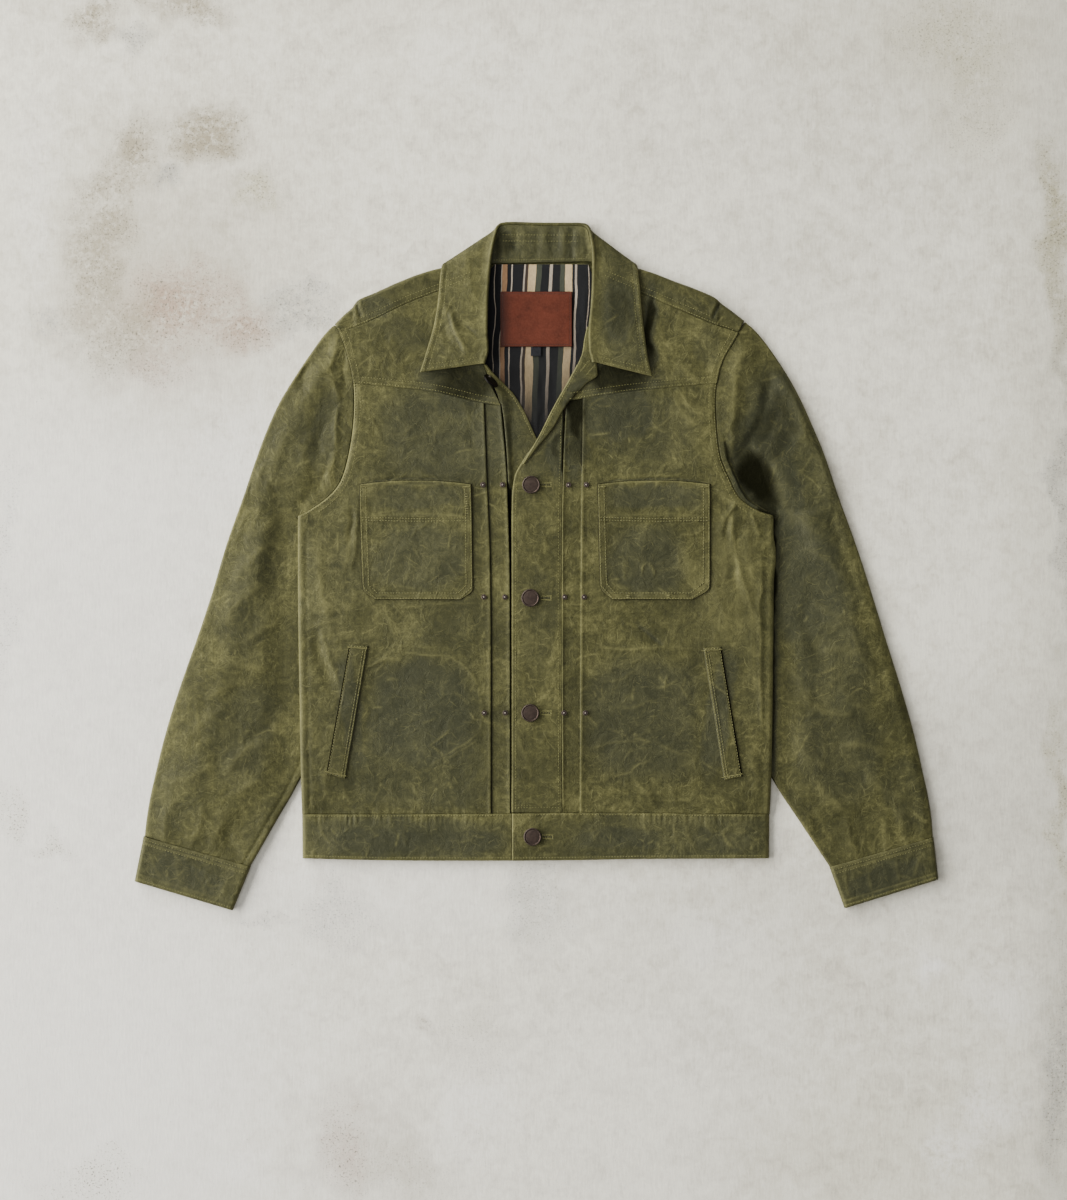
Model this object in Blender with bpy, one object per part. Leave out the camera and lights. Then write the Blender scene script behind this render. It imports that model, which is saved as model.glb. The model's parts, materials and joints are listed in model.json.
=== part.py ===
"""Waxed cotton jacket, men's medium, buttoned and laid flat on its back.

Metres, +Z up. The jacket lies on z = 0 with its hem towards -Y and its collar
towards +Y; the wearer's right side is on -X. The origin is on the floor under
the middle of the garment.

Every cut piece is a wall of cloth with its own plan outline and its own height.
Plan lines are short tables of rows; the heights come from a few functions, so a
piece that lies on another one is made from the lower one's surface, moved up.
All sizes below are in millimetres.
"""

import math

import bmesh
import bpy
import numpy as np
from mathutils import Matrix, Vector

for old in list(bpy.data.objects):
    bpy.data.objects.remove(old, do_unlink=True)

MM = 0.001

# ---------------------------------------------------------------- named sizes
SEAM = 0.3          # clearance between two pieces sewn to each other
HALF_SEAM = 0.2     # how far each side of the armhole seam is drawn back
CLOTH = 2.0         # front, back and sleeve walls: shell, interlining and lining
BAND_CLOTH = 2.4    # waistband and cuffs, doubled
COLLAR_CLOTH = 1.6
LINING_CLOTH = 1.0
PATCH_CLOTH = 1.6   # pocket patches and welts with their turned edges
LEATHER = 1.5
TAB_CLOTH = 1.0

SLEEVE_TOP = 4.4    # top of a sleeve where the body lies on it
LIFT = 4.8          # underside of the back where it lies on a sleeve
FALL_TOP = 1.6      # top of the collar fall where the yoke lies on it
YOKE_LIFT = 2.0     # underside of the yoke over the collar fall
FRONT_TOP = 7.9     # top of the fronts away from the edges
BAND_R_TOP = 5.4    # top of the under button band
PLACKET_TOP = 7.7   # top of the buttonhole band
FACING_LIFT = 8.7   # underside of the turned-out facing

YOKE_SEAM_BACK = 170.0
BUTTON_RADIUS = 10.0
BUTTON_SIDES = 20
RIVET_RADIUS = 3.0
RIVET_SIDES = 10


def table(columns, *rows):
    """Rows under named columns, as one array for each column."""
    return {name: np.array([row[i] for row in rows], float) for i, name in enumerate(columns.split())}


def smooth(xs, ys, x):
    """Monotone cubic through (xs, ys), held level outside them."""
    order = np.argsort(xs)
    xs, ys = np.asarray(xs, float)[order], np.asarray(ys, float)[order]
    step = np.diff(xs)
    rise = np.diff(ys) / step
    slope = np.zeros(len(xs))
    slope[0], slope[-1] = rise[0], rise[-1]
    for i in range(1, len(xs) - 1):
        if rise[i - 1] * rise[i] > 0:
            a, b = 2 * step[i] + step[i - 1], step[i] + 2 * step[i - 1]
            slope[i] = (a + b) / (a / rise[i - 1] + b / rise[i])
    x = np.clip(np.asarray(x, float), xs[0], xs[-1])
    k = np.clip(np.searchsorted(xs, x) - 1, 0, len(step) - 1)
    u = (x - xs[k]) / step[k]
    return (
        ys[k] * (1 + 2 * u) * (1 - u) ** 2
        + slope[k] * step[k] * u * (1 - u) ** 2
        + ys[k + 1] * u * u * (3 - 2 * u)
        + slope[k + 1] * step[k] * u * u * (u - 1)
    )


def along(rows, key, value):
    """A plan line as a function, from two columns of a table."""
    return lambda at: smooth(rows[key], rows[value], at)


def ease(value, low, high):
    """0 at low, 1 at high, soft at both ends."""
    u = np.clip((np.asarray(value, float) - low) / (high - low), 0, 1)
    return u * u * (3 - 2 * u)


# ---------------------------------------------------------------- plan lines
# The armhole seams, from the shoulder fold down to the underarm.
ARMHOLE_R = table("y x", (271, -226), (254, -218), (230, -211), (207, -206), (183, -205), (159, -206), (125, -211), (93, -221), (75, -237), (62, -256), (55, -268))
ARMHOLE_L = table("y x", (273, 233), (249, 220), (227, 208), (207, 203), (183, 201), (159, 202), (125, 206), (97, 217), (75, 229), (62, 249), (55, 266))
# Where every piece that meets an armhole seam has a point on it.
STATIONS = [262, 248, 234, 219, 205, 188, 170, 154, 138, 122, 108, 95, 84, 75, 67, 60, 55]

# The side edges of the body, from the underarm to the hem.
SIDE_R = table("y x", (55, -268), (7, -268), (-61, -267.5), (-151, -266), (-218, -265), (-279, -263.5), (-328.5, -263))
SIDE_L = table("y x", (55, 266), (36, 266), (26, 270), (12, 269), (-4, 266.5), (-61, 266), (-151, 265), (-218, 264), (-279, 262), (-328.5, 260))

# The shoulder fold, the forward shoulder seam and the notch of the action pleat.
SHOULDER_R = table("x y", (-226.5, 271.5), (-212, 285.8), (-204, 293), (-201.5, 297.5), (-187, 304), (-169, 312.8), (-147.5, 321.8), (-125, 330), (-108, 334.5), (-90, 337.5), (-75, 341))
SHOULDER_L = table("x y", (75, 341), (92, 338), (113, 334.5), (125, 331), (150, 321.5), (175, 312.5), (195, 303.5), (203, 299.5), (207, 295), (220, 286), (233.5, 275))
FORWARD_R = table("x y", (-222, 262), (-193, 272), (-142, 296), (-105, 310), (-66, 324))
FORWARD_L = table("x y", (70, 326), (108, 310), (145, 294), (168, 284), (199, 271), (227, 262))
NOTCH_R, NOTCH_L = -203.0, 205.0
NOTCH_STEP = 1.0

# The yoke seams of the fronts and the seam to the waistband.
YOKE_R = table("x y", (-206, 205), (-120, 196), (-56, 182), (-40, 180), (-26, 179))
YOKE_L = table("x y", (29, 184), (52, 188), (116, 197), (204, 205))
WAIST = table("x y", (-266, -279), (-26, -278), (30, -277), (264, -279))
HEM = table("x y", (-266, -328.5), (-140, -331), (-19, -331), (130, -329), (264, -328.5))

# The pleat folds. Each one faces the centre front.
PLEAT_R1 = table("y x", (188, -59), (108, -56), (7, -52), (-94, -51), (-279, -51))
PLEAT_R2 = table("y x", (184, -40), (97, -33), (-38, -29.5), (-279, -29))
PLEAT_L1 = table("y x", (190, 52), (52, 50), (-279, 48.5))
PLEAT_L2 = table("y x", (186, 33), (52, 30), (-279, 29.5))

# The neckline. The right front's edge runs on under the buttonhole band.
NECK_R = table("y x", (226, -56), (218, -50), (192, -25), (174, -14), (142, 1), (102, 27), (60, 28), (-279, 27))
BAND_R_SEAM = table("y x", (226, -60), (180, -40.5), (97, -33.5), (-38, -30), (-279, -29.5))
ROLL_L = table("y x", (226, 41), (204, 32), (172, 15.5), (142, 1), (99, -25), (78, -27.5), (52, -28), (-279, -28))
BAND_L_SEAM = table("y x", (226, 57.5), (184, 31.5), (52, 29.2), (-279, 28.7))
FACING_EDGE = table("y x", (214, 67), (197, 49), (172, 26), (145, 10), (114, -14))
YOKE_NECK_R = table("y x", (324, -66), (240, -65), (226, -60.5), (180, -40.2))
YOKE_NECK_L = table("y x", (326, 70), (240, 69), (226, 60.5), (184, 32.3))

# The sleeves. The inner edge runs under the body and comes out above the hem.
SLEEVE_R_OUT = table("x y", (-226.5, 271.5), (-233.4, 265.5), (-254, 238.5), (-272, 211.5), (-288.5, 184.5), (-301, 157.5), (-311.5, 130.5), (-330, 76.5), (-349, 22.5), (-365, -31.5), (-383, -85.5), (-402, -139.5), (-418.5, -193.5), (-431.5, -247.5), (-437, -274.5), (-440.5, -303.5))
SLEEVE_R_IN = table("x y", (-268, 55), (-260, 40), (-241, 8), (-230, -38), (-227, -94), (-234, -150), (-248, -198), (-266, -240), (-292, -286), (-321.5, -337.5))
SLEEVE_L_OUT = table("x y", (233.5, 275), (244.5, 265.5), (266, 238.5), (283.5, 211.5), (298, 184.5), (310, 157.5), (321.5, 130.5), (340, 76.5), (359.5, 22.5), (377, -31.5), (393.5, -85.5), (410.5, -139.5), (425.5, -193.5), (437.5, -247.5), (443, -274.5), (445.5, -304.5))
SLEEVE_L_IN = table("x y", (266, 55), (258, 40), (240, 8), (229, -38), (226, -94), (232, -150), (246, -198), (263, -236), (293, -283), (329.5, -338))
CUFF_R = table("x y side", (-441.5, -305, 0), (-451.5, -354, 0), (-341.2, -386.9, 1), (-321, -339.5, 1))
CUFF_L = table("x y side", (446, -306, 0), (451.5, -352, 0), (346, -384.5, 1), (329, -340, 1))


def path(rows, count, power=1.0):
    """Points spread along a table's own line, by length."""
    px, py = rows["x"], rows["y"]
    length = np.concatenate([[0], np.cumsum(np.hypot(np.diff(px), np.diff(py)))])
    at = length[-1] * np.linspace(0, 1, count) ** power
    return np.column_stack([smooth(length, px, at), smooth(length, py, at)])


def seam_points(armhole, inward, clear=HALF_SEAM):
    """The armhole seam at its stations, drawn back across the seam by clear."""
    ys = np.array(STATIONS, float)
    points = np.column_stack([smooth(armhole["y"], armhole["x"], ys), ys])
    run = np.gradient(points, axis=0)
    run /= np.linalg.norm(run, axis=1)[:, None]
    side = np.column_stack([-run[:, 1], run[:, 0]])
    return points + inward * clear * side


# ---------------------------------------------------------------- heights
SIDE_TOP = table("y z", (262, 8.3), (150, 8.3), (95, 8.6), (60, 9.1), (-247, 9.1), (-279, 5.4))
# Where the body comes down off the sleeve: the upper line of the ramp in plan.
RAMP_R = table("y x", (170, -160), (95, -186), (50, -232), (8, -232), (-38, -222), (-94, -219), (-150, -226), (-198, -240), (-240, -250), (-279, -240))
RAMP_L = table("y x", (170, 160), (95, 186), (50, 230), (8, 231), (-38, 221), (-94, 218), (-150, 224), (-198, 238), (-240, 248), (-279, 238))
RAMP = 34.0
# Broad soft hollows of the fronts: where they lie, how far they reach, how deep.
FRONT_HOLLOWS = table(
    "x y half_x half_y depth",
    (-125, -62, 90, 20, 1.1),
    (-110, 150, 60, 30, 1.2),
    (-130, -250, 70, 22, 1.2),
    (120, -66, 80, 20, 1.1),
    (125, 152, 60, 28, 1.2),
    (150, -252, 80, 20, 1.2),
)
# Broad folds of the sleeves: from (x1, y1) to (x2, y2), half width and height.
SLEEVE_FOLDS = table(
    "x1 y1 x2 y2 half_width height",
    (-262, 118, -330, -40, 20, 1.5),
    (-300, 60, -372, -200, 16, 1.2),
    (-345, -150, -400, -262, 18, 1.3),
    (-290, -240, -352, -318, 18, -1.4),
    (-285, 90, -270, 20, 18, -1.6),
    (284, 130, 372, -120, 18, 1.6),
    (252, 120, 274, 30, 22, -2.0),
    (330, -120, 398, -262, 18, 1.3),
    (300, 10, 318, -120, 22, -1.4),
    (232, 236, 262, 160, 14, 1.2),
    (-236, 236, -262, 160, 14, 1.0),
)


def front_top(x, y):
    """Top of the fronts, away from their pleats."""
    x, y = np.asarray(x, float), np.asarray(y, float)
    inside = np.where(x < 0, x - smooth(RAMP_R["y"], RAMP_R["x"], y), smooth(RAMP_L["y"], RAMP_L["x"], y) - x)
    edge = smooth(SIDE_TOP["y"], SIDE_TOP["z"], y)
    low = FRONT_TOP - 0.9 * ease(-y, 225, 279)
    z = edge + (low - edge) * np.clip((inside - 7) / (RAMP + 3), 0, 1)
    for i in range(len(FRONT_HOLLOWS["x"])):
        row = {key: FRONT_HOLLOWS[key][i] for key in FRONT_HOLLOWS}
        d = ((x - row["x"]) / row["half_x"]) ** 2 + ((y - row["y"]) / row["half_y"]) ** 2
        z = z - row["depth"] * np.exp(-1.6 * d)
    return z


def sleeve_top(x, y, edge_distance):
    """Top of a sleeve: low where the body lies on it and along its outer fold."""
    x, y = np.asarray(x, float), np.asarray(y, float)
    side = np.where(x < 0, -smooth(SIDE_R["y"], SIDE_R["x"], y) + x * 1, 0.0)
    clear = np.where(x < 0, smooth(SIDE_R["y"], SIDE_R["x"], y) - x, x - smooth(SIDE_L["y"], SIDE_L["x"], y))
    pressed = np.where(y > 62, 1.0, ease(clear, 14, 46))
    pressed = np.where((y > 62) & (y < 130), np.maximum(ease(y, 62, 120), ease(clear, 14, 46)), pressed)
    z = SLEEVE_TOP + (7.2 - SLEEVE_TOP) * pressed * ease(edge_distance, 0, 26)
    for i in range(len(SLEEVE_FOLDS["x1"])):
        row = {key: SLEEVE_FOLDS[key][i] for key in SLEEVE_FOLDS}
        dx, dy = row["x2"] - row["x1"], row["y2"] - row["y1"]
        length = math.hypot(dx, dy)
        u = ((x - row["x1"]) * dx + (y - row["y1"]) * dy) / length**2
        v = ((x - row["x1"]) * dy - (y - row["y1"]) * dx) / length
        z = z + row["height"] * np.exp(-1.4 * (v / row["half_width"]) ** 2) * ease(u, -0.15, 0.25) * ease(-u, -1.15, -0.75) * pressed * ease(edge_distance, 0, 26)
    return np.clip(z, SLEEVE_TOP, 7.95) + 0 * side


def yoke_lift(x, y):
    """How far the back yoke is off the floor where the collar fall lies under it."""
    return YOKE_LIFT * np.clip((np.asarray(y, float) - 276) / 26, 0, 1) * ease(-np.abs(np.asarray(x, float)), -150, -116)


def lining_top(x, y):
    return CLOTH + SEAM + LINING_CLOTH + yoke_lift(np.zeros_like(np.asarray(x, float)), y)


# ---------------------------------------------------------------- builders
ROOT = bpy.data.objects.new("waxed_cotton_jacket", None)
bpy.context.scene.collection.objects.link(ROOT)

FINISHES = {
    # name: (red, green, blue, roughness, metallic)
    "waxed_cotton": (0.107, 0.104, 0.034, 0.55, 0.0),
    "lining_cotton": (0.030, 0.031, 0.034, 0.85, 0.0),
    "label_leather": (0.205, 0.043, 0.022, 0.55, 0.0),
    "tab_cotton": (0.008, 0.010, 0.022, 0.80, 0.0),
    "antique_metal": (0.080, 0.052, 0.048, 0.45, 0.9),
}


def add(name, points, faces, finish):
    """One piece: its points in millimetres, its faces turned outwards."""
    mesh = bpy.data.meshes.new(name)
    mesh.from_pydata([tuple(p * MM for p in point) for point in points], [], faces)
    work = bmesh.new()
    work.from_mesh(mesh)
    bmesh.ops.recalc_face_normals(work, faces=work.faces)
    work.to_mesh(mesh)
    work.free()
    mesh.shade_smooth()
    mesh.set_sharp_from_angle(angle=math.radians(35))
    material = bpy.data.materials.new(name + "_finish")
    material.use_nodes = True
    shader = material.node_tree.nodes["Principled BSDF"]
    red, green, blue, rough, metal = FINISHES[finish]
    shader.inputs["Base Color"].default_value = (red, green, blue, 1)
    shader.inputs["Roughness"].default_value = rough
    shader.inputs["Metallic"].default_value = metal
    mesh.materials.append(material)
    piece = bpy.data.objects.new(name, mesh)
    piece.parent = ROOT
    bpy.context.scene.collection.objects.link(piece)
    return piece


def wall(name, plan, top, thick, finish="waxed_cotton"):
    """A grid of plan points as a wall: its top at height top, its underside thick below."""
    rows, cols = top.shape
    thick = np.broadcast_to(thick, top.shape)
    upper = np.dstack([plan, top]).reshape(-1, 3)
    lower = np.dstack([plan, top - thick]).reshape(-1, 3)
    points = np.vstack([upper, lower])
    n = rows * cols

    def at(i, j):
        return i * cols + j

    faces = []
    for i in range(rows - 1):
        for j in range(cols - 1):
            a, b, c, d = at(i, j), at(i, j + 1), at(i + 1, j + 1), at(i + 1, j)
            faces += [(a, b, c), (a, c, d), (a + n, c + n, b + n), (a + n, d + n, c + n)]
    ring = [at(0, j) for j in range(cols)] + [at(i, cols - 1) for i in range(1, rows)]
    ring += [at(rows - 1, j) for j in range(cols - 2, -1, -1)] + [at(i, 0) for i in range(rows - 2, 0, -1)]
    for a, b in zip(ring, ring[1:] + ring[:1]):
        faces += [(a, a + n, b + n), (a, b + n, b)]
    return add(name, points, faces, finish)


def plate(name, outline, low, high, finish="waxed_cotton"):
    """A flat wall over a plan outline."""
    n = len(outline)
    points = [(x, y, high) for x, y in outline] + [(x, y, low) for x, y in outline]
    faces = [tuple(range(n)), tuple(range(2 * n - 1, n - 1, -1))]
    faces += [(i, (i + 1) % n, (i + 1) % n + n, i + n) for i in range(n)]
    return add(name, points, faces, finish)


def sheet_wall(name, grid, thick, skip=None, finish="waxed_cotton"):
    """A wall about a folded middle surface: half the cloth to each side of it."""
    rows, cols = grid.shape[:2]
    used, faces = {}, []

    def at(i, j):
        return used.setdefault((i, j), len(used))

    for i in range(rows - 1):
        for j in range(cols - 1):
            if skip is None or not skip(i, j):
                faces.append((at(i, j), at(i, j + 1), at(i + 1, j + 1), at(i + 1, j)))
    middle = np.zeros((len(used), 3))
    for (i, j), k in used.items():
        middle[k] = grid[i, j]
    normal = np.zeros_like(middle)
    edges = {}
    for face in faces:
        p = middle[list(face)]
        up = np.cross(p[2] - p[0], p[3] - p[1])
        up /= np.linalg.norm(up)
        for k in range(4):
            normal[face[k]] += up
            edge = (face[k], face[(k + 1) % 4])
            edges[edge] = True
    normal /= np.linalg.norm(normal, axis=1)[:, None]
    n = len(middle)
    points = np.vstack([middle + normal * thick / 2, middle - normal * thick / 2])
    solid = []
    for a, b, c, d in faces:
        solid += [(a, b, c), (a, c, d), (a + n, c + n, b + n), (a + n, d + n, c + n)]
    for a, b in edges:
        if (b, a) not in edges:
            solid += [(a, a + n, b + n), (a, b + n, b)]
    return add(name, points, solid, finish)


def guide_rows(first, others, top_edge, bottom_edge):
    """Plan points of each guide line, a row for each point of the first one."""
    first = np.asarray(first, float)
    t = (first[0, 1] - first[:, 1]) / (first[0, 1] - first[-1, 1])
    lines = [first]
    for line in others:
        x = line(np.interp(t, [0, 1], [first[0, 1], first[-1, 1]]))
        for _ in range(6):
            y = top_edge(x[:1])[0] + t * (bottom_edge(x[-1:])[0] - top_edge(x[:1])[0])
            x = line(y)
        lines.append(np.column_stack([x, y]))
    return lines


def fill(lines, counts):
    """Columns of plan points between neighbouring guide lines, and where the guides fall."""
    columns, marks = [lines[0]], [0]
    for one, two, count in zip(lines, lines[1:], counts):
        for k in range(1, count + 1):
            columns.append(one + (two - one) * k / count)
        marks.append(len(columns) - 1)
    return np.stack(columns, axis=1), marks


def rises_of(marks, rises):
    """Height added along each column, read between the guides."""
    return np.interp(np.arange(marks[-1] + 1), marks, rises)


# ---------------------------------------------------------------- the sleeves
# Which height on the outer fold each height on the inner line is joined to.
SLEEVE_ROWS = table("inner outer", (262, 267), (205, 232), (125, 152), (75, 92), (55, 62), (8, 8), (-94, -82), (-198, -178), (-286, -262), (-338, -305))
INNER_YS = [38, 20, 0, -30, -62, -94, -128, -162, -196, -228, -256, -284, -312]


def sleeve_plan(side, cols):
    armhole, out_rows, in_rows, sign = (
        (ARMHOLE_R, SLEEVE_R_OUT, SLEEVE_R_IN, -1) if side == "right" else (ARMHOLE_L, SLEEVE_L_OUT, SLEEVE_L_IN, 1)
    )
    inner = np.vstack([seam_points(armhole, sign), side_points({"y": in_rows["y"], "x": in_rows["x"]}, INNER_YS), [[in_rows["x"][-1], in_rows["y"][-1]]]])
    ys = smooth(SLEEVE_ROWS["inner"], SLEEVE_ROWS["outer"], inner[:, 1])
    ys[-1] = out_rows["y"][-1]
    outer = np.column_stack([smooth(out_rows["y"], out_rows["x"], ys), ys])
    shares = np.array([0, 0.07, 0.2, 0.36, 0.52, 0.68, 0.84, 1.0]) if cols == 8 else np.linspace(0, 1, cols)
    return outer[:, None] + (inner - outer)[:, None] * shares[None, :, None]


def side_points(rows, ys):
    ys = np.array(ys, float)
    return np.column_stack([smooth(rows["y"], rows["x"], ys), ys])


for side in ("right", "left"):
    plan = sleeve_plan(side, 8)
    step = np.linalg.norm(np.diff(plan, axis=1), axis=2)
    reach = np.concatenate([np.zeros((len(plan), 1)), np.cumsum(step, axis=1)], axis=1)
    top = sleeve_top(plan[..., 0], plan[..., 1], reach)
    top[0] = SLEEVE_TOP + 1.2 + 0.2 * np.arange(top.shape[1])
    top[-1] = np.minimum(top[-1], SLEEVE_TOP + 2.2)
    wall(f"sleeve_{side}_upper", plan, top, CLOTH)
    ring = [tuple(p) for p in plan[0]] + [tuple(p) for p in plan[1:, -1]]
    ring += [tuple(p) for p in plan[::-1, 0]]
    plate(f"sleeve_{side}_under", ring, 0, CLOTH)


def cuff(side):
    """A flattened band round the end of the sleeve, open at its hand end."""
    rows = CUFF_R if side == "right" else CUFF_L
    corner = np.column_stack([rows["x"], rows["y"]])
    start_out, end_out, end_in, start_in = corner
    half = (7.4 - BAND_CLOTH) / 2
    middle_z = half + BAND_CLOTH / 2
    around = []
    for k in range(5):
        angle = math.pi * (1.5 - k / 4)
        around.append((0, math.cos(angle), math.sin(angle)))
    around += [(s, 0, 1) for s in (0.25, 0.5, 0.75)]
    for k in range(5):
        angle = math.pi * (0.5 - k / 4)
        around.append((1, math.cos(angle), math.sin(angle)))
    around += [(s, 0, -1) for s in (0.75, 0.5, 0.25)]
    grid = []
    for t in (0, 0.5, 1):
        a = start_out + (end_out - start_out) * t
        b = start_in + (end_in - start_in) * t
        across = (b - a) / np.linalg.norm(b - a)
        inset = half + BAND_CLOTH / 2
        row = []
        for s, cos, sin in around + around[:1]:
            base = a + across * inset + (b - a - 2 * across * inset) * s
            p = base + across * cos * half
            row.append((p[0], p[1], middle_z + sin * half))
        grid.append(row)
    grid = np.array(grid)
    rows_n, cols_n = grid.shape[:2]
    cols_n -= 1
    n = rows_n * cols_n
    inner, outer = [], []
    for i in range(rows_n):
        ring = grid[i, :cols_n]
        centre = (start_in + end_in + start_out + end_out) / 4
        for j in range(cols_n):
            before, after = ring[j - 1], ring[(j + 1) % cols_n]
            flow = after - before
            across = (start_in - start_out) / np.linalg.norm(start_in - start_out)
            u = np.dot(flow[:2], across)
            w = flow[2]
            size = math.hypot(u, w)
            push = np.array([across[0] * -w / size, across[1] * -w / size, u / size])
            outer.append(ring[j] + push * BAND_CLOTH / 2)
            inner.append(ring[j] - push * BAND_CLOTH / 2)
    faces = []
    for i in range(rows_n - 1):
        for j in range(cols_n):
            k = (j + 1) % cols_n
            a, b, c, d = i * cols_n + j, i * cols_n + k, (i + 1) * cols_n + k, (i + 1) * cols_n + j
            faces += [(a, b, c), (a, c, d), (a + n, c + n, b + n), (a + n, d + n, c + n)]
    for i in (0, rows_n - 1):
        for j in range(cols_n):
            a, b = i * cols_n + j, i * cols_n + (j + 1) % cols_n
            faces += [(a, a + n, b + n), (a, b + n, b)]
    return add(f"cuff_{side}", np.vstack([outer, inner]), faces, "waxed_cotton")


cuff("right")
cuff("left")

# ---------------------------------------------------------------- the back
SEAM_R_IN = seam_points(ARMHOLE_R, 1)
SEAM_L_IN = seam_points(ARMHOLE_L, -1)
BACK_LIFT = table("y lift", (170, 0), (95, 0), (67, 1), (-245, 1), (-272, 0), (-279, 0))


def stations(seam, low, high):
    keep = [k for k, y in enumerate(STATIONS) if low - 0.01 <= y <= high + 0.01]
    return seam[keep]


SIDE_YS = [36, 12, -20, -60, -100, -140, -180, -212, -236, -256, -278.8]
BACK_OUT_R = np.vstack([stations(SEAM_R_IN, 55, 170), side_points(SIDE_R, SIDE_YS)])
BACK_OUT_L = np.vstack([stations(SEAM_L_IN, 55, 170), side_points(SIDE_L, SIDE_YS)])
BACK_OUT_R[0, 1] = BACK_OUT_L[0, 1] = YOKE_SEAM_BACK - 0.2
level_top = lambda x: np.full(np.shape(x), YOKE_SEAM_BACK - 0.2)
waist_line = lambda x: smooth(WAIST["x"], WAIST["y"], x) + 0.2


def shifted(rows, by):
    return lambda y: smooth(rows["y"], rows["x"], y) + by


others = [
    shifted(RAMP_R, 0), shifted(RAMP_R, 34), lambda y: np.full(np.shape(y), -90.0), lambda y: np.full(np.shape(y), 90.0),
    shifted(RAMP_L, -34), shifted(RAMP_L, 0), along({"y": BACK_OUT_L[:, 1][::-1], "x": BACK_OUT_L[:, 0][::-1]}, "y", "x"),
]
lines = guide_rows(BACK_OUT_R, others, level_top, waist_line)
lines[-1] = BACK_OUT_L.copy()
plan, marks = fill(lines, [1, 1, 1, 1, 1, 1, 1])
raised = np.array([1, 1, 0, 0, 0, 0, 1, 1.0])
lift = LIFT * raised[None, :] * smooth(BACK_LIFT["y"], BACK_LIFT["lift"], plan[:, :1, 1])
wall("back_panel", plan, CLOTH + lift, CLOTH)


YOKE_XS = [75, 90, 108, 130, 155, 180, 200.5, 206.5, 216, 226]
YOKE_YS = [302, 276, 262, 248, 234, 219, 205, 188, YOKE_SEAM_BACK + 0.2]
RAMP_TOP_Y, RAMP_LOW_Y = 302.0, 276.0


def shoulder(side):
    return (SHOULDER_R, FORWARD_R, SEAM_R_IN, -1) if side == "right" else (SHOULDER_L, FORWARD_L, SEAM_L_IN, 1)


def forward_seam(side):
    """Points of the forward shoulder seam, outwards from the neck, as the yoke meets it."""
    fold, forward, seam, sign = shoulder(side)
    points = []
    for x in YOKE_XS[:-2]:
        points.append((sign * x, float(smooth(forward["x"], forward["y"], sign * x))))
    tip = seam[0]
    points.append((sign * 215, float(smooth(forward["x"], forward["y"], sign * 215))))
    points.append((tip[0], tip[1] + 0.4))
    return np.array(points)


def back_yoke():
    angles = (90, 45, 0, -45, -90)
    halves = []
    for side in ("right", "left"):
        fold, forward, seam, sign = shoulder(side)
        seam_line = forward_seam(side)
        tip_x = abs(fold["x"][0 if sign < 0 else -1]) - 0.5
        tip_y = fold["y"][0 if sign < 0 else -1] - 0.5
        arm_y = np.concatenate([[tip_y], seam[:, 1]])
        arm_x = np.concatenate([[tip_x], np.abs(seam[:, 0])])
        arm = lambda y: float(np.interp(-y, -arm_y, arm_x))
        half = []
        for k, x in enumerate(YOKE_XS):
            x = min(x, tip_x)
            last = k == len(YOKE_XS) - 1
            fy = tip_y if last else float(smooth(fold["x"], fold["y"], sign * x))
            base = CLOTH / 2 + float(yoke_lift(x, 302))
            high = (7.6 if x < 112 else 7.9) - CLOTH / 2 - (NOTCH_STEP if x > 204 else 0)
            radius = (high - base) / 2
            centre_y, centre_z = fy - radius - CLOTH / 2, (high + base) / 2
            wx, wy = abs(seam_line[k][0]), seam_line[k][1] + 0.2
            if last:
                centre_y = min(centre_y, tip_y - 3.0)
                radius = min(radius, tip_y - centre_y)
            column = [(sign * wx, min(wy, centre_y - 1.0), high)]
            for angle in angles:
                a = math.radians(angle)
                py = centre_y + (tip_y - centre_y if last else radius) * math.cos(a)
                px = arm(py) if last else x
                column.append((sign * px, py, centre_z + (high - base) / 2 * math.sin(a)))
            share = float(ease(x, 110, 226))
            start = arm(min(centre_y, tip_y))
            for row, y in enumerate(YOKE_YS):
                y = min(y, centre_y - 2.0 * (row + 1)) if y > 262 or centre_y < 268 and y > 255 else y
                px = arm(y) if last else min(x + share * (arm(y) - start), arm(y) - 2.5 * (len(YOKE_XS) - 1 - k))
                column.append((sign * px, y, CLOTH / 2 + float(yoke_lift(px, y))))
            half.append(column)
        halves.append(half)
    right, left = halves
    centre = []
    for x in (-44, -15, 15, 44):
        column = [(x, 0, 0)] * 5 + [(x, 339.4 + 0.022 * (x - 8), CLOTH / 2 + YOKE_LIFT)]
        column += [(x, y, CLOTH / 2 + float(yoke_lift(x, y))) for y in YOKE_YS]
        centre.append(column)
    every = right[::-1] + centre + left
    first, last = len(right), len(right) + len(centre) - 1
    grid = np.array(every).transpose(1, 0, 2)
    return sheet_wall("back_yoke", grid, CLOTH, lambda i, j: i < 5 and first - 1 <= j <= last)


back_yoke()
hem_line = lambda x: smooth(HEM["x"], HEM["y"], x)
band_xs = np.linspace(-263.4, 261.6, 9)
outline = [(x, float(smooth(WAIST["x"], WAIST["y"], x)) - 0.2) for x in band_xs]
outline += [(x * 0.9985, float(hem_line(x))) for x in band_xs[::-1]]
plate("waistband_back", outline, 0, BAND_CLOTH)

# ---------------------------------------------------------------- the fronts
PLEAT_WALL = 2.6


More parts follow.
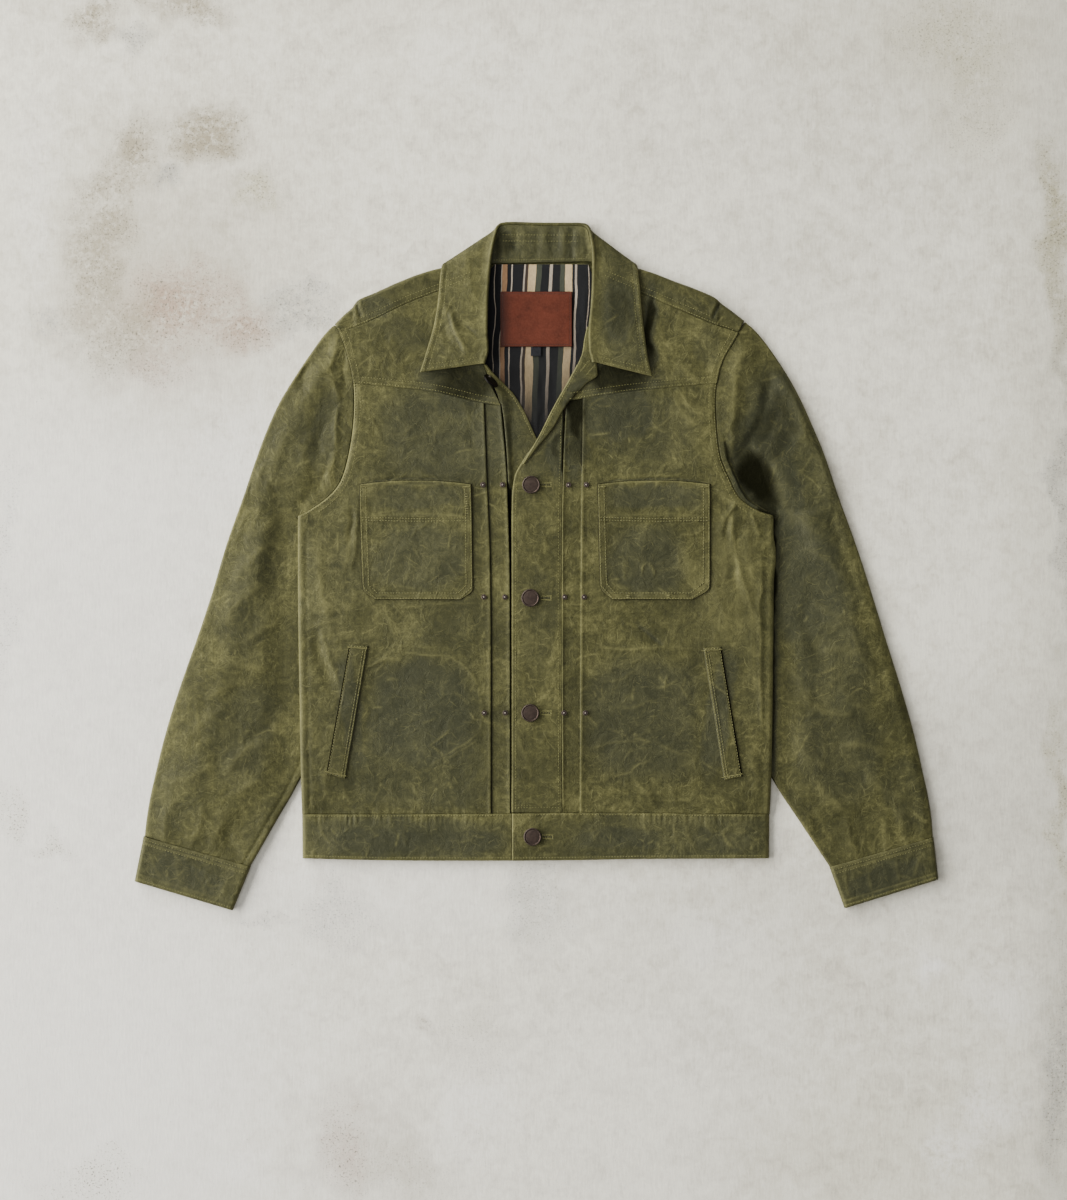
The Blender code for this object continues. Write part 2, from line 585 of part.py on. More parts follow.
def front(side):
    right = side == "right"
    seam = stations(SEAM_R_IN if right else SEAM_L_IN, 55, 205)
    side_rows = SIDE_R if right else SIDE_L
    outer = np.vstack([seam, side_points(side_rows, SIDE_YS)])
    yoke_rows = YOKE_R if right else YOKE_L
    outer[0, 1] -= 0.2
    sign = 1 if right else -1
    ramp = along(RAMP_R if right else RAMP_L, "y", "x")
    one, two = (PLEAT_R1, PLEAT_R2) if right else (PLEAT_L1, PLEAT_L2)
    fold_one, fold_two = along(one, "y", "x"), along(two, "y", "x")
    top_edge = lambda x: smooth(yoke_rows["x"], yoke_rows["y"], x) - 0.2
    guides = [
        lambda y: ramp(y) + sign * 7, lambda y: ramp(y) + sign * (RAMP + 10),
        lambda y: fold_one(y) - sign * 14, lambda y: fold_one(y) - sign * 0.6, lambda y: fold_one(y) + sign * 0.6,
        lambda y: fold_two(y) - sign * 0.3,
    ]
    lines = guide_rows(outer, guides, top_edge, waist_line)
    plan, marks = fill(lines, [1, 1, 4, 1, 1, 1])
    rises = rises_of(marks, [0, 0, 0, 0, 0.8, -1.0, 0.4])
    base = front_top(plan[..., 0], plan[..., 1])
    top = base + rises[None, :]
    thick = np.full(top.shape, CLOTH)
    thick[:, marks[4]] = PLEAT_WALL
    thick[:, marks[6]] = PLEAT_WALL - 0.2
    wall(f"front_{side}", plan, top, thick)


front("right")
front("left")


def front_yoke(side):
    """Between the forward shoulder seam, the armhole, the yoke seam and the neck."""
    right = side == "right"
    arm = stations(SEAM_R_IN if right else SEAM_L_IN, 205, 262)
    low, neck = (YOKE_R, YOKE_NECK_R) if right else (YOKE_L, YOKE_NECK_L)
    head = forward_seam(side)[::-1] - np.array([0, 0.3])
    head[0] = arm[0]
    cols, rows = len(head), len(arm)
    foot_x = np.linspace(arm[-1, 0], smooth(neck["y"], neck["x"], neck["y"][-1]), cols)
    foot = np.column_stack([foot_x, smooth(low["x"], low["y"], foot_x) + 0.2])
    arm[-1] = foot[0]
    ys = np.linspace(head[-1, 1], foot[-1, 1], rows)
    edge = np.column_stack([smooth(neck["y"], neck["x"], ys), ys])
    head[-1] = edge[0]
    s = np.linspace(0, 1, cols)[None, :, None]
    t = np.linspace(0, 1, rows)[:, None, None]
    plan = (1 - t) * head[None] + t * foot[None] + (1 - s) * arm[:, None] + s * edge[:, None]
    plan -= (1 - t) * ((1 - s) * head[0] + s * head[-1]) + t * ((1 - s) * foot[0] + s * foot[-1])
    top = np.minimum(front_top(plan[..., 0], plan[..., 1]), FRONT_TOP + 0.4)
    wall(f"front_yoke_{side}", plan, top, 1.8)


front_yoke("right")
front_yoke("left")


def band(name, ys, left, right, z_top, thick, cols=2):
    ys = np.array(ys, float)
    a = np.column_stack([left(ys), ys])
    b = np.column_stack([right(ys), ys])
    plan, _ = fill([a, b], [cols])
    top = z_top(plan[..., 0], plan[..., 1])
    return wall(name, plan, top, thick)


flat = lambda z: (lambda x, y: np.full(np.shape(x), z))
band(
    "front_band_right", [226, 218, 205, 192, 174, 158, 142, 122, 102, 60, -40, -160, -277.2],
    lambda y: smooth(BAND_R_SEAM["y"], BAND_R_SEAM["x"], y) + 0.5, along(NECK_R, "y", "x"), flat(BAND_R_TOP), 1.8,
)
band(
    "front_band_left", [226, 204, 184, 172, 157, 142, 120, 99, 78, 52, -40, -160, -277],
    along(ROLL_L, "y", "x"), lambda y: smooth(BAND_L_SEAM["y"], BAND_L_SEAM["x"], y) - 0.3, flat(PLACKET_TOP), CLOTH,
)
band(
    "front_facing_left", [214, 205, 197, 184, 172, 158, 145, 130, 114],
    lambda y: smooth(ROLL_L["y"], ROLL_L["x"], y) + 0.3, along(FACING_EDGE, "y", "x"), flat(FACING_LIFT + 1.4), 1.4,
)


def waist_front(side):
    rows = (
        table("x z thick", (-263.2, 5.4, 2.4), (-248, 6.6, 2.4), (-215, 7.2, 2.4), (-120, 7.4, 2.4), (-34, 7.4, 2.4), (-30, 5.2, 2.2), (26, 5.2, 2.2))
        if side == "right"
        else table("x z thick", (-27.6, 7.9, 2.3), (40, 7.9, 2.4), (120, 7.5, 2.4), (210, 7.2, 2.4), (246, 6.6, 2.4), (261.4, 5.4, 2.4))
    )
    xs = rows["x"]
    plan, top, thick = [], [], []
    for t in (0, 0.5, 1):
        y_top = smooth(WAIST["x"], WAIST["y"], xs) - 0.2
        y_low = hem_line(xs)
        ys = y_top + (y_low - y_top) * t
        plan.append(np.column_stack([xs * (1 - 0.0015 * t), ys]))
        top.append(rows["z"])
        thick.append(rows["thick"])
    return wall(f"waistband_front_{side}", np.array(plan), np.array(top), np.array(thick))


waist_front("right")
waist_front("left")

# ---------------------------------------------------------------- lining, label and size tab
LINING = table("y left right", (338.6, -47, 58), (322, -60, 64), (302, -62, 66), (276, -62, 66), (240, -62, 66), (226, -58, 60), (180, -40, 40), (134, -12, 16))
lining_plan = np.stack(
    [np.column_stack([LINING["left"] + (LINING["right"] - LINING["left"]) * s, LINING["y"]]) for s in (0, 0.33, 0.67, 1)], axis=1
)
wall("lining_back", lining_plan, lining_top(lining_plan[..., 0], lining_plan[..., 1]), LINING_CLOTH, "lining_cotton")

LABEL_X, LABEL_TOP, LABEL_W, LABEL_H = -0.3, 308.0, 80.6, 61.8
label_plan = np.array([[(LABEL_X + s * LABEL_W / 2, y) for s in (-1, 0, 1)] for y in (LABEL_TOP, 302, 276, LABEL_TOP - LABEL_H)], float)
wall("neck_label", label_plan, lining_top(label_plan[..., 0], label_plan[..., 1]) + SEAM + LEATHER, LEATHER, "label_leather")
TAB_W, TAB_H = 12.0, 10.2
tab_top = LABEL_TOP - LABEL_H - SEAM
tab_plan = np.array([[(-0.5 + s * TAB_W / 2, y) for s in (-1, 1)] for y in (tab_top, tab_top - TAB_H)], float)
wall("size_tab", tab_plan, lining_top(tab_plan[..., 0], tab_plan[..., 1]) + SEAM + TAB_CLOTH, TAB_CLOTH, "tab_cotton")

# ---------------------------------------------------------------- the collar
# The roll of the collar from the wearer's right end round the back to the left
# end, and the outer edge of the fall at the same places. turn is where the roll
# points: 0 up, 90 out. out is the way outwards from the neck in plan, in degrees.
COLLAR = table(
    "roll_x roll_y roll_z out turn edge_x edge_y edge_z",
    (-58, 227, 13.5, 180, -55, -130, 221, 9.7),
    (-54, 243, 14.5, 180, -55, -121.5, 246, 9.8),
    (-55, 266, 15.0, 180, -55, -115, 270, 9.9),
    (-54.5, 294, 15.0, 180, -55, -110.5, 296, 10.0),
    (-53, 322, 14.5, 176, -48, -108.5, 319, 10.0),
    (-51, 348, 12.8, 165, -20, -107, 331, 9.6),
    (-48.5, 369, 9.6, 145, 25, -105.8, 337.4, 7.6),
    (-45, 381.5, 6.2, 125, 62, -103.8, 338.8, 4.4),
    (-38, 386.2, 2.9, 100, 88, -97, 338.4, 1.0),
    (-26, 386.9, 2.3, 92, 90, -80, 322, 0.8),
    (-8, 386.4, 2.3, 90, 90, -36, 310, 0.8),
    (8, 386.0, 2.3, 90, 90, 8, 308.5, 0.8),
    (26, 386.0, 2.3, 90, 90, 48, 310, 0.8),
    (44, 386.0, 2.3, 88, 90, 86, 322, 0.8),
    (54, 385.2, 2.9, 80, 88, 103, 338.4, 1.0),
    (60, 380, 6.2, 55, 62, 110, 338.8, 4.4),
    (63, 366, 9.6, 35, 25, 112.3, 337.2, 7.6),
    (63.5, 347, 12.8, 15, -20, 113.8, 330.5, 9.6),
    (62.5, 320, 14.5, 4, -48, 115.6, 316, 10.0),
    (61, 292, 15.0, 0, -55, 118.5, 282, 10.0),
    (58.5, 264, 15.0, 0, -55, 121.5, 256, 9.9),
    (60, 244, 14.5, 0, -55, 125, 236, 9.8),
    (65, 228, 13.5, 0, -55, 128.5, 216, 9.7),
)
STAND = table(
    "x y z",
    (-66, 230, 9.6), (-66, 246, 9.8), (-66, 270, 9.8), (-66, 296, 9.8), (-64, 314, 9.4), (-60, 327, 8.2), (-56, 335, 6.9), (-51, 339.6, 5.8),
    (-42, 340.2, 5.2), (-26, 340.2, 5.0), (-8, 340.5, 5.0), (8, 341.0, 5.0), (24, 341.3, 5.0), (40, 341.7, 5.0), (53, 342.3, 5.2),
    (62, 341.0, 5.8), (67, 336, 6.9), (70, 327, 8.2), (72, 314, 9.4), (72, 292, 9.8), (72, 266, 9.8), (72, 246, 9.8), (72, 232, 9.6),
)
ROLL_HALF = 1.5     # half of the distance between stand and fall at the roll
ROLL_REACH = 3.0    # from the roll's ridge back to where the stand ends


def collar_frames():
    frames = []
    for i in range(len(COLLAR["out"])):
        row = {key: COLLAR[key][i] for key in COLLAR}
        plan_angle, turn = math.radians(row["out"]), math.radians(row["turn"])
        outward = np.array([math.cos(plan_angle), math.sin(plan_angle), 0])
        up = np.array([0, 0, 1.0])
        ridge = math.cos(turn) * up + math.sin(turn) * outward
        inner = -math.cos(turn) * outward + math.sin(turn) * up
        roll = np.array([row["roll_x"], row["roll_y"], row["roll_z"]])
        edge = np.array([row["edge_x"], row["edge_y"], row["edge_z"]])
        # the half cloth outside the middle surface is kept inside the measured line
        frames.append((roll - ridge * COLLAR_CLOTH / 2, edge, ridge, inner))
    return frames


def collar():
    fall, stand = [], []
    foot = np.column_stack([STAND["x"], STAND["y"], STAND["z"]])
    for k, (roll, edge, ridge, inner) in enumerate(collar_frames()):
        centre = roll - ridge * ROLL_HALF
        line = [roll - ridge * ROLL_REACH + inner * ROLL_HALF]
        for angle in (90, 45, 0, -45, -90):
            a = math.radians(angle)
            line.append(centre + ROLL_HALF * (math.cos(a) * ridge + math.sin(a) * inner))
        start = roll - ridge * ROLL_REACH - inner * ROLL_HALF
        for s in (0.12, 0.3, 0.52, 0.76, 1.0):
            point = start + (edge - start) * s
            point = point + np.array([0, 0, 0.9 * math.sin(math.pi * min(1, s * 1.15)) * max(0, math.cos(math.radians(COLLAR["turn"][k])))])
            line.append(point)
        fall.append(line)
        top = roll - ridge * (ROLL_REACH + 0.8) + inner * (ROLL_HALF + 0.2)
        stand.append([foot[k] + (top - foot[k]) * s for s in (0, 0.35, 0.7, 1)])
    sheet_wall("collar_fall", np.array(fall), COLLAR_CLOTH)
    sheet_wall("collar_stand", np.array(stand), COLLAR_CLOTH)


collar()

# ---------------------------------------------------------------- pockets
CHEST_R = table("y left right", (92, -199, -73), (55, -198.5, -72), (53.5, -198.5, -72), (10, -197, -71.5), (-25, -195.5, -71.2), (-38, -181.5, -85))
CHEST_L = table("y left right", (92, 68, 195), (51, 69, 195), (49.5, 69, 195), (8, 70, 195), (-23, 71, 194.5), (-38, 85, 175))
HEM_RAISE = 0.5


def chest_pocket(side):
    rows = CHEST_R if side == "right" else CHEST_L
    plan = []
    for k in range(len(rows["y"])):
        line = []
        for s in (0, 0.2, 0.4, 0.6, 0.8, 1):
            bow = 4.5 * 4 * s * (1 - s) if k == 0 else 0
            line.append((rows["left"][k] + (rows["right"][k] - rows["left"][k]) * s, rows["y"][k] + bow))
        plan.append(line)
    plan = np.array(plan)
    top = front_top(plan[..., 0], plan[..., 1]) + 0.55 + PATCH_CLOTH
    thick = np.full(top.shape, PATCH_CLOTH)
    top[:2] += HEM_RAISE
    thick[:2] += HEM_RAISE
    wall(f"chest_pocket_{side}", plan, top, thick)


chest_pocket("right")
chest_pocket("left")

WELT_R = table("x y", (-210, -88), (-189, -89.5), (-214.5, -239), (-236, -234))
WELT_L = table("x y", (187, -92), (207, -90.5), (231, -236.5), (210.5, -240.5))


def welt(side):
    rows = WELT_R if side == "right" else WELT_L
    a, b, c, d = np.column_stack([rows["x"], rows["y"]])
    plan = np.array([[a + (d - a) * t + ((b + (c - b) * t) - (a + (d - a) * t)) * s for s in (0, 1)] for t in np.linspace(0, 1, 6)])
    top = front_top(plan[..., 0], plan[..., 1]) + 0.75 + PATCH_CLOTH
    wall(f"welt_pocket_{side}", plan, top, PATCH_CLOTH)


welt("right")
welt("left")

# ---------------------------------------------------------------- buttons and rivets
BUTTONS = table("x y z tilt turn", (-6, 91, 8.0, 0, 0), (-7, -36, 8.0, 0, 0), (-7, -165, 8.0, 0, 0), (-4.5, -304, 8.2, 0, 0), (-51.5, 210.0, 16.0, 68, 45))
BUTTON_PROFILE = table("radius height", (4.0, 0), (4.0, 1.2), (9.4, 1.2), (10.0, 2.2), (9.3, 3.5), (8.2, 3.2))
RIVET_PROFILE = table("radius height", (3.0, 0), (3.0, 0.8), (1.7, 1.5))
RIVETS = table(
    "x y", (-60, 91), (-38, 91), (38, 90.5), (56, 91), (-59, -35), (-35.5, -35), (34, -35), (54, -35), (-58.5, -165), (-35, -165), (33.5, -165), (55, -165)
)


def turned(name, profile, sides, place, finish, tilt=0.0, turn=0.0):
    """A turned piece standing on its own flat foot."""
    points, faces = [], []
    for radius, height in zip(profile["radius"], profile["height"]):
        for k in range(sides):
            angle = 2 * math.pi * k / sides
            points.append((radius * math.cos(angle), radius * math.sin(angle), height))
    rings = len(profile["radius"])
    for i in range(rings - 1):
        for k in range(sides):
            a, b = i * sides + k, i * sides + (k + 1) % sides
            faces.append((a, b, b + sides, a + sides))
    faces.append(tuple(range(sides - 1, -1, -1)))
    faces.append(tuple(range((rings - 1) * sides, rings * sides)))
    piece = add(name, points, faces, finish)
    piece.location = Vector(place) * MM
    piece.rotation_euler = (Matrix.Rotation(math.radians(turn), 4, "Z") @ Matrix.Rotation(math.radians(tilt), 4, "X")).to_euler()
    return piece


names = ["button_1", "button_2", "button_3", "button_waistband", "button_collar"]
for k, name in enumerate(names):
    place = (BUTTONS["x"][k], BUTTONS["y"][k], BUTTONS["z"][k])
    turned(name, BUTTON_PROFILE, BUTTON_SIDES, place, "antique_metal", BUTTONS["tilt"][k], BUTTONS["turn"][k])

for k in range(len(RIVETS["x"])):
    x, y = RIVETS["x"][k], RIVETS["y"][k]
    fold = {True: (PLEAT_R1, PLEAT_R2), False: (PLEAT_L1, PLEAT_L2)}[x < 0]
    outer_strip = abs(x) > abs(float(smooth(fold[0]["y"], fold[0]["x"], y)))
    raise_by = 0.9 if outer_strip else 0.7
    z = float(front_top(x, y)) + raise_by + SEAM
    turned(f"rivet_{k + 1:02d}", RIVET_PROFILE, RIVET_SIDES, (x, y, z), "antique_metal")
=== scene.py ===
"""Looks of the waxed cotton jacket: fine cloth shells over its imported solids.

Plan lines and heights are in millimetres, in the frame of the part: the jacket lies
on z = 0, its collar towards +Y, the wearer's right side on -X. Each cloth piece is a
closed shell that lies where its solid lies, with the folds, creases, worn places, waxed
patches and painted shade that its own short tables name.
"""

import json
import math

import bpy
import numpy as np
from mathutils import Matrix, Vector
from mathutils.bvhtree import BVHTree

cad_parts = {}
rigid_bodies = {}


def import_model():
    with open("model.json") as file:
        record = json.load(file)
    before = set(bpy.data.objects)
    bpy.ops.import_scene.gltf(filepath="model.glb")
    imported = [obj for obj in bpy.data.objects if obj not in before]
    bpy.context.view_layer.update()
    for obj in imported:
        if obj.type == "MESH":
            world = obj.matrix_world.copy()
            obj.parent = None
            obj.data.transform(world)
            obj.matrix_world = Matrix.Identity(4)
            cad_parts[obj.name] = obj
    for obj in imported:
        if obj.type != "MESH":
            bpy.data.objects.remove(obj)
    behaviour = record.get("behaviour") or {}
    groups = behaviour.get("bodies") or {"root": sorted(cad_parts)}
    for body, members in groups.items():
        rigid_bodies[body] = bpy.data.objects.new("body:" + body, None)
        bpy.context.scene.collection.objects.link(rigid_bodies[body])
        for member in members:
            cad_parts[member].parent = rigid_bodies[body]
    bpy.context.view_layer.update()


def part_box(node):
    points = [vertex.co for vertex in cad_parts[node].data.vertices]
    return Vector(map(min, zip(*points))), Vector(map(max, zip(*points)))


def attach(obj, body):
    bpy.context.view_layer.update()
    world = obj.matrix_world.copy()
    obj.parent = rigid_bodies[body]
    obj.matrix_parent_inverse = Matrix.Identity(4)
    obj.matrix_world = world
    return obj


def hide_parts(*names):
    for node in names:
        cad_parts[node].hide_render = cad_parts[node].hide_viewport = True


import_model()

MM = 0.001


# ---------------------------------------------------------------- sizes of the part
CLOTH = 2.0         # thickness of a plain wall, its lining included
BAND_CLOTH = 2.4
COLLAR_CLOTH = 1.6
LINING_CLOTH = 1.0
LEATHER = 1.5
TAB_CLOTH = 1.0
SEAM = 0.3          # gap under a piece that lies on another
HALF_SEAM = 0.03    # half of the gap left between two cloths at a seam
SLEEVE_TOP = 4.4    # top of a sleeve where it is pressed flat
SLEEVE_SOFT = 7.2   # and where it lies free
UNDERARM = 62.0     # y below which the body lies on the sleeves
LIFT = 4.8          # of the back panel, where a sleeve lies under it
YOKE_LIFT = 2.0     # of the back yoke, where the collar lies under it
FRONT_TOP = 7.9
BAND_R_TOP = 5.4
PLACKET_TOP = 7.7
FACING_LIFT = 8.7
YOKE_SEAM_BACK = 170.0
PITCH = 1.8         # spacing of the points on a visible face
PLAIN_PITCH = 8.0   # spacing on a hidden one


def table(columns, *rows):
    """Rows under named columns, as one array for each column."""
    return {name: np.array([row[i] for row in rows], float) for i, name in enumerate(columns.split())}


def rows_of(columns):
    """The rows of a table again, one dictionary each."""
    keys = list(columns)
    return [dict(zip(keys, values)) for values in zip(*(columns[key] for key in keys))]


def ease(value, low, high):
    """0 at low, 1 at high, soft at both ends."""
    u = np.clip((np.asarray(value, float) - low) / (high - low), 0, 1)
    return u * u * (3 - 2 * u)


def bell(distance, width):
    """1 at no distance, 1/e at width."""
    return np.exp(-((distance / width) ** 2))


def smooth(xs, ys, x):
    """Monotone cubic through (xs, ys), held level outside them."""
    order = np.argsort(xs)
    xs, ys = np.asarray(xs, float)[order], np.asarray(ys, float)[order]
    step = np.diff(xs)
    rise = np.diff(ys) / step
    slope = np.zeros(len(xs))
    slope[0], slope[-1] = rise[0], rise[-1]
    for i in range(1, len(xs) - 1):
        if rise[i - 1] * rise[i] > 0:
            a, b = 2 * step[i] + step[i - 1], step[i] + 2 * step[i - 1]
            slope[i] = (a + b) / (a / rise[i - 1] + b / rise[i])
    x = np.clip(np.asarray(x, float), xs[0], xs[-1])
    k = np.clip(np.searchsorted(xs, x) - 1, 0, len(step) - 1)
    u = (x - xs[k]) / step[k]
    return (
        ys[k] * (1 + 2 * u) * (1 - u) ** 2
        + slope[k] * step[k] * u * (1 - u) ** 2
        + ys[k + 1] * u * u * (3 - 2 * u)
        + slope[k + 1] * step[k] * u * u * (u - 1)
    )


def glide(values, at):
    """Monotone cubic through a stack of rows, read at fractional row numbers."""
    values = np.asarray(values, float)
    at = np.asarray(at, float)
    rise = np.diff(values, axis=0)
    slope = np.zeros_like(values)
    slope[0], slope[-1] = rise[0], rise[-1]
    both, total = rise[:-1] * rise[1:], rise[:-1] + rise[1:]
    slope[1:-1] = np.where(both > 0, 2 * both / np.where(total == 0, 1, total), 0)
    k = np.clip(at.astype(int), 0, len(rise) - 1)
    u = (at - k).reshape(-1, *[1] * (values.ndim - 1))
    return (
        values[k] * (1 + 2 * u) * (1 - u) ** 2
        + slope[k] * u * (1 - u) ** 2
        + values[k + 1] * u * u * (3 - 2 * u)
        + slope[k + 1] * u * u * (u - 1)
    )


LATTICE = 67        # points along each side of the random field
FAR = 1000          # sizes that the plan is moved by, so that it has no negative places


def cloudy(x, y, size, seed):
    """Soft random hills of about that size, from -1 to 1."""
    lattice = np.random.default_rng(seed).uniform(-1, 1, (LATTICE, LATTICE))
    u, v = np.asarray(x, float) / size + FAR, np.asarray(y, float) / size + FAR
    i, j = np.floor(u).astype(int), np.floor(v).astype(int)
    fu, fv = ease(u - i, 0, 1), ease(v - j, 0, 1)
    i, j, i2, j2 = i % LATTICE, j % LATTICE, (i + 1) % LATTICE, (j + 1) % LATTICE
    low = lattice[i, j] * (1 - fu) + lattice[i2, j] * fu
    high = lattice[i, j2] * (1 - fu) + lattice[i2, j2] * fu
    return low * (1 - fv) + high * fv


# ---------------------------------------------------------------- plan lines
ARMHOLE_R = table(
    "y x", (271, -226), (254, -218), (230, -211), (207, -206), (183, -205), (159, -206),
    (125, -211), (93, -221), (75, -237), (62, -256), (55, -268),
)
ARMHOLE_L = table(
    "y x", (273, 233), (249, 220), (227, 208), (207, 203), (183, 201), (159, 202),
    (125, 206), (97, 217), (75, 229), (62, 249), (55, 266),
)
STATIONS = [262, 248, 234, 219, 205, 188, 170, 154, 138, 122, 108, 95, 84, 75, 67, 60, 55]
SIDE_YS = [36, 12, -20, -60, -100, -140, -180, -212, -236, -256, -278.8]
SIDE_R = table(
    "y x", (55, -268), (7, -268), (-61, -267.5), (-151, -266), (-218, -265), (-279, -263.5), (-328.5, -263)
)
SIDE_L = table(
    "y x", (55, 266), (36, 266), (26, 270), (12, 269), (-4, 266.5), (-61, 266), (-151, 265), (-218, 264),
    (-279, 262), (-328.5, 260),
)
SHOULDER_R = table(
    "x y", (-226.5, 271.5), (-212, 285.8), (-204, 293), (-201.5, 297.5), (-187, 304), (-169, 312.8),
    (-147.5, 321.8), (-125, 330), (-108, 334.5), (-90, 337.5), (-75, 341),
)
SHOULDER_L = table(
    "x y", (75, 341), (92, 338), (113, 334.5), (125, 331), (150, 321.5), (175, 312.5), (195, 303.5),
    (203, 299.5), (207, 295), (220, 286), (233.5, 275),
)
FORWARD_R = table("x y", (-222, 262), (-193, 272), (-142, 296), (-105, 310), (-66, 324))
FORWARD_L = table("x y", (70, 326), (108, 310), (145, 294), (168, 284), (199, 271), (227, 262))
NOTCH_STEP = 1.0
YOKE_R = table("x y", (-206, 205), (-120, 196), (-56, 182), (-40, 180), (-26, 179))
YOKE_L = table("x y", (29, 184), (52, 188), (116, 197), (204, 205))
WAIST = table("x y", (-266, -279), (-26, -278), (30, -277), (264, -279))
HEM = table("x y", (-266, -328.5), (-140, -331), (-19, -331), (130, -329), (264, -328.5))
PLEAT_R1 = table("y x", (188, -59), (108, -56), (7, -52), (-94, -51), (-279, -51))
PLEAT_R2 = table("y x", (184, -40), (97, -33), (-38, -29.5), (-279, -29))
PLEAT_L1 = table("y x", (190, 52), (52, 50), (-279, 48.5))
PLEAT_L2 = table("y x", (186, 33), (100, 29.4), (52, 28.2), (-100, 27.9), (-279, 28.6))
NECK_R = table(
    "y x", (226, -56), (218, -50), (192, -25), (174, -14), (142, 1), (102, 27), (60, 28), (-279, 27)
)
BAND_R_SEAM = table("y x", (226, -60), (180, -40.5), (97, -33.5), (-38, -30), (-279, -29.5))
ROLL_L = table(
    "y x", (226, 45.5), (214, 39.2), (204, 33.5), (172, 15.5), (142, 1), (99, -25), (78, -27.5), (52, -28),
    (-279, -28),
)
BAND_L_SEAM = table("y x", (226, 57.5), (184, 31.5), (100, 28.6), (52, 27.4), (-100, 27.1), (-279, 27.8))
YOKE_NECK_R = table("y x", (324, -66), (240, -65), (226, -60.5), (180, -40.2))
YOKE_NECK_L = table("y x", (326, 70), (240, 69), (226, 60.5), (184, 32.3))
SLEEVE_R_OUT = table(
    "x y", (-226.5, 271.5), (-233.4, 265.5), (-254, 238.5), (-272, 211.5), (-288.5, 184.5), (-301, 157.5),
    (-311.5, 130.5), (-330, 76.5), (-349, 22.5), (-365, -31.5), (-383, -85.5), (-402, -139.5),
    (-418.5, -193.5), (-431.5, -247.5), (-437, -274.5), (-440.5, -303.5),
)
SLEEVE_R_IN = table(
    "x y", (-268, 55), (-260, 40), (-241, 8), (-230, -38), (-227, -94), (-234, -150), (-248, -198),
    (-266, -240), (-292, -286), (-321.5, -337.5),
)
SLEEVE_L_OUT = table(
    "x y", (233.5, 275), (244.5, 265.5), (266, 238.5), (283.5, 211.5), (298, 184.5), (310, 157.5),
    (321.5, 130.5), (340, 76.5), (359.5, 22.5), (377, -31.5), (393.5, -85.5), (410.5, -139.5),
    (425.5, -193.5), (437.5, -247.5), (443, -274.5), (445.5, -304.5),
)
SLEEVE_L_IN = table(
    "x y", (266, 55), (258, 40), (240, 8), (229, -38), (226, -94), (232, -150), (246, -198), (263, -236),
    (293, -283), (329.5, -338),
)
SLEEVE_ROWS = table(
    "inner outer", (262, 267), (205, 232), (125, 152), (75, 92), (55, 62), (8, 8), (-94, -82),
    (-198, -178), (-286, -262), (-338, -305),
)
INNER_YS = [38, 20, 0, -30, -62, -94, -128, -162, -196, -228, -256, -284, -312]
CUFF_R = table("x y", (-441.5, -305), (-451.5, -354), (-341.2, -386.9), (-321, -339.5))
CUFF_L = table("x y", (446, -306), (451.5, -352), (346, -384.5), (329, -340))
SIDE_TOP = table("y z", (262, 8.3), (150, 8.3), (95, 8.6), (60, 9.1), (-247, 9.1), (-279, 5.4))
RAMP_R = table(
    "y x", (170, -160), (95, -186), (50, -232), (8, -232), (-38, -222), (-94, -219), (-150, -226),
    (-198, -240), (-240, -250), (-279, -240),
)
RAMP_L = table(
    "y x", (170, 160), (95, 186), (50, 230), (8, 231), (-38, 221), (-94, 218), (-150, 224), (-198, 238),
    (-240, 248), (-279, 238),
)
RAMP = 34.0
BACK_LIFT = table("y lift", (170, 0), (95, 0), (67, 1), (-245, 1), (-272, 0), (-279, 0))
FRONT_HOLLOWS = table(
    "x y half_x half_y depth", (-125, -62, 90, 20, 1.1), (-110, 150, 60, 30, 1.2), (-130, -250, 70, 22, 1.2),
    (120, -66, 80, 20, 1.1), (125, 152, 60, 28, 1.2), (150, -252, 80, 20, 1.2),
)
SLEEVE_FOLDS = table(
    "x1 y1 x2 y2 half_width height",
    (-262, 118, -330, -40, 20, 1.5), (-300, 60, -372, -200, 16, 1.2), (-345, -150, -400, -262, 18, 1.3),
    (-290, -240, -352, -318, 18, -1.4), (-285, 90, -270, 20, 18, -1.6), (284, 130, 372, -120, 18, 1.6),
    (252, 120, 274, 30, 22, -2), (330, -120, 398, -262, 18, 1.3), (300, 10, 318, -120, 22, -1.4),
    (232, 236, 262, 160, 14, 1.2), (-236, 236, -262, 160, 14, 1),
)


def x_at(rows, y):
    """Where a plan line crosses y."""
    return smooth(rows["y"], rows["x"], y)


def y_at(rows, x):
    """Where a plan line crosses x."""
    return smooth(rows["x"], rows["y"], x)


def line(rows, value="x"):
    """A plan line as a function of y, from one column of a table."""
    return lambda y: smooth(rows["y"], rows[value], y)


def on_line(rows, ys):
    """The points of a plan line at some values of y."""
    ys = np.array(ys, float)
    return np.column_stack([x_at(rows, ys), ys])


def seam_points(armhole, inward, ys=STATIONS):
    """The armhole seam at its stations, drawn back across the seam by half its gap."""
    points = on_line(armhole, ys)
    run = np.gradient(points, axis=0)
    run /= np.linalg.norm(run, axis=1)[:, None]
    side = np.column_stack([-run[:, 1], run[:, 0]])
    return points + inward * HALF_SEAM * side


def stations(seam, low, high):
    """The part of an armhole seam between two stations."""
    return seam[[k for k, y in enumerate(STATIONS) if low - 0.01 <= y <= high + 0.01]]


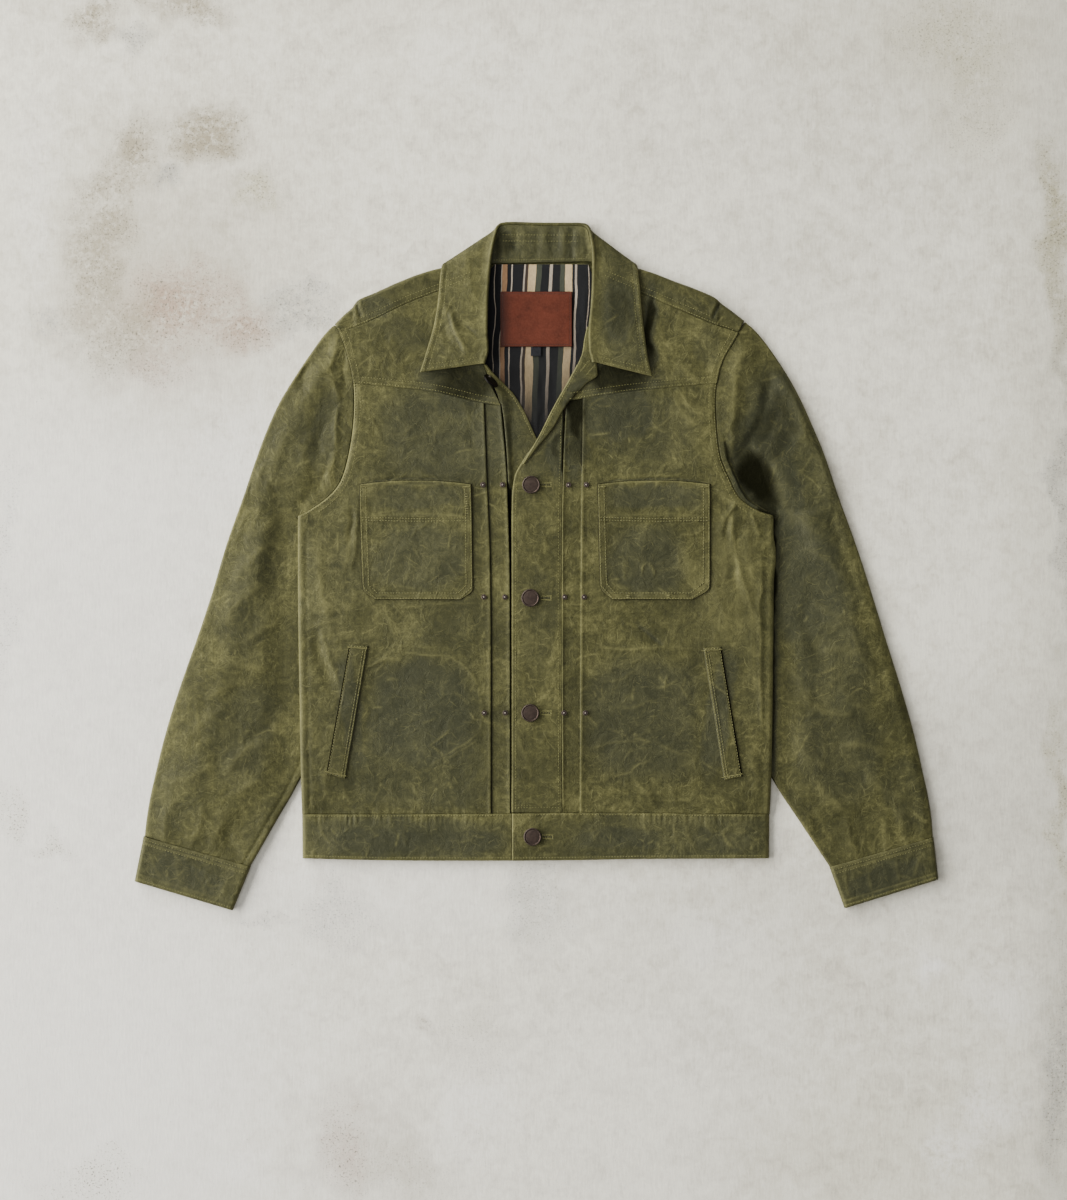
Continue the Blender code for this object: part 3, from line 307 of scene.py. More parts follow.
def guide_rows(first, others, top_edge, bottom_edge):
    """Plan points of each guide line, a row for each point of the first one."""
    t = (first[0, 1] - first[:, 1]) / (first[0, 1] - first[-1, 1])
    lines = [first]
    for guide in others:
        x = guide(np.interp(t, [0, 1], [first[0, 1], first[-1, 1]]))
        for _ in range(6):
            y = top_edge(x[:1])[0] + t * (bottom_edge(x[-1:])[0] - top_edge(x[:1])[0])
            x = guide(y)
        lines.append(np.column_stack([x, y]))
    return lines


# ---------------------------------------------------------------- heights
def front_top(x, y):
    """Top of the fronts, away from their pleats."""
    ramp = np.where(x < 0, x - x_at(RAMP_R, y), x_at(RAMP_L, y) - x)
    edge = smooth(SIDE_TOP["y"], SIDE_TOP["z"], y)
    low = FRONT_TOP - 0.9 * ease(-y, 225, 279)
    z = edge + (low - edge) * ease(ramp, 5, RAMP + 12)
    for row in rows_of(FRONT_HOLLOWS):
        d = ((x - row["x"]) / row["half_x"]) ** 2 + ((y - row["y"]) / row["half_y"]) ** 2
        z = z - row["depth"] * np.exp(-1.6 * d)
    return z


def sleeve_top(x, y, edge_distance):
    """Top of a sleeve, low where the body lies on it and along its outer fold; and how free it lies."""
    clear = np.where(x < 0, x_at(SIDE_R, y) - x, x - x_at(SIDE_L, y))
    beside = ease(clear, 14, 46)
    free = np.where(y > UNDERARM, 1.0, beside)
    free = np.where((y > UNDERARM) & (y < 130), np.maximum(ease(y, UNDERARM, 120), beside), free)
    free_inland = free * ease(edge_distance, 0, 26)
    z = SLEEVE_TOP + (SLEEVE_SOFT - SLEEVE_TOP) * free_inland
    for row in rows_of(SLEEVE_FOLDS):
        dx, dy = row["x2"] - row["x1"], row["y2"] - row["y1"]
        length = math.hypot(dx, dy)
        u = ((x - row["x1"]) * dx + (y - row["y1"]) * dy) / length**2
        v = ((x - row["x1"]) * dy - (y - row["y1"]) * dx) / length
        z = z + (
            row["height"] * np.exp(-1.4 * (v / row["half_width"]) ** 2)
            * ease(u, -0.15, 0.25) * ease(-u, -1.15, -0.75) * free_inland
        )
    return np.clip(z, 3.5, 9.8), free


def yoke_lift(x, y):
    """How far the back yoke is off the floor where the collar fall lies under it."""
    x, y = np.asarray(x, float), np.asarray(y, float)
    return YOKE_LIFT * np.clip((y - 276) / 26, 0, 1) * ease(-np.abs(x), -150, -116)


def lining_top(x, y):
    """Top of the lining, which follows the yoke's lift at the middle of the back."""
    return CLOTH + SEAM + LINING_CLOTH + yoke_lift(np.zeros_like(x), y)


# ---------------------------------------------------------------- creases, worn places, waxed patches and painted shade
# A crease's columns: its ends, bow, width, height and pale, how pale it is worn; a pale below zero paints shade
# along it instead: dark lines in grooves, along pocket mouths, at the shoulders and beside the body.
CREASE = "x1 y1 x2 y2 bow width height pale"
CREASES = {
    "body": table(
        CREASE,
        (208, 62, 202, -112, 4, 45, 0, 0.13), (172, -36, 170, -108, 0, 45, 0, 0.1),
        # right front: chest, under the pocket, the pocket bag's imprint and the scuffs on it
        (-178, 92, -75, 93, 1.5, 2.2, 0.25, 0.3), (-203, 76, -208, -10, -2, 3, 0.9, 0.26),
        (-210, 66, -213, 20, -3, 3.5, -1.2, -0.3), (-214, 70, -216, -10, -4, 6, 0.8, 0.32),
        (-245, 30, -226, -90, 6, 8, 0.9, 0.24), (-250, -70, -226, -150, 3, 6, -1.2, 0),
        (-244, -60, -218, -140, 3, 4, 0.7, 0.26), (-190, -52, -66, -42, -3, 3, 0.3, 0.25),
        (-157, -97, -100, -101, 1, 2, 0.3, 0.4), (-168, -88, -112, -90, 2, 2.4, 0.3, 0.24),
        (-104, -99, -66, -136, -6, 3, 0.5, 0.4), (-66, -132, -62, -190, -2, 2.4, 0.3, 0.3),
        (-189, -112, -166, -98, 3, 2, 0.3, 0.34), (-150, -104, -186, -112, 3, 3, 0.3, 0.4),
        (-184, -120, -170, -106, 2, 2.2, 0.2, 0.35), (-112, -214, -64, -187, 3, 2.2, 0.3, 0.38),
        (-120, -224, -84, -210, -2, 2, 0.25, 0.3), (-100, -216, -64, -196, -1, 1.6, 0.2, 0.3),
        (-130, -176, -112, -170, 1, 1.6, 0.15, 0.25), (-246, -70, -228, -130, 4, 9, -0.9, 0),
        (-230, -110, -214, -160, 3, 6, -0.5, 0), (-238, -226, -232, -262, 2, 5, 0.5, 0.22),
        (-218, -244, -208, -268, 2, 4, 0.4, 0.2), (-198, -252, -120, -262, 4, 6, 0.4, 0.1),
        (-160, 142, -96, 160, 5, 8, 0.4, 0.12), (-92, 190, -72, 150, -4, 6, 0.5, 0.1),
        (-74, 180, -66, 120, 3, 5, -0.5, 0), (-200, 170, -214, 100, -6, 9, 0.5, 0.15),
        (-120, 50, -142, 30, 1, 1.8, 0.2, 0.35), (-160, -20, -128, -26, 2, 1.6, 0.15, 0.25),
        (-100, 4, -84, -18, 1, 1.6, 0.15, 0.2), (-198, 93.6, -74, 93.6, -4.4, 1.3, -0.9, -0.75),
        (-238, -80, -246, 20, 3, 9, 0, 0.14),
        # left front
        (212, 40, 214, -90, 2, 22, 0.2, 0.3), (226, 36, 230, -90, 2, 22, 0.2, 0.32),
        (240, 44, 246, -96, 3, 18, 0.2, 0.32), (160, 30, 200, -60, 4, 20, 0.2, 0.22),
        (157, 202.5, 186, 164, 1, 2.4, 0.4, 0.5), (69, 93.6, 194, 93.6, -4.4, 1.3, -0.9, -0.7),
        (128, 160, 146, 150, 1, 1.8, 0.25, 0.4), (122, 150, 152, 170, 2, 1.8, 0.25, 0.35),
        (110, 134, 120, 146, 1, 1.6, 0.2, 0.25), (152, 196, 196, 150, 8, 8, 0.8, 0.22),
        (166, 190, 200, 170, 3, 5, 0.5, 0.15), (90, 96, 168, 97, 1, 2.2, 0.25, 0.25),
        (110, 101, 160, 101, 0, 1.6, 0.2, 0.3), (160, 34, 192, 46, 3, 2, 0.3, 0.5),
        (118, -8, 124, 4, -2, 1.6, 0.25, 0.5), (124, 4, 132, -12, -2, 1.6, 0.25, 0.45),
        (174, 14, 190, 0, 1, 1.6, 0.15, 0.25), (200, 84, 236, 60, -3, 7, 0.7, 0.25),
        (222, 76, 250, -60, 12, 5, 1.4, 0.5), (228, 74, 206, 30, 4, 4, 1, 0.36),
        (224, 66, 212, 30, 3, 5, -1.2, 0), (238, 62, 250, 30, -3, 3.5, 0.9, 0.36),
        (232, 50, 226, -30, 7, 7, -1.1, 0), (252, 20, 253, -200, 2, 3.2, 0.9, 0.46),
        (200, -10, 214, -60, 3, 5, 0.6, 0.24), (206, 78, 240, 68, 2, 3, 0.5, 0.4),
        (236, 50, 248, -20, 4, 7, 0.5, 0.2), (244, -60, 250, -150, 4, 8, 0.6, 0.22),
        (94, -58, 112, -68, 1, 2.2, 0.3, 0.25), (62, -92, 150, -90, 2, 3, 0.55, 0.5),
        (150, -90, 186, -93, 1, 2.5, 0.4, 0.35), (111, -61, 143, -89, 2, 4, -0.8, -0.6),
        (70, -69, 83, -71, 0, 1.6, 0.2, 0.42), (108.7, -237, 130, -258.5, 1, 1.8, 0.3, 0.44),
        (130, -262, 176, -262, 0, 1.6, 0.2, 0.26), (55.6, -248.7, 62.8, -258.6, 0, 1.6, 0.2, 0.45),
        (136, -124, 148, -136, 0, 1.6, 0.25, 0.55), (146, -122, 144, -142, 1, 1.6, 0.25, 0.45),
        (134, -138, 158, -128, 1, 1.6, 0.25, 0.45), (158, -132, 170, -150, -1, 1.8, 0.25, 0.32),
        (168, -120, 190, -128, 1, 1.8, 0.2, 0.28), (70, -130, 112, -118, 3, 3, 0.3, 0.22),
        (104, -110, 124, -98, 1, 2, 0.3, 0.3), (96, -160, 128, -150, 2, 1.8, 0.2, 0.25),
        (60, -206, 116, -196, -4, 3, 0.3, 0.25), (130, -196, 186, -212, 5, 4, 0.35, 0.22),
        (122, -250, 132, -268, 1, 3, 0.4, 0.25), (152, -246, 158, -268, 1, 3, 0.4, 0.22),
        (236, -200, 248, -262, -3, 7, 0.6, 0.2), (92, -240, 150, -256, 4, 5, 0.4, 0.14),
        # button band
        (-22, 60, -6, 30, 2, 3, 0.3, 0.22), (-4, 74, 16, 56, 2, 3, 0.25, 0.18),
        (0, 10, 14, -14, 2, 3, 0.3, 0.22), (-18, -60, 2, -84, 2, 3, 0.3, 0.22),
        (2, -100, 18, -124, 1, 2.4, 0.25, 0.28), (-20, -190, -6, -226, 2, 3, 0.3, 0.25),
        (0, -200, 14, -188, 1, 2.4, 0.25, 0.25),
    ),
    "yoke": table(
        CREASE,
        (-203, 302, -195, 276, 1, 1.5, -0.9, -0.55), (-199.5, 300, -191.5, 277, 1, 2, 0.5, 0.34),
        (-207, 299, -199, 276, 1, 2, 0.4, 0.3), (-170, 300, -120, 316, 4, 8, 0.4, 0.12),
        (-190, 262, -130, 286, -6, 9, 0.4, 0.1), (-150, 240, -128, 212, 4, 9, -0.5, 0),
        (-176, 226, -196, 250, 3, 9, 0.4, 0.14), (-104, 212, -78, 196, 2, 6, 0.4, 0.1),
        (206, 302, 198, 276, -1, 1.6, -1.1, -0.9), (202, 302, 194, 278, -1, 2, 0.6, 0.3),
        (128, 304, 176, 286, 3, 5, 0.5, 0.2), (134, 292, 196, 268, 3, 5, 0.4, 0.16),
        (158, 228, 192, 206, 4, 8, 0.5, 0.2), (170, 246, 202, 232, 3, 8, -0.5, 0),
        (130, 262, 160, 240, 3, 9, 0.4, 0.1), (88, 204, 120, 212, 2, 6, 0.3, 0.1),
    ),
    "sleeve_right": table(
        CREASE,
        (-225, 262, -236, 214, -3, 5, 1.3, 0.34), (-236, 214, -221, 184, -3, 5, 1.4, 0.34),
        (-221, 184, -224, 130, 3, 4, 1.2, 0.3), (-224, 130, -232, 84, 3, 4, 1.1, 0.3),
        (-214, 244, -213, 196, 3, 4, -0.9, 0), (-256, 230, -262, 196, 4, 9, -1.8, 0),
        (-236, 164, -244, 122, 4, 8, -1.6, 0), (-234, 108, -246, 78, 4, 6, -1.5, 0),
        (-250, 80, -268, 58, 3, 6, -1.4, 0), (-252, 150, -262, 104, 5, 9, 1, 0.1),
        (-270, 160, -300, 70, 10, 12, 1, 0.1), (-248, 112, -268, 66, -5, 7, -1.1, 0),
        (-262, 96, -306, 84, 6, 8, 0.9, 0.2), (-278, 74, -330, 30, -8, 10, 0.9, 0.14),
        (-276, 44, -300, -40, -6, 8, -1.1, 0), (-290, 30, -340, -20, 6, 9, 0.8, 0.18),
        (-300, -20, -352, -66, 8, 9, 0.9, 0.2), (-284, -60, -330, -90, 5, 8, 0.9, 0.18),
        (-296, -110, -350, -104, -6, 8, 0.8, 0.2), (-318, -130, -372, -150, 6, 8, 0.8, 0.18),
        (-292, -160, -330, -200, -7, 8, -1.1, 0), (-350, -160, -396, -210, 7, 8, 0.8, 0.18),
        (-306, -196, -350, -236, 6, 9, 1, 0.2), (-300, -240, -344, -262, 4, 7, 0.8, 0.18),
        (-360, -220, -420, -240, -5, 9, 0.8, 0.18), (-340, -266, -364, -320, 5, 8, 0.9, 0.16),
        (-376, -262, -392, -322, -4, 7, 0.8, 0.18), (-408, -262, -420, -318, 3, 6, 0.6, 0.15),
        (-352, -292, -330, -332, 3, 6, -0.8, 0), (-302, 120, -316, 80, 3, 5, 0.5, 0.25),
        (-322, 62, -340, 20, 3, 5, 0.5, 0.25),
    ),
    "sleeve_left": table(
        CREASE,
        # the first three rows, pale below zero, paint shade beside the body's edge and along the armhole
        (266.5, 96, 267.5, -90, 0, 15, -0.4, -0.92), (267, 10, 266, -262, 0, 9, -0.3, -0.85),
        (258, 236, 224, 126, -5, 5, 0.3, -0.34), (232, 252, 220, 150, 4, 9, 1.9, 0.24),
        (222, 176, 222, 118, 3, 6, 1, 0.18), (262, 218, 244, 150, -5, 9, -2.2, 0),
        (246, 156, 238, 108, 3, 10, -2.6, 0), (270, 176, 246, 128, -3, 10, -1.8, 0),
        (240, 118, 262, 62, 4, 13, -3.4, 0), (264, 74, 276, -10, 4, 12, -2.6, 0),
        (272, -10, 284, -90, 4, 10, -1.6, 0), (276, 214, 302, 120, -8, 12, 1.3, 0.1),
        (296, 190, 326, 100, -5, 7, 0.8, 0.26), (270, 120, 300, 40, 8, 10, 1.2, 0.1),
        (300, 150, 330, 60, -8, 10, 1, 0.12), (290, 60, 340, 30, 6, 10, 0.9, 0.12),
        (300, 20, 350, -20, -6, 9, 0.9, 0.15), (296, -40, 330, -110, 8, 10, -1.3, 0),
        (310, -40, 366, -60, 6, 9, 0.9, 0.16), (316, -96, 372, -104, -6, 9, 0.9, 0.18),
        (276, -110, 306, -160, -6, 9, 0.9, 0.14), (300, -150, 356, -166, 6, 9, 1, 0.2),
        (340, -136, 396, -170, 6, 9, 0.8, 0.15), (288, -190, 330, -226, 6, 9, 1, 0.2),
        (340, -200, 400, -216, -6, 9, 0.9, 0.2), (310, -236, 360, -280, 7, 9, 1, 0.2),
        (366, -232, 424, -262, 5, 9, 0.8, 0.18), (346, -280, 362, -330, 4, 7, 0.9, 0.2),
        (384, -276, 392, -326, -4, 7, 0.8, 0.2), (410, -270, 420, -318, 3, 6, 0.7, 0.18),
        (300, -262, 330, -300, 4, 7, -0.9, 0), (350, -60, 378, -120, 4, 6, 0.5, 0.22),
    ),
    "collar": table(
        CREASE,
        (-106, 304, -72, 238, 7, 5, 1.1, 0.16), (-102.4, 286.6, -80.9, 238.8, 2, 1.8, -0.9, -0.85),
        (-98.5, 288, -77, 240, 2, 2.4, 0.5, 0.18), (-80.9, 270, -59.5, 247, -2, 1.6, -0.8, -0.75),
        (-96, 286, -90, 262, 2, 4, 0.8, 0.26), (-92, 262, -58, 246, -4, 3.6, 1.2, 0.34),
        (-106, 270, -80, 238, 4, 5, -1.1, 0), (-88, 276, -66, 254, 2, 4, -0.9, 0),
        (-80, 350, -62, 290, 3, 6, 0.6, 0.14), (-90, 340, -74, 300, -3, 7, 0.4, 0.12),
        (-84, 356, -64, 330, 2, 5, 0.4, 0.2), (76, 350, 84, 300, 3, 7, 0.4, 0.12),
        (100, 300, 108, 250, 3, 7, 0.4, 0.14), (76, 270, 84, 232, -3, 6, -0.3, 0),
        (112, 244, 96, 226, 2, 4, 0.3, 0.16),
    ),
    "waist": table(
        CREASE,
        (-244, -290, -222, -320, 3, 3.5, 0.35, 0.3), (-236, -300, -196, -326, 3, 3.5, 0.3, 0.22),
        (-150, -292, -144, -314, 2, 4, 0.3, 0.12), (-100, -308, -78, -310, 1, 1.8, 0.2, 0.3),
        (-130, -326, -92, -326, 1, 1.8, 0.2, 0.25), (-60, -286, -52, -300, 1, 3, 0.3, 0.2),
        (60, -292, 70, -312, 2, 4, 0.3, 0.15), (120, -288, 128, -304, 2, 3.5, 0.3, 0.2),
        (168, -290, 178, -316, 2, 4, 0.35, 0.28), (190, -286, 200, -300, 2, 3, 0.3, 0.22),
        (216, -300, 236, -322, 2, 3.5, 0.3, 0.2), (153, -282, 161, -328, 1, 2, 0.3, 0.38),
        (209, -297, 222, -318, 3, 3.4, 0.4, 0.48), (225, -306, 251, -294, 1, 1.8, -0.4, -0.45),
    ),
    "cuff_right": table(
        CREASE,
        (-436, -320, -420, -352, 2, 4, 0.3, 0.22), (-404, -326, -396, -360, 2, 4, 0.3, 0.16),
        (-372, -340, -362, -366, 2, 4, 0.3, 0.2), (-344, -346, -352, -372, 2, 4, 0.3, 0.18),
    ),
    "cuff_left": table(
        CREASE,
        (436, -318, 424, -350, 2, 4, 0.3, 0.25), (402, -328, 410, -358, 2, 4, 0.3, 0.22),
        (372, -336, 378, -368, 2, 4, 0.3, 0.2), (346, -346, 352, -374, 2, 4, 0.3, 0.18),
    ),
}

# Where the wax lies thick and dark, and where shade is painted: centre, half sizes, turn in degrees, squareness,
# amount.
# Amounts above SHADE are painted shade, under and inside the collar, in the V, beside the body, in the left
# sleeve's hollow and on a cuff; the left sleeve's lesser patches are partly painted shade too.
PATCH = "x y half_x half_y turn square amount"
PATCHES = {
    "body": table(
        PATCH,
        (-196, 4, 44, 32, 0, 2, 0.5), (-134, -236, 72, 38, 0, 4, 0.62), (-134, 76, 56, 14, 0, 4, 0.75),
        (-132, 8, 52, 38, 0, 3, 0.8), (-127, -166, 63, 64, 0, 3, 1), (-130, -206, 70, 50, 0, 3, 0.62),
        (-150, -236, 70, 30, 0, 2, 0.45), (-226, -116, 12, 40, 12, 2, 0.35), (-207, -165, 12, 72, 10, 4, 0.92),
        (-84, 170, 24, 28, 0, 2, 0.8), (-96, 148, 84, 56, 0, 3, 0.82), (-160, -70, 100, 230, 0, 4, 0.28),
        (-236, -20, 30, 74, 0, 3, 0.4), (21, 126, 12, 40, 0, 2, 1.15), (24, 136, 9, 26, 0, 2, 1.45),
        (43, 150, 14, 68, 0, 3, 1.42), (43, 170, 16, 50, 0, 2, 1.72), (70, 176, 24, 24, 0, 2, 1.15),
        (92, 168, 44, 34, 0, 2, 1.1), (124, 152, 60, 40, 0, 2, 0.45), (86, 200, 40, 12, 0, 2, 1.2),
        (78, 204, 26, 8, 0, 2, 1.45), (-84, 184, 40, 26, 0, 2, 1.24), (132, 76, 56, 14, 0, 4, 0.85),
        (122, 6, 44, 40, 0, 3, 0.8), (96, 150, 34, 34, 0, 2, 0.45), (128, 120, 60, 20, 0, 2, 0.25),
        (120, -172, 64, 72, 0, 3, 0.8), (206, -165, 14, 72, -10, 4, 0.92), (236, -120, 20, 60, 0, 2, 0.2),
        (2, -60, 22, 60, 0, 2, 0.25), (0, 120, 18, 24, 0, 2, 0.45),
    ),
    "yoke": table(
        PATCH,
        (-182, 290, 20, 14, 0, 2, 0.75), (-150, 262, 34, 16, -25, 2, 0.35), (-84, 214, 52, 26, 0, 2, 0.85),
        (-84, 206, 56, 36, 0, 2, 1.62), (128, 268, 9, 56, 4, 3, 1.7), (96, 207, 46, 18, 0, 2, 1.2),
        (90, 210, 56, 34, -5, 2, 1.66), (-92, 213, 32, 7, -2, 3, 1.15), (160, 300, 34, 9, -22, 2, 0.35),
        (190, 248, 16, 24, 0, 2, 0.35), (100, 214, 26, 14, 0, 2, 0.45),
    ),
    "sleeve_right": table(
        PATCH,
        (-240, 150, 16, 50, -10, 2, 0.55), (-284, 120, 26, 60, -14, 2, 0.35), (-320, -30, 30, 90, -16, 2, 0.4),
        (-330, -190, 40, 60, -20, 2, 0.45), (-400, -250, 30, 50, -16, 2, 0.35),
    ),
    "sleeve_left": table(
        PATCH,
        (262, 90, 40, 70, 10, 2, 1), (266, 152, 42, 84, -10, 2, 1.42), (316, -16, 44, 84, 14, 3, 1.12),
        (248, 98, 32, 62, 24, 2, 1.84), (258, 62, 20, 40, 10, 2, 1.62), (290, -10, 44, 90, 12, 2, 0.95),
        (320, 80, 30, 80, 14, 2, 0.55), (330, -100, 44, 90, 16, 2, 0.7), (340, -210, 50, 60, 20, 2, 0.6),
        (414, -256, 24, 44, 16, 2, 0.45),
    ),
    "collar": table(
        PATCH, (92, 330, 24, 30, 0, 2, 0.45), (100, 250, 24, 30, 0, 2, 0.60), (88, 284, 27, 48, 0, 3, 1.34),
        (-100, 250, 16, 20, 0, 2, 0.2),
    ),
    "stand": table(
        PATCH, (0, 361, 62, 30, 0, 4, 0.70), (-40, 360, 20, 28, 0, 2, 1.50), (26, 358, 4, 18, 8, 2, 1.15),
        (46, 360, 7, 24, 0, 2, 1.2),
    ),
    "waist": table(
        PATCH,
        (-150, -306, 112, 24, 0, 4, 0.82), (150, -306, 126, 28, 0, 4, 0.58), (-176, -310, 66, 15, 0, 3, 1),
        (-80, -308, 44, 15, 0, 3, 0.95), (92, -308, 56, 15, 0, 3, 0.98), (210, -308, 40, 14, 0, 3, 0.85),
    ),
    "cuff_right": table(
        PATCH, (-392, -349, 48, 17, -18, 3, 1.08), (-410, -337, 26, 24, -18, 3, 1.16),
        (-388, -346, 64, 34, -18, 4, 0.6),
    ),
    "cuff_left": table(PATCH, (392, -349, 48, 17, 18, 3, 1.10), (388, -346, 64, 34, 18, 4, 0.55)),
}

# Small random creases of each region: seed, count, and the ranges of x, y, length and width.
SCATTER = {
    "body": (11, 520, (-270, 270), (-280, 210), (6, 34), (0.9, 2.0)),
    "yoke": (12, 130, (-226, 230), (180, 345), (6, 28), (0.9, 2.0)),
    "sleeve_right": (13, 330, (-445, -215), (-340, 270), (6, 36), (1.0, 2.4)),
    "sleeve_left": (14, 330, (215, 450), (-340, 270), (6, 36), (1.0, 2.4)),
    "collar": (15, 90, (-135, 135), (215, 390), (5, 22), (0.9, 1.8)),
    "waist": (16, 120, (-266, 264), (-332, -278), (5, 20), (0.9, 1.8)),
    "cuff_right": (17, 40, (-452, -320), (-388, -300), (5, 20), (0.9, 1.8)),
    "cuff_left": (18, 40, (320, 452), (-388, -300), (5, 20), (0.9, 1.8)),
    "back": (19, 160, (-270, 270), (-330, 300), (10, 60), (2.0, 4.0)),
}
HILLS = ((0.30, 52, 31), (0.22, 24, 32), (0.09, 10, 33))    # all cloth's unevenness: height, size, seed


def scattered(seed, count, x, y, length, width):
    """Short creases in random directions, as a table of the same columns."""
    draw = np.random.default_rng(seed)
    x1, y1 = draw.uniform(*x, count), draw.uniform(*y, count)
    run = length[0] + (length[1] - length[0]) * draw.random(count) ** 2.2
    way = draw.uniform(0, math.pi, count)
    return {
        "x1": x1, "y1": y1, "x2": x1 + run * np.cos(way), "y2": y1 + run * np.sin(way),
        "bow": run * draw.uniform(-0.12, 0.12, count), "width": draw.uniform(*width, count),
        "height": draw.uniform(-0.12, 0.22, count), "pale": 0.55 * draw.random(count) ** 2.5,
    }


def creased(x, y, rows):
    """Height, paleness and depth of shade that creases add at each point."""
    high, pale, deep = np.zeros_like(x), np.zeros_like(x), np.zeros_like(x)
    wander = cloudy(x, y, 13, 5) * 1.6 + cloudy(x, y, 5, 6) * 0.5
    for row in rows_of(rows):
        reach = 3 * row["width"] + abs(row["bow"])
        near = (x > min(row["x1"], row["x2"]) - reach) & (x < max(row["x1"], row["x2"]) + reach)
        near &= (y > min(row["y1"], row["y2"]) - reach) & (y < max(row["y1"], row["y2"]) + reach)
        if not near.any():
            continue
        px, py = x[near] - row["x1"], y[near] - row["y1"]
        dx, dy = row["x2"] - row["x1"], row["y2"] - row["y1"]
        length = math.hypot(dx, dy)
        u = np.clip((px * dx + py * dy) / length**2, 0, 1)
        v = (px * dy - py * dx) / length - row["bow"] * 4 * u * (1 - u) + wander[near] * min(1, length / 30)
        fade = np.clip(1.5 * np.sin(math.pi * u), 0, 1) ** 0.7
        high[near] += row["height"] * np.exp(-np.abs(v / row["width"]) ** 1.7) * fade
        mark = abs(row["pale"]) * np.exp(-np.abs(v / max(0.9, 0.4 * row["width"])) ** 1.5) * fade
        into = pale if row["pale"] > 0 else deep
        into[near] = np.maximum(into[near], mark)
    return high, pale, deep


SHADE = 1.1         # patches of a greater amount are shade, softer than wax
FULL_OF_WAX, FULL_OF_SHADE, PATCH_END = 0.72, 0.35, 1.2     # shares of a patch's half size


def wax_and_shade(x, y, rows):
    """How thick and dark the wax lies at each point, and above SHADE how deep the painted shade lies."""
    dark = np.zeros_like(x)
    u0 = x + 5 * cloudy(x, y, 26, 21) + 2.5 * cloudy(x, y, 9, 22)
    v0 = y + 5 * cloudy(x, y, 26, 23) + 2.5 * cloudy(x, y, 9, 24)
    for row in rows_of(rows):
        turn = math.radians(row["turn"])
        u = (u0 - row["x"]) * math.cos(turn) + (v0 - row["y"]) * math.sin(turn)
        v = (v0 - row["y"]) * math.cos(turn) - (u0 - row["x"]) * math.sin(turn)
        power = row["square"]
        d = (np.abs(u / row["half_x"]) ** power + np.abs(v / row["half_y"]) ** power) ** (1 / power)
        full = FULL_OF_SHADE if row["amount"] > SHADE else FULL_OF_WAX
        dark = np.maximum(dark, row["amount"] * (1 - ease(d, full, PATCH_END)))
    return dark


def wear_and_shade(x, y, region):
    """Height, paleness and darkness (to 1 for thick wax, to 2 for deep shade) of the cloth in one region."""
    high, pale, deep = creased(x, y, CREASES.get(region, table(CREASE)))
    if region in SCATTER:
        more, light, _ = creased(x, y, scattered(*SCATTER[region]))
        high, pale = high + more, np.maximum(pale, light)
    for height, size, seed in HILLS:
        high = high + height * cloudy(x, y, size, seed)
    return high, pale, np.maximum(wax_and_shade(x, y, PATCHES.get(region, table(PATCH))), 2 * deep)


# ---------------------------------------------------------------- mesh builders
def added(name, data):
    """A new object of the scene."""
    piece = bpy.data.objects.new(name, data)
    bpy.context.scene.collection.objects.link(piece)
    return piece


def mesh_of(name, points, faces, fields=()):
    """A smooth mesh of points in millimetres, with the values of each field at its points."""
    mesh = bpy.data.meshes.new(name)
    mesh.from_pydata((np.asarray(points) * MM).tolist(), [], faces)
    mesh.shade_smooth()
    for key, values in dict(fields).items():
        mesh.attributes.new(key, "FLOAT", "POINT").data.foreach_set("value", values.astype(np.float32))
    return added(name, mesh)


def read(grid, rows, cols):
    """A grid's surface at fractional rows and columns."""
    return glide(glide(grid, rows).swapaxes(0, 1), cols).swapaxes(0, 1)


def stops(grid, axis, pitch, border=()):
    """Fractional row or column numbers, about pitch apart, with extra ones near the ends."""
    gap = np.linalg.norm(np.diff(grid[..., :2], axis=axis), axis=-1).max(axis=1 - axis)
    at = [len(gap)]
    for k, width in enumerate(gap):
        count = max(1, math.ceil(width / pitch))
        at += [k + i / count for i in range(count)]
    for margin in border:
        at += [min(0.9, margin / gap[0]), len(gap) - min(0.9, margin / gap[-1])]
    return np.unique(np.round(at, 4))


def dense(grid, pitch=PITCH, border=(0.5, 1.2)):
    """The same surface with points about pitch apart."""
    grid = np.asarray(grid, float)
    return read(grid, stops(grid, 0, pitch, border), stops(grid, 1, pitch, border))


def margins(plan):
    """Distances to a grid's first row, last row, first column and last column."""
    step_r = np.linalg.norm(np.diff(plan[..., :2], axis=0), axis=-1)
    step_c = np.linalg.norm(np.diff(plan[..., :2], axis=1), axis=-1)
    down = np.vstack([np.zeros((1, plan.shape[1])), np.cumsum(step_r, axis=0)])
    across = np.hstack([np.zeros((plan.shape[0], 1)), np.cumsum(step_c, axis=1)])
    return down, down[-1] - down, across, across[:, -1:] - across


def picked(count, every):
    """Numbers from 0 to count - 1, about every so many, both ends among them."""
    return np.unique(np.round(np.linspace(0, count - 1, max(2, math.ceil((count - 1) / every) + 1))).astype(int))


INNER_SHARE = 0.3   # of the outer face's wear, on the inner one


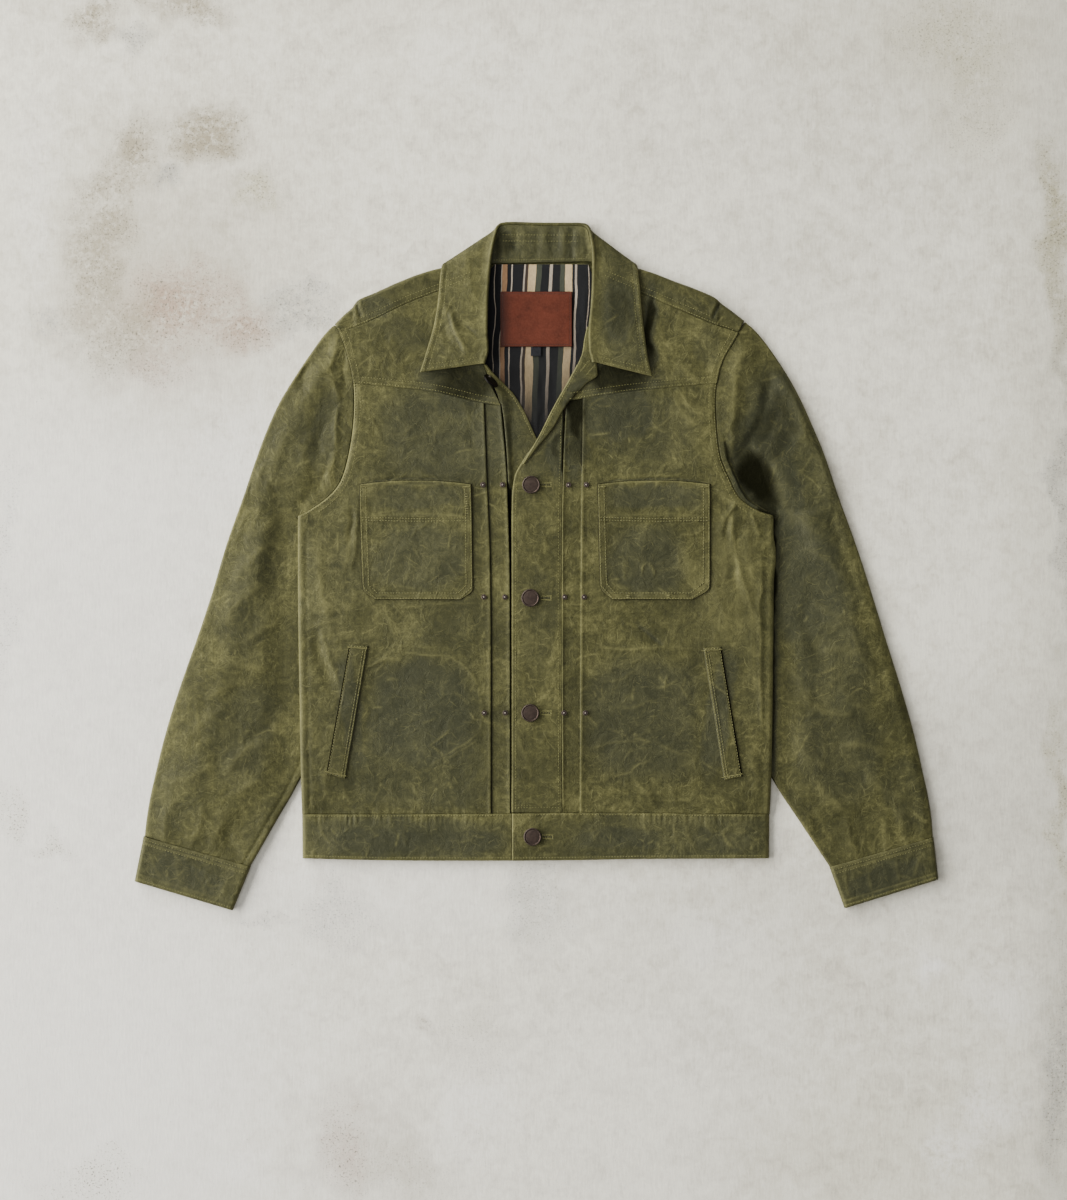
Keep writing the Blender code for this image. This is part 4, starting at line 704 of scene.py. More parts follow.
def shell(name, outer, inner, fields, every=4, wrap=False):
    """A closed shell: a fine outer face, a plainer inner one, and rims between them.

    With wrap, the columns run all round and the first follows the last."""
    rows, cols = outer.shape[:2]
    ids = np.arange(rows * cols).reshape(rows, cols)
    pick_r, pick_c = picked(rows, every), picked(cols, every)
    if wrap:
        pick_c = pick_c[:-1] if cols % every else np.arange(0, cols, every)
        pick_c = np.unique(np.append(pick_c, 0))
    coarse = inner[np.ix_(pick_r, pick_c)]
    low = rows * cols + np.arange(coarse.shape[0] * coarse.shape[1]).reshape(coarse.shape[:2])
    wide = np.hstack([ids, ids[:, :1]]) if wrap else ids
    wide_low = np.hstack([low, low[:, :1]]) if wrap else low
    top = np.stack([wide[:-1, :-1], wide[:-1, 1:], wide[1:, 1:], wide[1:, :-1]], -1).reshape(-1, 4)
    under = np.stack([wide_low[:-1, :-1], wide_low[1:, :-1], wide_low[1:, 1:], wide_low[:-1, 1:]], -1)
    faces = top.tolist() + under.reshape(-1, 4).tolist()
    ends_c = np.append(pick_c, cols) if wrap else pick_c

    def rim(chain, feet):
        faces.append([int(v) for v in chain][::-1] + [int(v) for v in feet])

    for a in range(len(ends_c) - 1):
        span = slice(ends_c[a], ends_c[a + 1] + 1)
        rim(wide[0, span], (wide_low[0, a], wide_low[0, a + 1]))
        rim(wide[-1, span][::-1], (wide_low[-1, a + 1], wide_low[-1, a]))
    if not wrap:
        for a in range(len(pick_r) - 1):
            span = slice(pick_r[a], pick_r[a + 1] + 1)
            rim(ids[span, 0][::-1], (low[a + 1, 0], low[a, 0]))
            rim(ids[span, -1], (low[a, -1], low[a + 1, -1]))
    corner = outer.reshape(-1, 3)[top]
    normal = np.cross(corner[:, 2] - corner[:, 0], corner[:, 3] - corner[:, 1])
    if (normal * (outer - inner).reshape(-1, 3)[top[:, 0]]).sum() < 0:
        faces = [face[::-1] for face in faces]
    both = {}
    for key, values in fields.items():
        values = np.broadcast_to(values, (rows, cols))
        both[key] = np.concatenate([values.ravel(), values[np.ix_(pick_r, pick_c)].ravel() * INNER_SHARE])
    return mesh_of(name, np.vstack([outer.reshape(-1, 3), coarse.reshape(-1, 3)]), faces, both)


# How an edge of a piece is finished: how far it drops, over what width, and how pale it is worn.
EDGES = {
    "turned": (0.7, 1.8, 0.55),
    "round": (1.7, 4.2, 0.46),
    "seam": (0.45, 1.3, 0.12),
    "flush": (0.30, 0.8, 0.0),
    "patch": (0.5, 1.3, 0.0),
    "plain": (0.0, 1.0, 0.0),
}


def finished(plan, z, pale, edges):
    """Edges rounded and worn: edges names the finish of first and last row, first and last column."""
    for distance, kind in zip(margins(plan), edges):
        drop, width, worn = EDGES[kind]
        z = z - drop * np.clip(1 - distance / width, 0, 1) ** 2
        pale = np.maximum(pale, worn * bell(distance, width * 0.75))
    return z, pale


def pucker(top, side, at, depth=0.22, ripple=0.14):
    """A stitched row beside an edge of a plan grid: a fine groove, and small puckers across it."""
    distance = margins(top)[side]
    along = margins(top)[2 if side < 2 else 0]
    top[..., 2] -= depth * bell(distance - at, 0.9)
    waves = cloudy(along, distance * 0.15, 4.6, 7) + 0.6 * cloudy(along, distance * 0.1, 9.5, 8)
    top[..., 2] += ripple * waves * np.exp(-np.abs(distance - at) / 5.0)


def worn_rows(plan, pale, rows, most):
    """Paleness along stitched rows: each is a side of the grid, a distance from it and, at times, a least y."""
    for side, at, *least in rows:
        distance = margins(plan)[side]
        along = margins(plan)[2 if side < 2 else 0]
        uneven = 0.60 + 0.45 * cloudy(along, distance * 0.3, 11, 9) + 0.30 * cloudy(along, distance, 4, 10)
        mark = most * np.clip(uneven, 0, 1) * bell(distance - at, 1.0)
        pale = np.maximum(pale, np.where(plan[..., 1] > least[0], mark, 0) if least else mark)
    return pale


def folded(name, grid, thick, fields, skip=None):
    """A closed shell about a folded middle surface, half the cloth to each side of it."""
    rows, cols = grid.shape[:2]
    ids = np.arange(rows * cols).reshape(rows, cols)
    cells = np.stack([ids[:-1, :-1], ids[:-1, 1:], ids[1:, 1:], ids[1:, :-1]], -1)
    cells = cells[~skip] if skip is not None else cells.reshape(-1, 4)
    used, compact = np.unique(cells, return_inverse=True)
    cells = compact.reshape(-1, 4)
    middle = grid.reshape(-1, 3)[used]
    corner = middle[cells]
    up = np.cross(corner[:, 2] - corner[:, 0], corner[:, 3] - corner[:, 1])
    up /= np.maximum(np.linalg.norm(up, axis=1), 1e-9)[:, None]
    normal = np.zeros_like(middle)
    for k in range(4):
        np.add.at(normal, cells[:, k], up)
    normal /= np.maximum(np.linalg.norm(normal, axis=1), 1e-9)[:, None]
    n = len(middle)
    sides = np.concatenate([cells[:, [k, (k + 1) % 4]] for k in range(4)])
    alone = sides[~np.isin(sides[:, 0] * n + sides[:, 1], sides[:, 1] * n + sides[:, 0])]
    half = np.full((n, 1), thick / 2)
    half[np.unique(alone)] *= 0.5
    points = np.vstack([middle + normal * half, middle - normal * half])
    rim = np.stack([alone[:, 0], alone[:, 0] + n, alone[:, 1] + n, alone[:, 1]], -1)
    faces = np.vstack([cells, cells[:, ::-1] + n, rim]).tolist()
    both = {key: np.tile(np.broadcast_to(values, (rows, cols)).ravel()[used], 2) for key, values in fields.items()}
    return mesh_of(name, points, faces, both)


# ---------------------------------------------------------------- materials
class Value:
    """A node's output, which adds, subtracts, multiplies and divides like a number."""

    def __init__(self, graph, socket):
        self.graph, self.socket = graph, socket

    def __add__(self, other):
        return self.graph.math("ADD", self, other)

    def __sub__(self, other):
        return self.graph.math("SUBTRACT", self, other)

    def __mul__(self, other):
        return self.graph.math("MULTIPLY", self, other)

    def __truediv__(self, other):
        return self.graph.math("DIVIDE", self, other)


class Graph:
    """A material, with short ways to add and join its nodes. Colours are given as three numbers."""

    def __init__(self, name):
        self.material = bpy.data.materials.new(name)
        self.material.use_nodes = True
        self.tree = self.material.node_tree
        self.shader = self.tree.nodes["Principled BSDF"]
        self.place = self.value("ShaderNodeTexCoord", out="Object")

    def plug(self, socket, value):
        if isinstance(value, Value):
            self.tree.links.new(value.socket, socket)
        else:
            socket.default_value = (*value, 1) if socket.type == "RGBA" else value

    def node(self, kind, inputs=(), **settings):
        made = self.tree.nodes.new(kind)
        for key, value in settings.items():
            setattr(made, key, value)
        for key, value in dict(inputs).items():
            self.plug(made.inputs[key], value)
        return made

    def value(self, kind, inputs=(), out=0, **settings):
        return Value(self, self.node(kind, inputs, **settings).outputs[out])

    def math(self, operation, a, b=0.0, clamp=False):
        return self.value("ShaderNodeMath", {0: a, 1: b}, operation=operation, use_clamp=clamp)

    def vector(self, operation, a, b):
        return self.value("ShaderNodeVectorMath", {0: a, 1: b}, operation=operation)

    def length(self, place):
        return self.value("ShaderNodeVectorMath", {0: place}, "Value", operation="LENGTH")

    def scaled(self, place, by):
        return self.value("ShaderNodeVectorMath", {0: place, 3: by}, operation="SCALE")

    def plan(self):
        """The x and the y of each place."""
        split = self.node("ShaderNodeSeparateXYZ", {0: self.place})
        return Value(self, split.outputs[0]), Value(self, split.outputs[1])

    def noise(self, place, scale, detail=3.0, rough=0.55, twist=0.0, out="Fac"):
        inputs = {"Vector": place, "Scale": scale, "Detail": detail, "Roughness": rough, "Distortion": twist}
        return self.value("ShaderNodeTexNoise", inputs, out)

    def drawn(self, place, scales, detail, rough):
        """Noise drawn out along one axis, by a scale for each."""
        return self.noise(self.vector("MULTIPLY", place, scales), 1.0, detail, rough)

    def wave(self, place, scale, bend, way="X", detail=2.0):
        inputs = {"Vector": place, "Scale": scale, "Distortion": bend, "Detail": detail}
        return self.value("ShaderNodeTexWave", inputs, "Fac", bands_direction=way)

    def weave(self, place, scale, bend, detail=2.0):
        """Yarns in both directions."""
        return self.wave(place, scale, bend, "X", detail) + self.wave(place, scale, bend, "Y", detail)

    def remap(self, value, low, high, to_low=0.0, to_high=1.0):
        inputs = {"Value": value, 1: low, 2: high, 3: to_low, 4: to_high}
        return self.value("ShaderNodeMapRange", inputs, interpolation_type="SMOOTHSTEP")

    def mix(self, share, a, b):
        return self.value("ShaderNodeMix", {0: share, 6: a, 7: b}, 2, data_type="RGBA")

    def ramp(self, value, *points, step=False):
        made = self.node("ShaderNodeValToRGB", {"Fac": value})
        if step:
            made.color_ramp.interpolation = "CONSTANT"
        elements = made.color_ramp.elements
        while len(elements) < len(points):
            elements.new(1.0)
        for element, (at, colour) in zip(elements, points):
            element.position = at
            element.color = (*colour, 1)
        return Value(self, made.outputs["Color"])

    def attribute(self, name):
        return self.value("ShaderNodeAttribute", out="Fac", attribute_name=name)

    def bump(self, height, distance, strength=1.0, normal=None):
        inputs = {"Height": height, "Distance": distance, "Strength": strength}
        if normal is not None:
            inputs["Normal"] = normal
        return self.value("ShaderNodeBump", inputs, "Normal")

    def finish(self, colour, rough, normal, **sockets):
        sockets.update(Base_Color=colour, Roughness=rough, Normal=normal)
        for key, value in sockets.items():
            self.plug(self.shader.inputs[key.replace("_", " ")], value)
        return self.material


OLIVE_DEEP = (0.0204, 0.0215, 0.0081)
OLIVE = (0.0396, 0.0397, 0.0140)
OLIVE_LIGHT = (0.0710, 0.0690, 0.0245)
OLIVE_PALE = (0.1544, 0.1464, 0.0565)
OLIVE_SHADE = (0.0040, 0.0040, 0.0018)
WAX_DARK = (0.0222, 0.0246, 0.0140)
WAX_GREY = (0.0322, 0.0345, 0.0190)
# Fine scratches: the turn of each kind, its length and width in metres, and the least noise that shows.
SCRATCHES = (
    (0.35, 0.017, 0.0015, 0.66), (1.25, 0.022, 0.0016, 0.66), (2, 0.014, 0.0014, 0.67),
    (2.75, 0.019, 0.0015, 0.67),
)


def waxed_cotton():
    """Olive canvas: clouded wax, scratched and pale where it has cracked, dark where it lies thick, and painted
    shade, near black, where its dark attribute goes above 1.
    """
    g = Graph("waxed_cotton")
    shift = g.attribute("shift")
    place = g.vector("ADD", g.place, g.value("ShaderNodeCombineXYZ", {0: shift, 1: shift}))
    warped = g.vector("ADD", place, g.scaled(g.noise(place, 22, 3, out="Color"), 0.030))
    cloud = g.noise(warped, 9, 4, 0.6, 0.5)
    mottle = g.noise(warped, 38, 7, 0.72, 0.6)
    blot = g.noise(warped, 150, 4, 0.65, 0.4)
    across, upward = g.drawn(place, (40, 420, 40), 3, 0.6), g.drawn(place, (420, 36, 40), 3, 0.6)
    grain = g.noise(place, 620, 2, 0.6)
    tone = cloud * 0.36 + mottle * 0.44 + (blot - 0.5) * 0.34
    tone = tone + (across * 0.07 + upward * 0.13) + (grain - 0.5) * 0.17
    colour = g.ramp(tone, (0.36, OLIVE_DEEP), (0.48, OLIVE), (0.57, OLIVE_LIGHT), (0.70, OLIVE_PALE))
    shade = g.attribute("dark")
    dark = g.math("MINIMUM", shade, 1.0) * g.remap(mottle, 0.25, 0.65, 1.0, 0.80)
    colour = g.mix(dark, colour, g.mix(g.remap(tone, 0.40, 0.62), WAX_DARK, WAX_GREY))

    scratches = None
    for turn, long, wide, least in SCRATCHES:
        inputs = {0: warped, 1: (turn, turn, 0), 2: (0, 0, turn), 3: (long, wide, long)}
        mapped = g.value("ShaderNodeMapping", inputs, vector_type="TEXTURE")
        one = g.remap(g.noise(mapped, 1.0, 1, 0.5, 0.3), least, least + 0.09)
        scratches = one if scratches is None else g.math("MAXIMUM", scratches, one)
    seams = g.math("ABSOLUTE", g.noise(warped, 46, 2, 0.5, 0.8) - 0.5)     # the edges between hills
    seams = g.remap(seams, 0.0, 0.011, 1.0, 0.0) * g.remap(g.noise(place, 34, 2), 0.54, 0.64)
    lines = g.math("MAXIMUM", scratches * 0.44, seams * 0.25)
    lines = lines * g.remap(cloud, 0.30, 0.60, 0.35, 1.0) * g.remap(dark, 0.0, 1.0, 1.0, 0.62)
    worn = g.attribute("pale") * g.remap(mottle, 0.3, 0.65, 0.55, 1.30)
    scuff = g.math("MAXIMUM", lines, worn, clamp=True)
    colour = g.mix(scuff, colour, OLIVE_PALE)
    # Painted shade: above 1, the dark attribute takes the colour towards near black.
    colour = g.mix(g.remap(shade, 1.0, 2.0), colour, OLIVE_SHADE)

    normal = g.bump(g.noise(warped, 95, 4, 0.6, 0.4), 0.0013, 0.60)
    normal = g.bump(mottle, 0.0024, 0.45, normal)
    normal = g.bump(lines, 0.0004, 0.5, normal)
    normal = g.bump(g.weave(place, 320.0, 1.2, 1.0) * 0.5 + grain, 0.00016, 0.6, normal)
    rough = g.remap(mottle, 0.3, 0.7, 0.48, 0.64) + scuff * 0.12 - dark * 0.06
    return g.finish(
        colour, rough, normal,
        Specular_IOR_Level=g.remap(shade, 1.0, 1.9, 0.30, 0.02), Specular_Tint=(1.0, 0.95, 0.62),
    )


def thread(name, colour):
    """Twisted thread, seen as short light and dark turns."""
    g = Graph(name)
    shade = tuple(0.62 * c for c in colour)
    return g.finish(
        g.mix(g.remap(g.noise(g.place, 700, 2), 0.3, 0.7), shade, colour), 0.75,
        g.bump(g.wave(g.place, 900.0, 2.0, "DIAGONAL"), 0.00012, 0.6),
        Specular_IOR_Level=0.25, Sheen_Weight=0.15, Sheen_Roughness=0.5,
    )


# The lining's stripes: the x at which each begins, in millimetres, and the number of its colour.
INK, CREAM, TAN = (0.0050, 0.0052, 0.0062), (0.60, 0.450, 0.250), (0.300, 0.170, 0.085)
MOSS, CHALK, RUST = (0.050, 0.055, 0.036), (0.42, 0.350, 0.270), (0.044, 0.028, 0.018)
STRIPES = table(
    "x kind",
    (-62, 0), (-47, 4), (-46.2, 0), (-39.4, 4), (-38.6, 2), (-33, 0), (-28.6, 4), (-27.5, 0), (-15.3, 4),
    (-13.4, 5), (-9.7, 1), (-1.3, 3), (5, 0), (13.8, 4), (17.2, 0), (26, 3), (31.6, 1), (40, 0), (42.8, 4),
    (45.2, 0), (58, 4), (59, 0),
)
STRIPE_COLOURS = (INK, CREAM, TAN, MOSS, CHALK, RUST)


def striped_lining():
    """Plain-woven cotton with long stripes, each a little uneven at its edges."""
    g = Graph("lining_cotton")
    start, width = -62.0, 124.0
    x, y = g.plan()
    wander = (g.noise(g.place, 16, 2) - 0.5) * 0.009
    lean = (y - 0.322) * -0.030
    share = (x + wander + lean - start * MM) / (width * MM)
    stripes = [((row["x"] - start) / width, STRIPE_COLOURS[int(row["kind"])]) for row in rows_of(STRIPES)]
    colour = g.ramp(share, *stripes, step=True)
    slub = g.drawn(g.place, (1400, 240, 1), 3, 0.7)
    colour = g.mix(g.remap(slub, 0.25, 0.75, 0.0, 0.62), colour, g.mix(0.5, colour, INK))
    # Painted shade: the dark attribute takes the stripes towards black.
    colour = g.mix(g.attribute("dark"), colour, (0.002, 0.002, 0.002))
    aged = g.drawn(g.place, (60, 22, 1), 4, 0.6)
    colour = g.mix(g.remap(aged, 0.35, 0.70, 0.0, 0.45), colour, g.mix(0.6, colour, INK))
    normal = g.bump(g.noise(g.place, 60, 3), 0.0012, 0.4)
    normal = g.bump(g.weave(g.place, 420.0, 1.0), 0.00012, 0.6, normal)
    return g.finish(colour, 0.86, normal, Specular_IOR_Level=0.2, Sheen_Weight=0.1)


def label_leather():
    """Red-brown leather: pores, soft cloudiness, darker towards the edges, with painted shadow over one side."""
    g = Graph("label_leather")
    cloud = g.noise(g.place, 60, 5, 0.6, 0.5)
    colour = g.ramp(
        cloud, (0.3, (0.050, 0.010, 0.0045)), (0.5, (0.074, 0.015, 0.007)), (0.72, (0.098, 0.022, 0.011))
    )
    rubbed = g.remap(g.noise(g.place, 420, 5, 0.7), 0.35, 0.75, 0.0, 0.45)
    colour = g.mix(rubbed, colour, (0.125, 0.034, 0.018))
    # The pale attribute darkens it: towards its edges, and painted shadow over the side towards -x.
    colour = g.mix(g.attribute("pale"), colour, (0.018, 0.005, 0.004))
    pores = g.value("ShaderNodeTexVoronoi", {"Vector": g.place, "Scale": 1500.0}, "Distance")
    normal = g.bump(pores, 0.00022, 0.5, g.bump(g.noise(g.place, 190, 4, 0.6), 0.0006, 0.4))
    rough = g.remap(cloud, 0.3, 0.7, 0.50, 0.66)
    return g.finish(colour, rough, normal, Specular_IOR_Level=0.25, Specular_Tint=(1.0, 0.8, 0.7))


def tab_cotton():
    """Tightly woven navy tape."""
    g = Graph("tab_cotton")
    colour = g.mix(g.remap(g.noise(g.place, 500, 2), 0.3, 0.7), (0.003, 0.003, 0.005), (0.006, 0.007, 0.011))
    ribs = g.wave(g.place, 620.0, 0.6, "Y")
    return g.finish(colour, 0.72, g.bump(ribs, 0.00012, 0.7), Specular_IOR_Level=0.3)


def antique_metal():
    """Dark copper-brown plated metal, rubbed on its raised rims, with a painted glint and painted shade where a
    piece is given them.
    """
    g = Graph("antique_metal")
    cloud, pits = g.noise(g.place, 260, 4, 0.6, 0.4), g.noise(g.place, 1400, 3, 0.6)
    colour = g.ramp(
        cloud, (0.3, (0.024, 0.0152, 0.0115)), (0.55, (0.042, 0.0272, 0.0205)), (0.8, (0.060, 0.042, 0.031))
    )
    # Pale: the rubbed rims, and a painted glint.
    colour = g.mix(g.attribute("pale"), colour, (0.62, 0.56, 0.50))
    # Painted shade: the dark attribute takes it towards black.
    colour = g.mix(g.attribute("dark"), colour, (0.001, 0.001, 0.001))
    rough = g.remap(pits, 0.3, 0.7, 0.36, 0.52)
    return g.finish(colour, rough, g.bump(pits, 0.00006, 0.6), Metallic=0.75, Specular_IOR_Level=0.4)


WAXED = waxed_cotton()
LINED = striped_lining()
HIDE = label_leather()
TAPE = tab_cotton()
METAL = antique_metal()
THREAD = thread("olive_thread", (0.20, 0.190, 0.062))
# Near-black bars for the shade inside the buttonholes' slits: painted shade.
SLOT_SHADE_BARS = thread("slot_shade", (0.006, 0.006, 0.003))
LABEL_THREAD = thread("label_thread", (0.045, 0.014, 0.009))
SHIFTS = {}         # how far into the waxed cloth each cut piece lies, in metres


def dress(piece, material, *nodes):
    """Material, body and the solids that a piece stands for."""
    piece.data.materials.append(material)
    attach(piece, "root")
    if nodes:
        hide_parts(*nodes)
    return piece


LEAST_CLOTH = 0.35  # between a wall's faces, where a crease is deep


def fields_of(pale, dark, name):
    """The attributes that the waxed cotton reads, with each cut piece's own share of the cloth."""
    shift = SHIFTS.setdefault(name, 0.37 * (len(SHIFTS) + 1))
    return {"pale": pale, "dark": dark, "shift": shift}


def cloth(
    name, node, outer, low_z, region, edges, pale=0.0, rows=(), shade=0.0, every=4, rests="back_panel", worn=0.36,
):
    """A piece of cloth over a plan grid: x, y and top, dressed."""
    x, y, z = outer[..., 0], outer[..., 1], outer[..., 2]
    high, light, dark = wear_and_shade(x, y, region)
    light = worn_rows(outer, np.maximum(light, pale), rows, worn)
    z, light = finished(outer, np.maximum(z + high, low_z + LEAST_CLOTH), light, edges)
    inner = np.dstack([x, y, np.broadcast_to(low_z, x.shape)])
    fields = fields_of(light, np.maximum(dark, shade), name)
    sew(shell(name, np.dstack([x, y, z]), inner, fields, every), WAXED, rests, node)


def sew(piece, material, rests, *nodes):
    """The piece dressed; rests, the piece that it lies on, is not used."""
    dress(piece, material, *nodes)


# The flat cut of what shows of each cloth piece, in metres: width, length and area.
CUTS = {
    "front_right_cloth": (0.245, 0.490, 0.106), "front_left_cloth": (0.245, 0.490, 0.106),
    "front_yoke_right_cloth": (0.185, 0.145, 0.0155), "front_yoke_left_cloth": (0.190, 0.145, 0.0152),
    "front_band_right_cloth": (0.090, 0.505, 0.0262), "front_band_left_cloth": (0.086, 0.505, 0.0252),
    "front_facing_left_cloth": (0.030, 0.150, 0.0024),
    "waistband_front_right_cloth": (0.290, 0.053, 0.01537), "waistband_front_left_cloth": (0.290, 0.053, 0.01537),
    "waistband_back_cloth": (0.527, 0.053, 0.0279), "back_panel_cloth": (0.540, 0.455, 0.228),
    "back_yoke_cloth": (0.475, 0.245, 0.0755),
    "sleeve_right_cloth": (0.315, 0.640, 0.160), "sleeve_left_cloth": (0.320, 0.645, 0.165),
    "cuff_right_cloth": (0.252, 0.050, 0.0126), "cuff_left_cloth": (0.246, 0.048, 0.0118),
    "collar_fall_cloth": (0.470, 0.110, 0.0300), "collar_stand_cloth": (0.440, 0.046, 0.0070),
    "lining_back_cloth": (0.128, 0.205, 0.0210),
    "chest_pocket_right_cloth": (0.128, 0.135, 0.0166), "chest_pocket_left_cloth": (0.127, 0.135, 0.0165),
    "welt_pocket_right_cloth": (0.022, 0.152, 0.00334), "welt_pocket_left_cloth": (0.021, 0.152, 0.00319),
    "size_tab_tape": (0.012, 0.0102, 0.000122),
}

SEAM_R_IN = seam_points(ARMHOLE_R, 1)
SEAM_L_IN = seam_points(ARMHOLE_L, -1)


def waist_line(x):
    """The lower edge of the fronts and the back."""
    return y_at(WAIST, x) + HALF_SEAM


# ---------------------------------------------------------------- fronts
# The section of a pleat's fold, towards the centre front: step from its line and rise,
# and the rise of the wall's underside.
FOLD_ONE = table(
    "step rise low", (-5, 0.25, -2), (-2.2, 0.75, -1.9), (-0.9, 0.8, -1.8), (-0.2, 0.55, -1.8), (0.1, 0.1, -1.8),
    (-0.7, -0.2, -1.9), (-1, -0.8, -2.2), (0.2, -1.15, -2.8), (1.8, -1, -3),
)
FOLD_TWO = table(
    "step rise low",
    (-4.5, -0.4, -2.6), (-2, 0.2, -2), (-1, 0.35, -2), (-0.5, 0.2, -2), (-0.3, -0.2, -2),
)


def front(side):
    """The front panel: a folded side edge, two pleats, the worn places and painted shade of its region, and painted
    highlights along its pleats.
    """
    right = side == "right"
    sign = 1 if right else -1
    seam, side_line = (SEAM_R_IN, SIDE_R) if right else (SEAM_L_IN, SIDE_L)
    outer = np.vstack([stations(seam, 55, 205), on_line(side_line, SIDE_YS)])
    outer[0, 1] -= HALF_SEAM
    yoke_rows = YOKE_R if right else YOKE_L
    ramp = line(RAMP_R if right else RAMP_L)
    fold_one, fold_two = (line(PLEAT_R1), line(PLEAT_R2)) if right else (line(PLEAT_L1), line(PLEAT_L2))
    guides = [
        lambda y: ramp(y) + sign * 7, lambda y: ramp(y) + sign * (RAMP + 10), lambda y: fold_one(y) - sign * 14
    ]
    rises, lows = [0, 0, 0, 0], [-2, -2, -2, -2]
    for fold, rows in ((fold_one, FOLD_ONE), (fold_two, FOLD_TWO)):
        for row in rows_of(rows):
            guides.append(lambda y, fold=fold, step=row["step"]: fold(y) + sign * step)
            rises.append(row["rise"])
            lows.append(row["low"])
    lines = guide_rows(outer, guides, lambda x: y_at(yoke_rows, x) - HALF_SEAM, waist_line)
    columns = [np.insert(points, [2, 2], (rise, low), axis=1) for points, rise, low in zip(lines, rises, lows)]
    grid = dense(np.stack(columns, 1))
    x, y = grid[..., 0], grid[..., 1]
    base = front_top(x, y)
    top = np.dstack([x, y, base + grid[..., 2]])
    pucker(top, 1, 3.0, 0.15, 0.25)
    pucker(top, 0, 3.0, 0.15, 0.12)
    # Painted highlight along the crest of each pleat's fold, weaker on the right front, whose folds face away from
    # the light; the worn pale band along the side edge joins it.
    painted_shine_and_worn_band = 0.30 * bell(grid[..., 2] - 0.8, 0.18)
    side_band = margins(top)[2]
    band_pale = 0.22 * ease(-side_band, -9, -5) * (0.75 + 0.4 * cloudy(x * 2, y, 17, 81)) * (y < 54)
    top[..., 2] -= (0.45 if right else 0.15) * bell(side_band - 9.5, 2.4) * (y < 40)
    away_one, away_two, high_up = sign * (x - fold_one(y)), sign * (x - fold_two(y)), ease(y, 98, 114)
    # slit: painted shade, near black, in the first pleat's fold.
    slit = 1.95 * (1 - ease(np.abs(away_one - 0.4), 0.4, 0.95)) * (grid[..., 2] < -0.6)
    if right:
        painted_shine_and_worn_band = 0.4 * painted_shine_and_worn_band
    else:
        # On the left front the slit's painted shade lies only above y 98, where the collar shades it, and the
        # painted highlight is weakened there; below, a painted highlight runs along the second fold.
        slit = 1.8 * bell(away_one - 0.1, 0.9) * high_up
        painted_shine_and_worn_band = painted_shine_and_worn_band * (1 - 0.8 * high_up)
        painted_shine_and_worn_band = np.maximum(painted_shine_and_worn_band, 0.42 * bell(away_two + 1.0, 0.5) * (1 - high_up))
    painted_shine_and_worn_band = np.maximum(painted_shine_and_worn_band, band_pale)
    cloth(
        f"front_{side}_cloth", f"front_{side}", top, base + grid[..., 3], "body",
        ("flush", "seam", "round", "plain"), painted_shine_and_worn_band, rows=((2, 1.8, 56), (2, 7.5, 60)), shade=slit, worn=0.28,
    )


front("right")
front("left")


def forward_seam(side):
    """Points of the forward shoulder seam, outwards from the neck, as the yoke meets it."""
    forward, seam, sign = (FORWARD_R, SEAM_R_IN, -1) if side == "right" else (FORWARD_L, SEAM_L_IN, 1)
    points = [(sign * x, float(y_at(forward, sign * x))) for x in YOKE_XS[:-2]]
    points.append((sign * 215, float(y_at(forward, sign * 215))))
    points.append((seam[0, 0], seam[0, 1] + 0.4))
    return np.array(points)


YOKE_XS = [75, 90, 108, 130, 155, 180, 200.5, 206.5, 216, 226]
YOKE_YS = [302, 276, 262, 248, 234, 219, 205, 188, YOKE_SEAM_BACK + 0.2]


def front_yoke(side):
    """Between the forward shoulder seam, the armhole, the yoke seam and the neck."""
    right = side == "right"
    arm = stations(SEAM_R_IN if right else SEAM_L_IN, 205, 262)
    low, neck = (YOKE_R, YOKE_NECK_R) if right else (YOKE_L, YOKE_NECK_L)
    head = forward_seam(side)[::-1] - np.array([0, 2 * HALF_SEAM])
    head[0] = arm[0]
    cols, rows = len(head), len(arm)
    foot_x = np.linspace(arm[-1, 0], x_at(neck, neck["y"][-1]), cols)
    foot = np.column_stack([foot_x, y_at(low, foot_x) + HALF_SEAM])
    arm[-1] = foot[0]
    ys = np.linspace(head[-1, 1], foot[-1, 1], rows)
    edge = np.column_stack([x_at(neck, ys), ys])
    head[-1] = edge[0]
    s, t = np.linspace(0, 1, cols)[None, :, None], np.linspace(0, 1, rows)[:, None, None]
    plan = (1 - t) * head[None] + t * foot[None] + (1 - s) * arm[:, None] + s * edge[:, None]
    plan -= (1 - t) * ((1 - s) * head[0] + s * head[-1]) + t * ((1 - s) * foot[0] + s * foot[-1])
    grid = dense(plan)
    base = np.minimum(front_top(grid[..., 0], grid[..., 1]), FRONT_TOP + 0.4)
    top = np.dstack([grid, base])
    pucker(top, 1, 2.0, 0.12, 0.12)
    pucker(top, 2, 2.0, 0.15, 0.12)
    cloth(
        f"front_yoke_{side}_cloth", f"front_yoke_{side}", top, base - 1.8, "yoke",
        ("flush", "flush", "seam", "plain"),
        rows=((2, 1.8), (2, 7.5), (1, 2.0), (1, 8.0)), rests="back_yoke", worn=0.24,
    )


front_yoke("right")
front_yoke("left")


